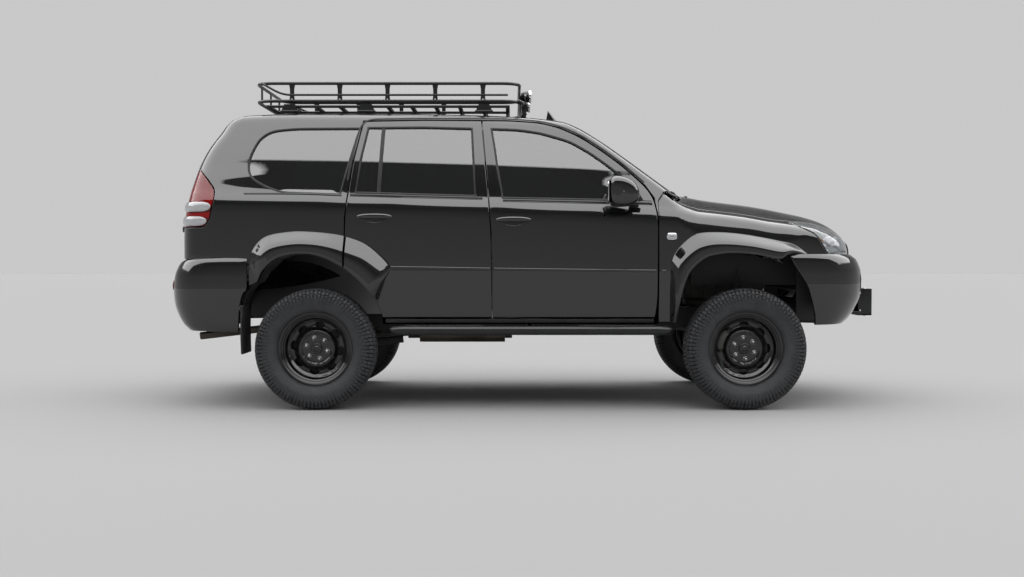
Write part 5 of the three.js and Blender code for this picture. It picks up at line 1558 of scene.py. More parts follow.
def brakes(side):
    """Front disc with shield and caliper on the steered knuckle; rear drum shield on the axle."""
    shield = lathe([[40, -64], [120, -66], [178, -66], [186, -60], [188, -48], [184, -48],
                    [181, -58], [60, -60]], 64)
    disc = lathe([[60, -12], [70, -44], [95, -46], [158, -46], [160, -44], [160, -37], [157, -36],
                  [157, -33], [160, -32], [160, -25], [158, -23], [95, -23], [84, -20], [72, -8]],
                 64, slot=1)
    caliper = Shape()
    for low, high in ((-62, -50), (-19, -4)):
        caliper.join(slab(sector(172, 0.42, 12, 112, 0.4, 10), low, high, 5, "y", 2))
    caliper.join(slab(sector(176, 0.3, 8, 164, 0.3, 8), -60, -6, 3, "y", 2))
    caliper.turned((0, 1, 0), -1.2)
    front = Shape().join(shield).join(disc).join(caliper)
    front.moved((FRONT_AXLE, HUB_Y, TYRE_RADIUS))
    build(f"front_brake_{side}", sided(front, side), [CHASSIS, BRAKE, CAST], f"knuckle_{side}")
    drum = lathe([[60, -14], [128, -16], [142, -22], [146, -30], [150, -32], [150, -40],
                  [146, -42], [144, -62], [150, -66], [184, -66], [186, -62], [184, -60],
                  [60, -60]], 64, slot=1)
    drum.moved((REAR_AXLE, HUB_Y, TYRE_RADIUS))
    build(f"rear_brake_{side}", sided(drum, side), [CHASSIS, BRAKE], "body")


# ---------------------------------------------------------------- bumpers
# A path has rows of [x, y, share of the section's lean], and a section rows of [lean, z].
FRONT_PATH = [
    [1660, 904, 0.3], [1850, 902, 0.34], [1990, 868, 0.5], [2100, 800, 0.75], [2180, 700, 0.95],
    [2232, 560, 1], [2268, 380, 1], [2286, 190, 1], [2290, 0, 1],
]
FRONT_SECTION = [
    [-118, 1010], [-84, 1006], [-52, 990], [-24, 945], [-5, 880], [0, 805], [-8, 740],
    [-40, 655], [-92, 575], [-125, 548],
]
REAR_PATH = [
    [-1832, 888, 0.3], [-2050, 888, 0.34], [-2200, 868, 0.5], [-2300, 805, 0.75],
    [-2358, 700, 0.95], [-2392, 520, 1], [-2412, 270, 1], [-2420, 0, 1],
]
REAR_SECTION = [
    [-132, 986], [-100, 980], [-62, 962], [-30, 918], [-8, 855], [0, 775], [-8, 685],
    [-36, 600], [-92, 522], [-124, 505],
]


def bumper_map(path, section):
    """A map for outlines of [length from the middle, z] on a swept bumper."""
    half = curved(path, 160)[::-1]
    run = np.concatenate([[0], np.cumsum(np.linalg.norm(np.diff(half[:, :2], axis=0), axis=1))])
    shown = np.array(section, float)
    inset = Curve(shown[np.argsort(shown[:, 1])][:, [1, 0]])
    slope = np.gradient(half[:, :2], axis=0)
    out = unit(rows_of(slope[:, 1], -slope[:, 0]))
    out *= np.sign((out * half[:, :2]).sum(1))[:, None]

    def place(uz, depth):
        far = np.abs(uz[:, 0])
        side = np.where(uz[:, 0] < 0, -1, 1)
        x = np.interp(far, run, half[:, 0])
        y = np.interp(far, run, half[:, 1])
        share = np.interp(far, run, half[:, 2])
        ox, oy = np.interp(far, run, out[:, 0]), np.interp(far, run, out[:, 1])
        move = inset(uz[:, 1]) * share - depth
        return rows_of(x + ox * move, side * (y + oy * move), uz[:, 1])

    def length_at(x):
        order = np.argsort(half[:, 0])
        return np.interp(x, half[order, 0], run[order])
    return place, length_at


def bumper_outline(length_at, arch, top, low):
    """The whole bumper's outline from its top edge, its arch edges and its lower edge."""
    edge = np.array([[float(length_at(x)), z] for x, z in arch])
    edge = curved(edge, 40)
    right = edge[edge[:, 1] > low]
    left = (right * [-1, 1])[::-1]
    return closed_parts([[left[-1, 0], top], [right[0, 0], top]], right, [right[-1], left[0]], left)


FOG_Y = 620.0


def front_bumper():
    """The bumper's skin with its winch mouth, intake and fog lamps."""
    place, length_at = bumper_map(FRONT_PATH, FRONT_SECTION)
    arch = [[1662, 1009], [1716, 912], [1780, 808], [1812, 712], [1840, 609], [1848, 548]]
    outline = bumper_outline(length_at, arch, 1009, 546)
    mouth = rounded_rectangle(-250, 250, 588, 780, 24)
    intake = smoothed([[-420, 830], [420, 830], [400, 930], [-400, 930]], 20)
    fog = [rounded_rectangle(side * FOG_Y - 88, side * FOG_Y + 88, 738, 872, 34, 6)
           for side in (1, -1)]
    shape = panel(place, outline, [mouth, intake] + fog, 26, 24, 6)
    for side, ring in zip((1, -1), fog):
        shape.join(rims(place, ring, ((-1, 6), (-5, 40), (-60, 44)), 1))
        shape.join(fog_lamp(spot(place, side * FOG_Y, 805, 30), side))
    for side in (1, -1):
        for z in (838, 908):
            bolt = lathe([[0.4, 5], [6, 4.5], [9, 2], [9.5, -2]], 16, slot=2)
            shape.join(bolt.forwards().moved(spot(place, side * 452, z, -2)))
    shape.join(panel(place, outline_inset(length_at), [mouth], 44, 60, 2, start=40, inner=False,
                     slot=1))
    build("front_bumper_finished", shape, [PAINT, PLASTIC, STEEL, LENS, CHROME], "body",
          ["front_bumper"], "paint")


def outline_inset(length_at):
    """Outline of the dark panel behind the bumper's openings."""
    reach = float(length_at(1900))
    return closed_parts([[reach, 960], [reach, 580], [-reach, 580], [-reach, 960]])


def fog_lamp(centre, side):
    """A small round lamp turned a little outwards."""
    lamp = Shape()
    lamp.join(lathe([[46, -16], [50, -4], [52, 4], [48, 8], [42, 6]], 36, slot=1))
    lamp.join(lathe([[42, 6], [36, -8], [20, -20], [1, -24]], 32, slot=4))
    lamp.join(lathe([[1, 9], [20, 8], [36, 6], [42, 4]], 32, slot=3))
    lamp.turned((0, 0, 1), -math.pi / 2 + side * 0.35)
    return lamp.moved(centre)


def rear_bumper():
    """The bumper's skin with its plate recess, reflectors and seams."""
    place, length_at = bumper_map(REAR_PATH, REAR_SECTION)
    arch = [[-1834, 985], [-1834, 790], [-1854, 757], [-1876, 690], [-1890, 540], [-1893, 505]]
    outline = bumper_outline(length_at, arch, 985, 503)
    plate = rounded_rectangle(-265, 265, 640, 760, 20)
    shape = panel(place, outline, [plate], 26, 24, 6, None, True)
    shape.join(rims(place, plate[::-1], ((-1, 8), (-6, 34), (-58, 36)), 1))
    for side in (1, -1):
        u = side * float(length_at(-2368))
        ring = rounded_rectangle(u - 60, u + 60, 772, 832, 22, 5)
        shape.join(rims(place, ring, ((2, 2), (1, -3), (-3, -5), (-29, -6.5)), 2, True))
        seam = side * float(length_at(-2140))
        line = rows_of(seam, np.linspace(955, 905, 24))
        groove = [place(line + [d, 0], h) for d, h in ((-2.4, -0.4), (0, 2.4), (2.4, -0.4))]
        shape.join(strip(Shape(), groove, closed=False, slot=1))
    build("rear_bumper_finished", shape, [PAINT, PLASTIC, RED], "body", ["rear_bumper"], "paint")


# ---------------------------------------------------------------- lamps
def bowl(place, outline, depth, lean, slot, flip):
    """Side walls and floor behind a lens, inset by a lean at their depth."""
    rows = outline if area_of(outline) > 0 else outline[::-1]
    walls = ((-2, 5), (-4, 8), (-lean * 0.5, depth * 0.6), (-lean, depth))
    made = rims(place, rows, walls, slot, not flip)
    floor = panel(place, grown(rows, -lean), [], depth + 2, 22, 1.0, None, flip, slot, start=depth,
                  inner=False)
    return made.join(floor)


def reflector(radius, deep, centre):
    """A round reflector facing forward, with its rim and a bulb."""
    made = lathe([[radius + 4, 2], [radius + 5, 5], [radius + 2, 7], [radius - 1, 5],
                  [radius - 3, 0], [radius * 0.8, -deep * 0.5], [radius * 0.45, -deep * 0.9],
                  [6, -deep], [0.3, -deep]], 40, slot=1)
    made.join(lathe([[0.3, 2], [5, 1], [8, -4], [9, -12], [7, -deep]], 20, slot=3))
    return made.forwards().moved(centre)


def headlamp(side):
    """A lens between bonnet, wing, bumper and grille, over a bowl with two reflectors."""
    edge = [[x, y + 8] for x, y in BONNET_PLAN if 1650 < x < 2090]
    edge = curved([[1698, 715]] + edge[1:], 40)
    top = FRONT_CORNER.unrolled(BONNET_MAP(edge, 0.0))
    top = top[top[:, 1] > 1003]
    heights = np.linspace(top[-1, 1], 1001, 8)
    inner = FRONT_CORNER.unrolled(NOSE_MAP(rows_of(edge[-1, 1], heights), 0.0))
    low = FRONT_CORNER.unrolled(WING_MAP(curved(HEADLAMP_LOW, 30), 0.0))
    outline = closed_parts(top, inner[1:], [[low[-1, 0], 1001]], low[::-1])
    outline = grown(outline, -1.0)
    shape = panel(FRONT_CORNER, outline, [], 5, 20, 3, front_field, True, 0)
    shape.join(bowl(FRONT_CORNER, outline, 50, 16, 2, True))
    for at, radius in (((2022, 640, 1080), 50), ((1962, 716, 1094), 38)):
        shape.join(reflector(radius, 42, at))
    for x, z, size, slot in ((1902, 1104, (17, 9, 14), 4), (1925, 1068, (14, 9, 11), 1),
                             (1945, 1032, (13, 9, 10), 1)):
        shape.join(ball(spot(WING_MAP, x, z, 26.0), size, slot=slot))
    build(f"headlamp_{side}_finished", sided(shape, side), [LENS, CHROME, SILVER, GLOW, AMBER],
          "body", [f"headlamp_{side}"], "clear_lamp")


def tail_lamp(side):
    """A lens beside the rear door, with two clear ribs that stand out and run round the corner."""
    gate = gate_edge()
    gate = gate[(gate[:, 1] < LAMP_TOP) & (gate[:, 1] > LAMP_FOOT)]
    edge = on_side(curved(LAMP_EDGE, 30)[::-1])
    outline = closed_parts([[gate[0, 0], LAMP_TOP]], gate, [[gate[-1, 0], LAMP_FOOT]],
                           [[edge[-1, 0], LAMP_FOOT]], edge[::-1], [[edge[0, 0], LAMP_TOP]])
    outline = grown(outline, -2.0)
    shape = panel(REAR_CORNER, outline, [], 5, 20, 3, cabin_field, True, 0)
    shape.join(bowl(REAR_CORNER, outline, 34, 12, 1, True))
    rear = float(gate[:, 0].min()) + 16
    for low, high in ((1282, 1347), (1190, 1253)):
        middle = (low + high) / 2
        front = float(np.interp(middle, edge[::-1, 1], edge[::-1, 0])) - 8
        us = np.linspace(front, rear, 46)
        share = np.linspace(0, 1, 46)
        taper = np.sqrt(np.clip(1 - (1 - np.clip(share / 0.3, 0, 1)) ** 2, 0, 1))
        taper *= np.sqrt(np.clip(1 - (np.clip((share - 0.9) / 0.1, 0, 1)) ** 2, 0.02, 1))
        rings = []
        for u, t in zip(us, np.maximum(taper, 0.03)):
            lift = np.radians(np.linspace(0, 180, 14))
            zs = middle + np.cos(lift) * (high - low) / 2 * t
            depth = 2.0 - 17.0 * np.sin(lift) ** 0.8 * t
            points = REAR_CORNER(rows_of(u, zs), 0.0)
            normals = normals_of(cabin_field, points)
            rings.append(points - normals * depth[:, None])
        shape.join(strip(Shape(), rings, closed=False, slot=2))
    build(f"tail_lamp_{side}_finished", sided(shape, side), [RED, CHROME, PEARL], "body",
          [f"tail_lamp_{side}"], "red_lamp")


def repeater(side):
    """Indicator lamp low on the wing, ahead of the door."""
    rows = rounded_rectangle(882, 942, 1103, 1140, 13, 6)
    shape = rims(WING_MAP, rows, ((3, 1), (2.5, -2.5), (0, -3.5), (-1, -2.5)))
    shape.join(rims(WING_MAP, rows, ((-1, -2.5), (-2, -5), (-6, -7.5), (-11, -9), (-17, -9.5)), 1))
    build(f"repeater_{side}", sided(shape, side), [CHROME, PEARL], "body")


# ---------------------------------------------------------------- trim on the sides
def surface_line(rows, field=side_field, count=120):
    """A smooth line over a side, through rows of [x, z]."""
    line = curved(rows, count) if len(rows) > 2 else np.linspace(rows[0], rows[1], count)
    return side_map(field)(line, 0.0)


BELT_FRONT = [[-180, 1359], [300, 1348], [716, 1340], [790, 1336]]
BELT_REAR = [[-1172, 1394], [-700, 1381], [-312, 1371]]
BELT_QUARTER = [[-1862, 1400], [-1500, 1398], [-1226, 1388]]


def door_trim_pieces(side):
    """Belt mouldings, rub strips, handles and window-frame facings."""
    for name, belt, strip_line, handle_x, handle_z in (
            ("door_front", BELT_FRONT, [[-236, 911], [300, 904], [812, 898]], -111, 1230),
            ("door_rear", BELT_REAR, [[-905, 921], [-600, 917], [-262, 911]], -1010, 1250)):
        trim = follow(surface_line(belt), side_field, 5.0, 15, 0)
        # The thin dark strip just under each belt moulding is painted shade, standing for the gap
        # below the moulding.
        trim.join(follow(surface_line([[x, z - 11] for x, z in belt]), side_field, 1.5, 6, 1))
        trim.join(follow(surface_line(strip_line), side_field, 6.5, 16, 2))
        trim.join(handle(handle_x, handle_z))
        if name == "door_rear":
            divider = np.linspace([-988, 1390], [-968, 1840], 50)
            trim.join(follow(SIDE_MAP(divider, 7.0), side_field, 7.0, 24, 1))
        build(f"{name}_trim_{side}", sided(trim, side), [SATIN, SEAL, PAINT, PLASTIC],
              f"{name}_{side}")


HANDLE_HALF = 116


def handle(x, z):
    """A pull handle: a bar that stands off the door over a scooped cup."""
    shape = Shape()
    us = np.linspace(-HANDLE_HALF, HANDLE_HALF, 41)
    bow = 1 - (us / HANDLE_HALF) ** 2
    stations = []
    for u, b in zip(us, bow):
        round_end = math.sqrt(max(0.02, 1 - (abs(u) / HANDLE_HALF) ** 6))
        centre = spot(SIDE_MAP, x + u, z + 4 * b - 2)
        out = 17 + 15 * b ** 0.6
        turn = full_turn(18)
        ring = rows_of(
            np.zeros(18), out - 9 + np.sin(turn) * 9 * round_end,
            np.cos(turn) * (13 + 3 * b) * round_end)
        stations.append(centre + ring)
    shape.join(strip(Shape(), stations, slot=2, flip=True))
    for end in (-1, 1):
        foot = spot(SIDE_MAP, x + end * 98, z - 1)
        shape.join(ball(foot + [0, 4, 0], (16, 16, 12), 10, 16, slot=2))
    middle = [x, z - 16]
    cup = ring_outline(1, 44) * [66, 27] + middle
    rings = [SIDE_MAP(cup, -0.6), SIDE_MAP(grown(cup, -2), -1.6)]
    rings += [SIDE_MAP((cup - middle) * k + middle, -1.4 + 0.9 * (1 - k))
              for k in (0.9, 0.7, 0.4, 0.05)]
    shape.join(strip(Shape(), rings, slot=3, flip=True))
    lower = np.array([[x + 60 * math.sin(a), z - 16 - 26 * math.cos(a)]
                      for a in np.linspace(-1.15, 1.15, 30)])
    shape.join(follow(SIDE_MAP(lower, 0.0), side_field, 5.0, 9, 2))
    return shape


def body_trim(side):
    """Roof gutter line, quarter glass moulding, front strip end and the body's own mouldings."""
    strip_end = surface_line([[849, 897], [862, 897], [874, 896.5]], front_field, 10)
    shape = follow(strip_end, front_field, 6.5, 16, 0)
    shape.join(follow(surface_line(BELT_QUARTER), side_field, 4.0, 12, 1))
    top = grown(closed_parts(FRONT_DOOR[3:12] + REAR_DOOR[5:10], [[-960, 700], [700, 700]]), 17)
    line = top[(top[:, 1] > 1470)]
    line = line[np.argsort(line[:, 0])]
    shape.join(follow(SIDE_MAP(smooth_line(line), 0.0), side_field, 3.0, 11, 2))
    sill = rows_of(np.linspace(-940, 800, 90), 574)
    shape.join(follow(SIDE_MAP(sill, 0.0), side_field, 2.0, 24, 3))
    build(f"body_trim_{side}", sided(shape, side), [PAINT, SATIN, SEAL, PLASTIC], "body")


def smooth_line(line, rounds=12):
    """Evens out a line's inner points and leaves its ends."""
    line = np.array(line)
    for _ in range(rounds):
        line[1:-1] = line[1:-1] * 0.4 + (line[:-2] + line[2:]) * 0.3
    return line


MIRROR_HEAD = [
    [486, 1326], [482, 1420], [486, 1490], [510, 1506], [580, 1500], [640, 1474], [680, 1428],
    [692, 1372], [672, 1326], [620, 1306], [530, 1304], [500, 1310],
]


def mirror(side):
    """A housing swelled from its outline, on a stalk and a painted sail, with its glass."""
    rows = smoothed(MIRROR_HEAD, 12, 90)
    middle = rows.mean(0)
    rings = []
    for y, scale in ((916, 0.5), (917, 0.74), (922, 0.86), (935, 0.94), (960, 0.985),
                     (1010, 1.0), (1060, 0.985), (1095, 0.93), (1113, 0.84), (1124, 0.7),
                     (1128, 0.45), (1129, 0.02)):
        flat = middle + (rows - middle) * scale
        rings.append(rows_of(flat[:, 0], y, flat[:, 1]))
    shape = strip(Shape(), rings, slot=0, flip=True)
    shape.join(slab([[642, 1344], [650, 1396], [700, 1392], [722, 1350]], 850, 925, 8, "y", 1))
    glass = rounded_rectangle(-84, 84, -72, 66, 26, 7)
    for grow, deep, slot in ((5, 3, 1), (-2, 0, 3)):
        face = slab(grown(glass, grow), deep - 3, deep + 3, 2, "x", slot)
        face.moved((484.0, 1022.0, 1402.0))
        shape.join(face)
    sail = smoothed([[700, 1352], [790, 1350], [748, 1428], [700, 1440]], 10, 90)
    shape.join(panel(SIDE_MAP, sail, [], 3, 16, 3, side_field, True, start=-3.5))
    build(f"mirror_{side}_finished", sided(shape, side), [PAINT, PLASTIC, SEAL, CHROME],
          f"door_front_{side}", [f"mirror_{side}"], "paint")


# ---------------------------------------------------------------- roof rack, steps and flaps
RACK_REAR, RACK_FRONT, RACK_HALF = -1850.0, -70.0, 500.0
RACK_TOP, RACK_FLOOR, RACK_BAR = 2170.0, 2014.0, 11.0
LOW_RAIL, MIDDLE_RAIL, HIGH_RAIL = 2040.0, 2082.0, RACK_TOP - RACK_BAR


def rack_loop(z):
    """One of the rack's tubes all the way round."""
    x0, x1, y = RACK_REAR, RACK_FRONT, RACK_HALF
    corners = [(x1, y, z), (x0, y, z), (x0, -y, z), (x1, -y, z)]
    return tube(rounded_path(corners, 130, 12, closed=True), RACK_BAR, 18, closed=True)


def roof_rack():
    """Two tube loops with flat posts, sloping side rails, a slatted floor and six feet."""
    shape = rack_loop(HIGH_RAIL).join(rack_loop(LOW_RAIL))
    half = Shape()
    for x in np.linspace(RACK_REAR + 245, RACK_FRONT - 247, 5):
        low = LOW_RAIL - 4
        post = []
        for t, w in ((0, 20), (0.12, 17), (0.4, 13.5), (0.7, 14.5), (0.9, 19), (1, 21)):
            z = low + (HIGH_RAIL - low) * t
            post.append(np.array([[x - w, 505, z], [x + w, 505, z], [x + w, 495, z],
                                  [x - w, 495, z]]))
        half.join(strip(Shape(), post))
        half.join(rod([x, 512, low + 14], [x, 488, low + 14], 5, 10, 1))
    half.join(tube(rounded_path([
        [RACK_REAR + 40, RACK_HALF, HIGH_RAIL], [RACK_REAR + 180, RACK_HALF, MIDDLE_RAIL],
        [RACK_FRONT - 80, RACK_HALF, MIDDLE_RAIL]], 60), 7.5, 14))
    for x in (RACK_REAR + 235, RACK_REAR + 750, RACK_FRONT - 239):
        base = rounded_rectangle(x - 62, x + 62, RACK_HALF + 8, RACK_HALF + 52, 10)
        foot = slab(base, 1958, 1974, 5)
        for z0, z1, reach in ((1974, 1990, 46), (1990, RACK_FLOOR, 36)):
            rings = [np.array([[x + sx * w, RACK_HALF + dy, z]
                               for sx, dy in ((-1, -6), (1, -6), (1, 46), (-1, 46))])
                     for z, w in ((z0, reach + 8), (z1, reach))]
            foot.join(strip(Shape(), rings))
        half.join(foot, 0)
        for dx in (-44, 44):
            half.join(rod([x + dx, RACK_HALF + 30, 1972], [x + dx, RACK_HALF + 30, 1981], 8, 6, 1))
    shape.join(half).join(half.mirrored())
    for y in (-300, 0, 300):
        for x in (RACK_REAR, RACK_FRONT):
            shape.join(block(x - 5, x + 5, y - 14, y + 14, LOW_RAIL - 4, HIGH_RAIL, 3))
    for x in np.linspace(RACK_REAR + 80, RACK_FRONT - 80, 11):
        shape.join(block(x - 14, x + 14, -RACK_HALF, RACK_HALF, RACK_FLOOR - 18, RACK_FLOOR, 4))
    for y in (-RACK_HALF, -170.0, 170.0, RACK_HALF):
        shape.join(block(RACK_REAR + 70, RACK_FRONT - 70, y - 9, y + 9, RACK_FLOOR - 20,
                         RACK_FLOOR - 2, 4))
    build("roof_rack_finished", shape, [SATIN, STEEL], "body", ["roof_rack"], "satin_black")


LAMP_Z, BAIL_X = 2101.0, RACK_FRONT + 40


def rack_lamps():
    """Two round lamps on their bails, on a cross tube at the rack's front."""
    shape = tube(rounded_path([
        [RACK_FRONT - 6, -470, 2046], [RACK_FRONT + 20, -440, 2034],
        [RACK_FRONT + 20, 440, 2034], [RACK_FRONT - 6, 470, 2046]], 30), 10, 14)
    for y in (-260, 260):
        lamp = lathe([[0.3, -44], [14, -44], [22, -38], [30, -20], [38, 6], [42, 22], [44, 30],
                      [44, 34], [41, 36], [38, 33]], 40)
        lamp.join(lathe([[38, 33], [34, 16], [20, -8], [5, -14], [0.3, -14]], 36, slot=1))
        lamp.join(lathe([[0.3, 37], [20, 36.5], [34, 34.5], [38.5, 32]], 36, slot=2))
        lamp.join(lathe([[44.2, 20], [46, 22], [46, 32], [44.2, 35]], 40, slot=1))
        for k in range(5):
            inner, outer, back = 24 + k * 2, 28 + k * 2.2, -34 + k * 5
            lamp.join(lathe([[inner, back], [outer, back], [outer, -31.5 + k * 5],
                             [inner, -31.5 + k * 5]], 36))
        shape.join(lamp.forwards().moved((RACK_FRONT + 46, y, LAMP_Z)))
        bail = rounded_path([[BAIL_X, y - 49, LAMP_Z], [BAIL_X, y - 49, LAMP_Z - 54],
                             [BAIL_X, y + 49, LAMP_Z - 54], [BAIL_X, y + 49, LAMP_Z]], 18)
        shape.join(tube(bail, 4.5, 10))
        for s in (-1, 1):
            shape.join(rod([BAIL_X, y + s * 42, LAMP_Z], [BAIL_X, y + s * 58, LAMP_Z], 8, 6, 3))
        shape.join(block(RACK_FRONT + 6, RACK_FRONT + 60, y - 16, y + 16, 2040, 2047, 2))
        bracket = [[RACK_FRONT + 10, 2044], [RACK_FRONT + 56, 2044], [RACK_FRONT + 46, 1966],
                   [RACK_FRONT + 28, 1966]]
        shape.join(slab(bracket, y - 8, y + 8, 2, "y"))
    build("rack_lamps_finished", shape, [SATIN, CHROME, LENS, STEEL], "body", ["rack_lamps"],
          "satin_black")


STEP_Y, STEP_Z = 886, 514


def side_step(side):
    """A bent tube on three arms, with two ribbed treads."""
    shape = tube(rounded_path([[-916, 846, STEP_Z], [-856, STEP_Y, STEP_Z], [856, STEP_Y, STEP_Z],
                               [916, 846, STEP_Z]], 50, 8), 30, 28)
    for x in (-700, 0, 700):
        shape.join(tube(rounded_path([[x, 876, 512], [x, 640, 512], [x, 424, 530]], 60), 14, 14))
        shape.join(block(x - 34, x + 34, 418, 426, 486, 574, 3))
        for z in (500, 560):
            for dx in (-18, 18):
                shape.join(rod([x + dx, 424, z], [x + dx, 434, z], 8, 6, 1))
    for x in (-560, 560):
        shape.join(block(x - 250, x + 250, 872, 900, 541, 546, 2, slot=2))
        for k in range(14):
            shape.join(block(x - 236 + k * 35, x - 218 + k * 35, 874, 898, 545, 548.5, 1, slot=2))
    build(f"side_step_{side}_finished", sided(shape, side), [SATIN, STEEL, PLASTIC], "body",
          [f"side_step_{side}"], "satin_black")


def mud_flap(side):
    """A ribbed rubber flap under a bolted strip."""
    outline = smoothed([[-1852, 362], [-1857, 540], [-1850, 676], [-1862, 676], [-1869, 540],
                        [-1863, 362]], 20, 30)
    shape = slab(outline, 668, 928, 3, "y")
    shape.join(block(-1872, -1858, 668, 928, 640, 676, 3, slot=1))
    for y in (700, 760, 840, 900):
        shape.join(rod([-1872, y, 658], [-1877, y, 658], 7, 12, 2))
    for z in (400, 440, 480, 520):
        shape.join(block(-1869, -1864, 690, 906, z - 4, z + 4, 2))
    build(f"mud_flap_{side}_finished", sided(shape, side), [PLASTIC, SATIN, STEEL], "body",
          [f"mud_flap_{side}"], "black_plastic")


# ---------------------------------------------------------------- nose, winch and scuttle
def grille():
    """A painted frame round four slats and four posts, with a dark panel behind."""
    frame_rows = smoothed([[-545, 1000], [545, 1000], [552, 1040], [538, 1080], [300, 1094],
                           [0, 1098], [-300, 1094], [-538, 1080], [-552, 1040]], 18, 60)
    mouth = grown(frame_rows, -16)
    shape = panel(NOSE_MAP, frame_rows, [mouth], 30, 20, 3, None, False, 1, start=-8)
    for z in (1022, 1040, 1058, 1074):
        ys = np.linspace(-532, 532, 90)
        rings = [NOSE_MAP(rows_of(ys, z + dz), d)
                 for dz, d in ((-4, 10), (-5, -4), (0, -8), (5, -4), (4, 10))]
        shape.join(strip(Shape(), rings, closed=False))
    for y in (-330, -110, 110, 330):
        zs = np.linspace(1004, 1086, 20)
        rings = [NOSE_MAP(rows_of(y + dy, zs), d)
                 for dy, d in ((6, 12), (6, -6), (-6, -6), (-6, 12))]
        shape.join(strip(Shape(), rings, closed=False))
    shape.join(panel(NOSE_MAP, grown(frame_rows, -8), [], 44, 40, 1, None, False, 2, start=40))
    build("grille_finished", shape, [SATIN, PAINT, BEZEL], "body", ["grille"], "satin_black")


def nose_shade_panels():
    """Dark panels behind the lamps and the bumper, so nothing is seen through their gaps: painted
    shade for the space behind them.
    """
    shape = Shape()
    ys = np.linspace(-800, 800, 60)
    loft(shape, [rows_of(np.minimum(nose_at(ys, z) - 70, 2120), ys, z)
                 for z in np.linspace(560, 1010, 14)])
    loft(shape, [rows_of(nose_at(ys, 1000) - 6 - depth, ys, 997.0 - depth * 0.05)
                 for depth in (0, 30, 70)])
    for y in (-520, 520):
        shape.join(block(1800, 2080, y - 2, y + 2, 560, 1090, 1))
    build("nose_shade_panels", shape, [BEZEL], "body")


DRUM_X, DRUM_Z, COIL_TURNS = 2210, 668, 11
PLATE_X, WINCH_TIP = 2330, 2420


def winch():
    """Drum with its rope, motor and gear housings, and a roller fairlead on a plate."""
    shape = block(2120, 2330, -240, 240, 590, 606, 3)
    drum = lathe([[0.3, -112], [46, -112], [46, -106], [26, -104], [26, 104], [46, 106], [46, 112],
                  [0.3, 112]], 40)
    shape.join(drum.moved((DRUM_X, 0, DRUM_Z)))
    coil = []
    length = 2 * math.pi * COIL_TURNS
    for turn in np.linspace(0, length, COIL_TURNS * 22):
        y = -98 + turn / length * 196
        coil.append([DRUM_X + 36 * math.cos(turn), y, DRUM_Z + 36 * math.sin(turn)])
    shape.join(tube(coil, 8.5, 8, slot=2))
    shape.join(tube(rounded_path([[2246, 60, 676], [2300, 20, 674], [2384, 0, 673]], 30), 6, 10,
                    slot=2))
    housing = lathe([[0.3, 0], [40, 0], [58, 6], [64, 18], [66, 60], [62, 96], [52, 112],
                     [0.3, 116]], 40)
    shape.join(housing.mirrored().moved((DRUM_X + 2, -118, DRUM_Z + 2)))
    shape.join(housing.moved((DRUM_X + 2, 118, DRUM_Z + 2)))
    shape.join(slab(rounded_rectangle(-190, 190, 576, 764, 14), PLATE_X - 14, PLATE_X, 3, "x"))
    for z0, z1 in ((576, 590), (750, 764)):
        shape.join(block(PLATE_X, WINCH_TIP, -172, 172, z0, z1, 4))
    for y0 in (-172, 158):
        shape.join(block(PLATE_X, WINCH_TIP, y0, y0 + 14, 576, 764, 4))
    for z in (640, 706):
        roller = lathe([[0.3, -152], [14, -152], [19, -148], [20, -140], [17.5, -40], [17, 0],
                        [17.5, 40], [20, 140], [19, 148], [14, 152], [0.3, 152]], 28, slot=1)
        shape.join(roller.moved((2374, 0, z)))
    for y in (-134, 134):
        roller = lathe([[0.3, -80], [12, -80], [17, -76], [16, 0], [17, 76], [12, 80], [0.3, 80]],
                       28, slot=1)
        shape.join(roller.upwards().moved((2398, y, 670)))
    for y in (-150, 150):
        for z in (583, 757):
            shape.join(rod([2374, y, z - 11], [2374, y, z + 11], 9, 6, 1))
    for y in (-176, 176):
        for z in (610, 730):
            shape.join(rod([2329, y, z], [2337, y, z], 8, 6, 1))
    build("winch_finished", shape, [SATIN, STEEL, ROPE], "body", ["winch"], "satin_black")


def scuttle():
    """Cowl grille, wiper arms with blades, and washer nozzles on the bonnet."""
    shape = Shape()
    ys = np.linspace(-640, 640, 80)
    rows = []
    for depth, rise in ((-1.5, 0), (-2.5, 8), (-2.5, 26), (-1.5, 34)):
        points = SCREEN_MAP(rows_of(ys, 1392 + rise), 0.0)
        rows.append(points - normals_of(cabin_field, points) * depth)
    loft(shape, rows)
    for y in np.linspace(-600, 600, 49):
        points = SCREEN_MAP(rows_of(y, [1398, 1420]), 0.0)
        shape.join(follow(points, cabin_field, 4.0, 5, 0))
    for pivot, tip in (((-150, 1404), (360, 1440)), ((-600, 1404), (-170, 1444))):
        base = SCREEN_MAP(np.linspace(pivot, tip, 26), 0.0)
        lift = normals_of(cabin_field, base) * np.interp(
            np.linspace(0, 1, 26), [0, 0.1, 0.5, 1], [4, 8, 9, 8])[:, None]
        shape.join(tube(base + lift, np.linspace(4.5, 3, 26), 10, slot=1))
        hub = lathe([[0.3, 9], [7, 8], [9, 5], [9.5, -2]], 20, slot=1)
        shape.join(hub.forwards().moved(base[0]))
        middle = np.array(tip) * 0.86 + np.array(pivot) * 0.14
        run = middle + np.linspace([-240, -12], [190, 9], 30)
        blade = SCREEN_MAP(run, 0.0)
        normals = normals_of(cabin_field, blade)
        shape.join(tube(blade + normals * 3, 2.4, 8))
        shape.join(tube(blade + normals * 6.5, 2.8, 8, slot=1))
    build("scuttle_and_wipers", shape, [SEAL, SATIN], "body")
    nozzles = Shape()
    for x, y in ((1090, 250), (1090, -250)):
        nozzles.join(ball((x, y, front_top(x, y) + 1), (13, 10, 8), 10, 16))
    build("washer_nozzles", nozzles, [PLASTIC], "bonnet")


def front_top(x, y):
    """Height of the bonnet at a place."""
    return float(spot(BONNET_MAP, x, y)[2])


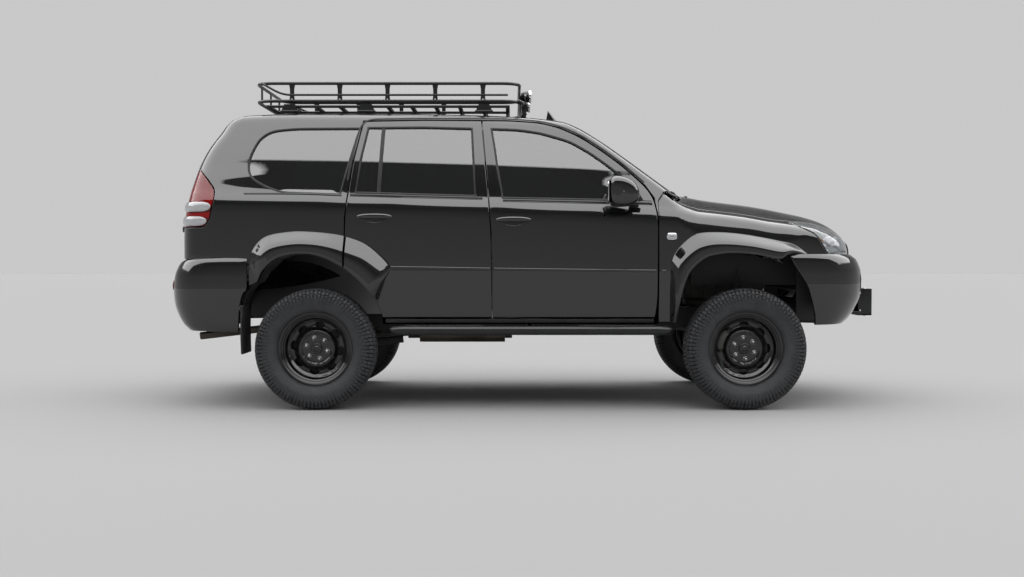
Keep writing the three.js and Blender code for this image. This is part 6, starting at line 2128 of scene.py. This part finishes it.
def antenna():
    """A shark fin on the roof, pointed towards the tail."""
    rows = []
    for t in np.linspace(0, 1, 20):
        z = 1896 + 139 * t
        x0, x1 = 112 + 22 * t, 268 - 128 * t ** 0.9
        half = 21 * (1 - t) ** 0.6 + 0.6
        middle, reach = (x0 + x1) / 2, (x1 - x0) / 2
        turn = full_turn(20)
        rows.append(rows_of(middle + reach * np.cos(turn), half * np.sin(turn), z))
    build("roof_fin", strip(Shape(), rows), [PAINT], "body")


def rear_fittings():
    """Number plate recess, door handle, high lamp and wiper on the rear door."""
    shape = Shape()
    recess = rounded_rectangle(-290, 290, 1120, 1250, 24)
    shape.join(rims(TAIL_MAP, recess, ((6, -1), (3, -6), (0, -7), (-4, -5), (-8, -1)), 0, True))
    blank = rounded_rectangle(-262, 262, 1130, 1240, 8)
    shape.join(panel(TAIL_MAP, blank, [], 3, 40, 2, None, True, 1, start=-4.5))
    for y in (-190, 190):
        for z in (1140, 1230):
            at = spot(TAIL_MAP, y, z, -5)
            shape.join(rod(at, at - [4, 0, 0], 6, 12, 2))
    grip = rounded_rectangle(-640, -520, 1150, 1200, 20)
    shape.join(rims(TAIL_MAP, grip, ((0, -1), (-1, -14), (-6, -18), (-22, -19)), 3, True))
    lamp = rounded_rectangle(-150, 150, 1826, 1846, 8)
    shape.join(rims(TAIL_MAP, lamp, ((0, -1), (-1, -9), (-4, -11), (-9, -11.5)), 4, True))
    arm = TAIL_MAP(np.linspace([60, 1400], [330, 1478], 24), -16.0)
    shape.join(tube(arm, np.linspace(6, 3.5, 24), 10))
    blade = TAIL_MAP(np.linspace([60, 1462], [430, 1478], 30), -5.0)
    shape.join(tube(blade, 3.2, 8, slot=5))
    shape.join(ball(spot(TAIL_MAP, 60, 1400, -8), (14, 22, 22), 12, 20))
    build("rear_door_fittings", shape, [PLASTIC, PLATE, STEEL, PAINT, RED, SEAL], "rear_door")


# ---------------------------------------------------------------- engine bay
def pulley(x, y, z, radius, width=30):
    """A grooved belt pulley that faces forwards."""
    rows = [[0.3, width], [radius * 0.3, width], [radius * 0.35, width * 0.6],
            [radius * 0.8, width * 0.6], [radius, width], [radius, width * 0.7],
            [radius - 5, width * 0.6], [radius - 5, width * 0.3], [radius, width * 0.2],
            [radius, 0], [0.3, 0]]
    return lathe(rows, 40, slot=1).forwards().moved((x, y, z))


ENGINE_FRONT = 1645
INTAKE_Y, OUTLET_Y = -218, 214
ALTERNATOR, PUMP = (-178, 905), (172, 820)


def engine():
    """A straight six: block, sump, head, ribbed cover, manifolds, belt drive and oil filler."""
    shape = block(1100, ENGINE_FRONT, -150, 150, 690, 1000, 14)
    shape.join(block(1120, 1625, -110, 110, 640, 694, 20))
    shape.join(block(1106, 1640, -135, 135, 996, 1120, 12))
    for x in np.linspace(1150, 1600, 6):
        shape.join(block(x - 5, x + 5, -158, 158, 700, 985, 3))
    shape.join(slab(rounded_rectangle(1122, 1622, -150, 150, 40), 1118, 1172, 16, "z", 2))
    for y in np.linspace(-100, 100, 6):
        shape.join(block(1160, 1584, y - 7, y + 7, 1168, 1180, 5, 2))
    shape.join(lathe([[0.3, 22], [24, 22], [28, 16], [28, 0]], 32, slot=2)
               .upwards().moved((1570, 60, 1166)))
    for x in np.linspace(1160, 1590, 6):
        intake = rounded_path([[x, -130, 1080], [x, -205, 1092], [x, INTAKE_Y, 1020]], 40)
        shape.join(tube(intake, 19, 18))
        outlet = rounded_path([[x, 130, 1040], [x, 200, 1030], [x, OUTLET_Y, 960]], 36)
        shape.join(tube(outlet, 17, 18, slot=3))
    shape.join(tube([[1140, INTAKE_Y, 1012], [1612, INTAKE_Y, 1012]], 34, 24))
    shape.join(tube([[1140, OUTLET_Y, 950], [1600, OUTLET_Y, 950]], 26, 22, slot=3))
    for y, z, radius in ((0, 760, 88), (0, 960, 62), (*ALTERNATOR, 40), (*PUMP, 58)):
        shape.join(pulley(ENGINE_FRONT, y, z, radius))
    for y, z, radius in ((*ALTERNATOR, 62), (*PUMP, 66)):
        body = lathe([[0.3, 0], [radius * 0.8, 0], [radius, 12], [radius, 130],
                      [radius * 0.7, 145], [0.3, 146]], 36)
        shape.join(body.forwards().moved((1498, y, z)))
    belt = [[ENGINE_FRONT + 17, y, z] for y, z in (
        (90, 740), (60, 700), (-60, 700), (-88, 760), (-222, 900), (-190, 946), (-40, 1010),
        (50, 1004), (228, 836), (210, 776))]
    shape.join(tube(rounded_path(belt, 30, 6, closed=True), 5, 8, closed=True, slot=2))
    build("engine_finished", shape, [CAST, STEEL, PLASTIC, EXHAUST], "body", ["engine_block"],
          "cast_metal")


FAN_BLADES, FAN_Z = 7, 935


def engine_bay():
    """Battery, air box, reservoirs, brake servo, radiator, fan and hoses round the engine."""
    shape = block(1500, 1690, -490, -320, 952, 1122, 8)
    shape.join(block(1496, 1694, -494, -316, 1118, 1134, 5, 4))
    shape.join(block(1488, 1702, -500, -310, 936, 952, 4))
    for side in (-1, 1):
        shape.join(block(1090, 1800, side * 514 - 2, side * 514 + 2, 800, 1130, 1, 4))
        low, high = sorted((side * 410, side * 518))
        shape.join(block(1914, 1926, low, high, 700, 1090, 2, 4))
    for y in (-456, -354):
        shape.join(lathe([[0.3, 20], [9, 20], [10, 0]], 20, slot=1)
                   .upwards().moved((1536, y, 1132)))
    shape.join(slab(rounded_rectangle(1330, 1600, 300, 500, 30), 950, 1080, 12))
    shape.join(slab(rounded_rectangle(1324, 1606, 294, 506, 30), 1078, 1090, 4, slot=4))
    shape.join(slab(rounded_rectangle(1336, 1594, 306, 494, 30), 1088, 1140, 20))
    for x in (1360, 1465, 1570):
        shape.join(block(x - 7, x + 7, 288, 296, 1064, 1104, 2, 1))
    duct = rounded_path([[1340, 380, 1110], [1240, 360, 1130], [1180, 120, 1140]], 70)
    shape.join(tube(duct, 34, 24))
    shape.join(slab(rounded_rectangle(1180, 1330, -490, -350, 34), 960, 1120, 22, slot=3))
    shape.join(lathe([[0.3, 24], [26, 24], [30, 18], [30, 0]], 30)
               .upwards().moved((1250, -420, 1118)))
    servo = lathe([[0.3, 84], [30, 82], [70, 70], [92, 52], [96, 44], [92, 36], [88, 0],
                   [0.3, 0]], 48)
    shape.join(servo.forwards().moved((1076, 330, 1062)))
    shape.join(rod([1150, 330, 1062], [1232, 330, 1062], 20, 24, 2))
    shape.join(block(1160, 1228, 304, 356, 1076, 1118, 12, 3))
    shape.join(block(1898, 1940, -400, 400, 780, 1090, 4, 2))
    for z0, z1 in ((1084, 1124), (756, 786)):
        shape.join(block(1892, 1946, -410, 410, z0, z1, 10))
    for y in np.linspace(-388, 388, 60):
        shape.join(block(1894, 1899, y - 1.6, y + 1.6, 790, 1080, 0.8, 2))
    shroud = lathe([[236, 0], [230, 34], [226, 40], [220, 34], [224, 0]], 64)
    shape.join(shroud.backwards().moved((1888, 0, FAN_Z)))
    for i in range(FAN_BLADES):
        blade = slab([[-22, 40], [22, 46], [52, 205], [-14, 212]], -3, 3, 2, "y")
        blade.turned((0, 0, 1), math.pi / 2 - 0.35)
        blade.turned((1, 0, 0), i / FAN_BLADES * 2 * math.pi)
        shape.join(blade.moved((1850, 0, FAN_Z)))
    hub = lathe([[0.3, 26], [40, 24], [48, 14], [48, -14]], 40)
    shape.join(hub.backwards().moved((1856, 0, FAN_Z)))
    for path, radius in (([[1630, 70, 1060], [1760, 150, 1100], [1892, 280, 1104]], 22),
                         ([[1640, -70, 820], [1740, -240, 790], [1892, -320, 772]], 22),
                         ([[1250, -360, 1000], [1200, -280, 960], [1130, -160, 930]], 11)):
        shape.join(tube(rounded_path(path, 90), radius, 20, slot=4))
        for end in (0, -1):
            way = np.array(path[1], float) - path[end]
            way /= np.linalg.norm(way)
            shape.join(rod(np.array(path[end]) + way * 16, np.array(path[end]) + way * 28,
                           radius + 2.5, 24, 1))
    build("engine_bay_fittings", shape, [PLASTIC, STEEL, CAST, PEARL, SEAL], "body")


# ---------------------------------------------------------------- cabin
def superellipse(width, height, power, count, pinch=0.0):
    """A rounded rectangle whose sides pull in a little between its corners."""
    turn = full_turn(count)
    c, s = np.cos(turn), np.sin(turn)
    rows = rows_of(np.sign(c) * np.abs(c) ** (2 / power) * width / 2,
                   np.sign(s) * np.abs(s) ** (2 / power) * height / 2)
    rows[:, 0] *= 1 - pinch * (1 - (rows[:, 1] / (height / 2)) ** 2)
    rows[:, 1] *= 1 - pinch * (1 - (rows[:, 0] / (width / 2)) ** 2)
    return rows


def pad(centre, size, tilt, power=4.5, around=56, rings=9):
    """A closed cushion form whose faces close in steps. The size is length, width, thickness."""
    shape = Shape()
    length, width, thick = size
    sections = []
    for t in np.linspace(-1, 1, rings * 2 + 1):
        lift = math.sin(t * math.pi / 2)
        shrink = 1 if abs(t) < 0.35 else 1 - ((abs(t) - 0.35) / 0.65) ** 2.4
        rows = superellipse(length, width, power, around, 0.025) * max(shrink, 0.02)
        sections.append(rows_of(*rows.T, lift * thick / 2))
    return strip(Shape(), sections, flip=True).turned((0, 1, 0), tilt).moved(centre)


# Seams and grids are in metres, as the finished mesh is.
SEAM_DEPTH, SEAM_REACH = 0.007, 0.0075
SEAT_GRID, HEAD_GRID = 0.0165, 0.011
PRESSURE, CLOTH_FRAMES = 4.0, 20


def sew(mesh, lines, depth, reach):
    """Presses sewn channels into a cushion. A line is a plane's direction and its distance."""
    points, normals = vectors(mesh.vertices, "co"), vectors(mesh.vertices, "normal")
    push = np.zeros(len(points))
    for direction, place in lines:
        away = points @ np.array(direction) - place
        push = np.maximum(push, np.exp(-(away / reach) ** 2))
    points -= normals * (push * depth)[:, None]
    mesh.vertices.foreach_set("co", points.ravel())
    mesh.update()


def cushion(name, shape, lines, cap, fill, voxel):
    """Inflates a cushion form as cloth, keeps it near its form, and sews its channels."""
    piece = build(name, shape, [CLOTH], "body", (), "upholstery", 180)
    remesh = piece.modifiers.new("remesh", "REMESH")
    remesh.mode, remesh.voxel_size = "VOXEL", voxel
    apply_to(piece)
    before = vectors(piece.data.vertices, "co")
    modifier = piece.modifiers.new("cloth", "CLOTH")
    cloth = modifier.settings
    cloth.use_pressure = True
    cloth.uniform_pressure_force = PRESSURE
    cloth.effector_weights.gravity = 0.0
    cloth.quality = 4
    cloth.mass = 0.3
    scene = bpy.context.scene
    modifier.point_cache.frame_start, modifier.point_cache.frame_end = 1, CLOTH_FRAMES
    for step in range(1, CLOTH_FRAMES + 1):
        scene.frame_set(step)
    apply_to(piece)
    scene.frame_set(1)
    move = vectors(piece.data.vertices, "co") - before
    far = np.linalg.norm(move, axis=1)
    move *= (np.minimum(far, cap) / np.maximum(far, 1e-9))[:, None]
    piece.data.vertices.foreach_set("co", (before + move).ravel())
    piece.data.update()
    piece.modifiers.new("smooth", "SUBSURF").levels = 1
    apply_to(piece)
    mesh = piece.data
    sew(mesh, lines, SEAM_DEPTH, SEAM_REACH)
    mesh.polygons.foreach_set("use_smooth", [True] * len(mesh.polygons))
    return piece


def apply_to(piece):
    """Applies the piece's modifiers to its mesh."""
    view = bpy.context.evaluated_depsgraph_get()
    made = bpy.data.meshes.new_from_object(piece.evaluated_get(view))
    piece.modifiers.clear()
    old = piece.data
    piece.data = made
    bpy.data.meshes.remove(old)


FLOOR_TOP = 640.0
SEAT_Y = 370.0
SEAT_TILT, BACK_LEAN = -0.06, math.pi / 2 - 0.17
SEAT_FILL, HEAD_FILL = 0.8, 0.85


def across(x, y, z, tilt, step, count):
    """Sewn lines across a cushion's length, as planes in world metres."""
    direction = np.array([math.cos(tilt), 0, -math.sin(tilt)])
    middle = direction @ (np.array([x, y, z]) * SCALE)
    return [(direction, middle + (k - (count - 1) / 2) * step * SCALE) for k in range(count)]


def along(y, places):
    """Sewn lines along a cushion's length, at places beside its middle."""
    return [((0, 1, 0), (y + p) * SCALE) for p in places]


def seat(name, x, y, width, base, back, node, parts, heads, head_x, head_z):
    """A seat's cushion, backrest and headrests over a frame. Parts are where its feet stand."""
    cut = [-width / 2 + 62, width / 2 - 62] + ([-215, 215] if len(parts) > 2 else [])
    place = (x + 8, y, base + 96)
    cushion(f"seat_cushion_{name}", pad(place, (506, width - 26, 104), SEAT_TILT),
            along(y, cut) + across(*place, SEAT_TILT, 92, 3), 0.022, SEAT_FILL, SEAT_GRID)
    height = back - 80
    place = (x - 258, y, base + 96 + height / 2)
    cushion(f"seat_back_{name}", pad(place, (height, width - 40, 84), -BACK_LEAN),
            along(y, cut) + across(*place, -BACK_LEAN, 118, 4), 0.02, SEAT_FILL, SEAT_GRID)
    frame_shape = Shape()
    for part in parts:
        at = y + part * (width / 2 - 60)
        for x0, x1, half, z0, z1 in ((-200, 190, 18, FLOOR_TOP + 1, FLOOR_TOP + 26),
                                     (-170, -130, 12, FLOOR_TOP + 24, base + 60),
                                     (110, 150, 12, FLOOR_TOP + 24, base + 60)):
            frame_shape.join(block(x + x0, x + x1, at - half, at + half, z0, z1, 4))
    low, high = y - width / 2, y + width / 2
    frame_shape.join(block(x - 255, x + 258, low + 12, high - 12, base + 8, base + 52, 14))
    if len(parts) == 2:
        cover = smoothed([[x - 300, base - 8], [x + 130, base - 4], [x + 60, base + 70],
                          [x - 230, base + 92], [x - 330, base + 40]], 16)
        for part in parts:
            at = y + part * (width / 2 - 5)
            frame_shape.join(slab(cover, at - 9, at + 9, 4, "y"))
    shell = smoothed([[x - 290, base + 50], [x - 338, base + back - 60],
                      [x - 326, base + back - 40], [x - 270, base + 60]], 12)
    frame_shape.join(slab(shell, low + 34, high - 34, 6, "y"))
    for label, head_y in heads:
        for dy in (-50, 50):
            frame_shape.join(rod([head_x - 2, head_y + dy, head_z - 90],
                                 [head_x - 2, head_y + dy, head_z + 60], 6, 12, 1))
        head = pad((head_x - 4, head_y, head_z + 88), (168, 252, 78), -BACK_LEAN, 3.4)
        cushion(f"headrest_{label}", head, along(head_y, [-88, 88]), 0.014, HEAD_FILL, HEAD_GRID)
    build(f"seat_frame_{name}", frame_shape, [INTERIOR, STEEL], "body", [node],
          "interior_plastic")


def seats():
    for side, y in (("left", SEAT_Y), ("right", -SEAT_Y)):
        seat(side, 0.0, y, 500.0, FLOOR_TOP + 140, 720.0, f"seat_front_{side}", (-1, 1),
             [(side, y)], -290, FLOOR_TOP + 900)
    seat("bench", -870.0, 0.0, 1280.0, FLOOR_TOP + 246, 640.0, "bench_rear", (-1, 0, 1),
         [("bench_right", -SEAT_Y), ("bench_left", SEAT_Y)], -1160, FLOOR_TOP + 920)


RIM_RADIUS, COLUMN_TILT = 188, 0.42


def steering_wheel():
    """Rim, spokes and hub pad about the column's line."""
    shape = Shape()
    turn = full_turn(72)
    rim = rows_of(RIM_RADIUS * np.sin(turn), np.zeros(72), RIM_RADIUS * np.cos(turn))
    shape.join(tube(rim, 14.5 + 1.6 * np.cos(turn * 2), 18, closed=True))
    for way in (0.0, 2.05, -2.05):
        spoke = slab([[-26, 40], [26, 40], [17, 182], [-17, 182]], -10, 6, 5, "y")
        shape.join(spoke.turned((0, 1, 0), math.pi + way))
    hub = smoothed(superellipse(150, 128, 3.0, 40).tolist(), 10)
    shape.join(slab(hub, -20, 16, 12, "y"))
    shape.backwards().turned((0, 1, 0), COLUMN_TILT).moved((395, SEAT_Y, 1100))
    build("steering_wheel_finished", shape, [INTERIOR], "steering_wheel", ["steering_wheel"],
          "interior_plastic")


def cabin_fittings():
    """Instrument hood, vents, centre panel, levers and floor mats round the kept dashboard."""
    shape = Shape()
    hood = smoothed([[640, 1190], [520, 1182], [505, 1205], [560, 1236], [660, 1240],
                     [720, 1216]], 14)
    shape.join(slab(hood, SEAT_Y - 165, SEAT_Y + 165, 18, "y"))
    for y in (-600, -140, 140, 600):
        shape.join(slab(rounded_rectangle(y - 52, y + 52, 1120, 1170, 12), 474, 484, 3, "x"))
        for z in (1130, 1140, 1150, 1160):
            shape.join(block(470, 478, y - 44, y + 44, z - 1.5, z + 1.5, 0.8, 1))
    shape.join(slab(rounded_rectangle(-84, 84, 940, 1108, 16), 458, 474, 4, "x", 1))
    for y in (-50, 0, 50):
        knob = lathe([[0.3, 16], [14, 15], [17, 10], [18, 0]], 28)
        shape.join(knob.backwards().moved((458, y, 976)))
    for x, y, top in ((330, -28, 1010), (250, 34, 960)):
        lever = tube([[x, y, 846], [x + 8, y, 900], [x + 4, y, top - 30]], 7, 12)
        lever.join(ball((x + 2, y, top - 12), (17, 17, 24), 12, 20))
        shape.join(lever)
        boot = lathe([[44, 0], [38, 10], [26, 30], [16, 48], [8, 52]], 24)
        shape.join(boot.upwards().moved((x, y, 846)))
    for y in (-SEAT_Y, SEAT_Y):
        shape.join(block(330, 700, y - 210, y + 210, FLOOR_TOP, FLOOR_TOP + 9, 4, 2))
        shape.join(block(-560, -330, y - 230, y + 230, FLOOR_TOP, FLOOR_TOP + 9, 4, 2))
    build("cabin_trim", shape, [INTERIOR, BEZEL, CARPET], "body")


# ---------------------------------------------------------------- kept frame pieces
KEPT = {
    CHASSIS: ["chassis_frame", "rear_axle", "front_suspension_left", "front_suspension_right"],
    CAST: ["knuckle_left", "knuckle_right", "steering_rack", "driveline"],
    PLASTIC: ["fuel_tank"],
    EXHAUST: ["exhaust"],
    INTERIOR: ["dashboard"],
    CARPET: ["floor_pan"],
}
# Width of the softened edges, in metres.
SOFT_EDGE = 0.0025


def kept_pieces():
    """Frame pieces whose shapes are right get their finish and softened edges."""
    for material, names in KEPT.items():
        for name in names:
            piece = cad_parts[name]
            for slot in piece.material_slots:
                slot.material = material
            bevel = piece.modifiers.new("soft_edges", "BEVEL")
            bevel.width, bevel.segments, bevel.limit_method = SOFT_EDGE, 2, "ANGLE"
            bevel.angle_limit = math.radians(40)
            bevel.harden_normals = False


# ---------------------------------------------------------------- floor, light and camera
# Brightness of what the camera sees behind the floor, of the floor's paint, of the ceiling panel
# and of the ceiling round it. Matt surfaces get a smaller share of the panel than glossy ones.
BACKDROP = 0.58
FLOOR = 0.6
PANEL = 3.5
CEILING, WALL = 0.12, 0.42
MATT_SHARE = 0.29
# The panel's half sizes and the softness of its edges, per unit of height.
PANEL_Y, SOFT_Y = 1.2, 0.04
PANEL_X, SOFT_X = 3.2, 0.3
FLOOR_REACH = 60.0
LAMP_WATTS, LAMP_HEIGHT = 20, 6.5
CAMERA_AT, CAMERA_PITCH, CAMERA_LENS = (-0.121, -8.464, 0.988), 88.465, 41.31


def added(name, data):
    """A scene object that isn't a piece of the vehicle."""
    made = bpy.data.objects.new(name, data)
    bpy.context.scene.collection.objects.link(made)
    return made


def stage():
    """Pale floor, soft overhead lamp, pale room and the photograph's camera."""
    mesh = bpy.data.meshes.new("floor")
    far = FLOOR_REACH
    corners = [(-far, -far, 0), (far, -far, 0), (far, far, 0), (-far, far, 0)]
    mesh.from_pydata(corners, [], [(0, 1, 2, 3)])
    floor = added("floor", mesh)
    pale = bpy.data.materials.new("pale_floor")
    pale.use_nodes = True
    shader = pale.node_tree.nodes["Principled BSDF"]
    shader.inputs["Base Color"].default_value = (FLOOR, FLOOR, FLOOR, 1)
    shader.inputs["Roughness"].default_value = 0.8
    shader.inputs["Specular IOR Level"].default_value = 0.1
    mesh.materials.append(pale)
    studio_world()

    lamp = bpy.data.lights.new("overhead", "AREA")
    lamp.shape = "RECTANGLE"
    lamp.size, lamp.size_y = 9.0, 4.0
    lamp.energy = LAMP_WATTS
    added("overhead", lamp).location = (0, 0, LAMP_HEIGHT)

    lens = bpy.data.cameras.new("camera")
    lens.lens = CAMERA_LENS
    lens.sensor_width = 36
    camera = added("camera", lens)
    camera.location = CAMERA_AT
    camera.rotation_euler = (math.radians(CAMERA_PITCH), 0, 0)
    scene = bpy.context.scene
    scene.camera = camera
    scene.view_settings.view_transform = "Standard"


def studio_world():
    """A pale room that darkens upwards, with one long soft light on its ceiling."""
    world = bpy.data.worlds.new("studio")
    world.use_nodes = True
    bpy.context.scene.world = world
    nodes, links = world.node_tree.nodes, world.node_tree.links

    def math_node(operation, *values):
        node = nodes.new("ShaderNodeMath")
        node.operation = operation
        for socket, value in zip(node.inputs, values):
            if isinstance(value, (int, float)):
                socket.default_value = value
            else:
                links.new(value, socket)
        return node.outputs["Value"]

    def between(value, low, high, soft):
        """1 where a value lies between two limits, with soft edges."""
        edges = []
        for at, step in ((low, soft), (high, -soft)):
            ramp = nodes.new("ShaderNodeMapRange")
            links.new(value, ramp.inputs["Value"])
            ramp.inputs["From Min"].default_value = at
            ramp.inputs["From Max"].default_value = at + step
            edges.append(ramp.outputs["Result"])
        return math_node("MULTIPLY", *edges)

    way = nodes.new("ShaderNodeSeparateXYZ")
    links.new(nodes.new("ShaderNodeTexCoord").outputs["Generated"], way.inputs[0])
    height = math_node("MAXIMUM", way.outputs["Z"], 0.02)
    ceiling_y = math_node("DIVIDE", way.outputs["Y"], height)
    ceiling_x = math_node("DIVIDE", way.outputs["X"], height)
    panel_light = math_node("MULTIPLY", between(ceiling_y, -PANEL_Y, PANEL_Y, SOFT_Y),
                            between(ceiling_x, -PANEL_X, PANEL_X, SOFT_X))
    wall = nodes.new("ShaderNodeMapRange")
    links.new(way.outputs["Z"], wall.inputs["Value"])
    for key, value in (("From Max", 0.4), ("To Min", WALL), ("To Max", CEILING)):
        wall.inputs[key].default_value = value
    path = nodes.new("ShaderNodeLightPath")
    seen = math_node("MAXIMUM", path.outputs["Is Camera Ray"], path.outputs["Is Transmission Ray"])
    unseen = math_node("SUBTRACT", 1.0, seen)
    room = math_node("ADD", math_node("MULTIPLY", seen, BACKDROP),
                     math_node("MULTIPLY", unseen, wall.outputs["Result"]))
    strength = math_node("MULTIPLY", math_node("ADD", path.outputs["Is Glossy Ray"],
                                               MATT_SHARE / (1 - MATT_SHARE)),
                         PANEL * (1 - MATT_SHARE))
    lit = math_node("MULTIPLY", math_node("MULTIPLY", panel_light, strength), unseen)
    back = nodes["Background"]
    back.inputs["Color"].default_value = (1, 1, 1, 1)
    links.new(math_node("ADD", room, lit), back.inputs["Strength"])
    world.cycles.sampling_method = "MANUAL"
    world.cycles.sample_map_resolution = 512


body_shell()
on_both(lambda side: door(side, "door_front", FRONT_DOOR, FRONT_WINDOW))
on_both(lambda side: door(side, "door_rear", REAR_DOOR, REAR_WINDOW,
                          flare(REAR_WING, 6.07, 10, side_field, 60)))
for make in (front_wing, headlamp, tail_lamp, repeater, door_trim_pieces, body_trim, mirror,
             side_step, mud_flap, brakes):
    on_both(make)
for make in (bonnet, rear_door, windows, wheels, front_bumper, rear_bumper, roof_rack,
             rack_lamps, grille, engine, engine_bay, nose_shade_panels, winch, scuttle, antenna,
             rear_fittings, seats, steering_wheel, cabin_fittings, kept_pieces, stage):
    make()
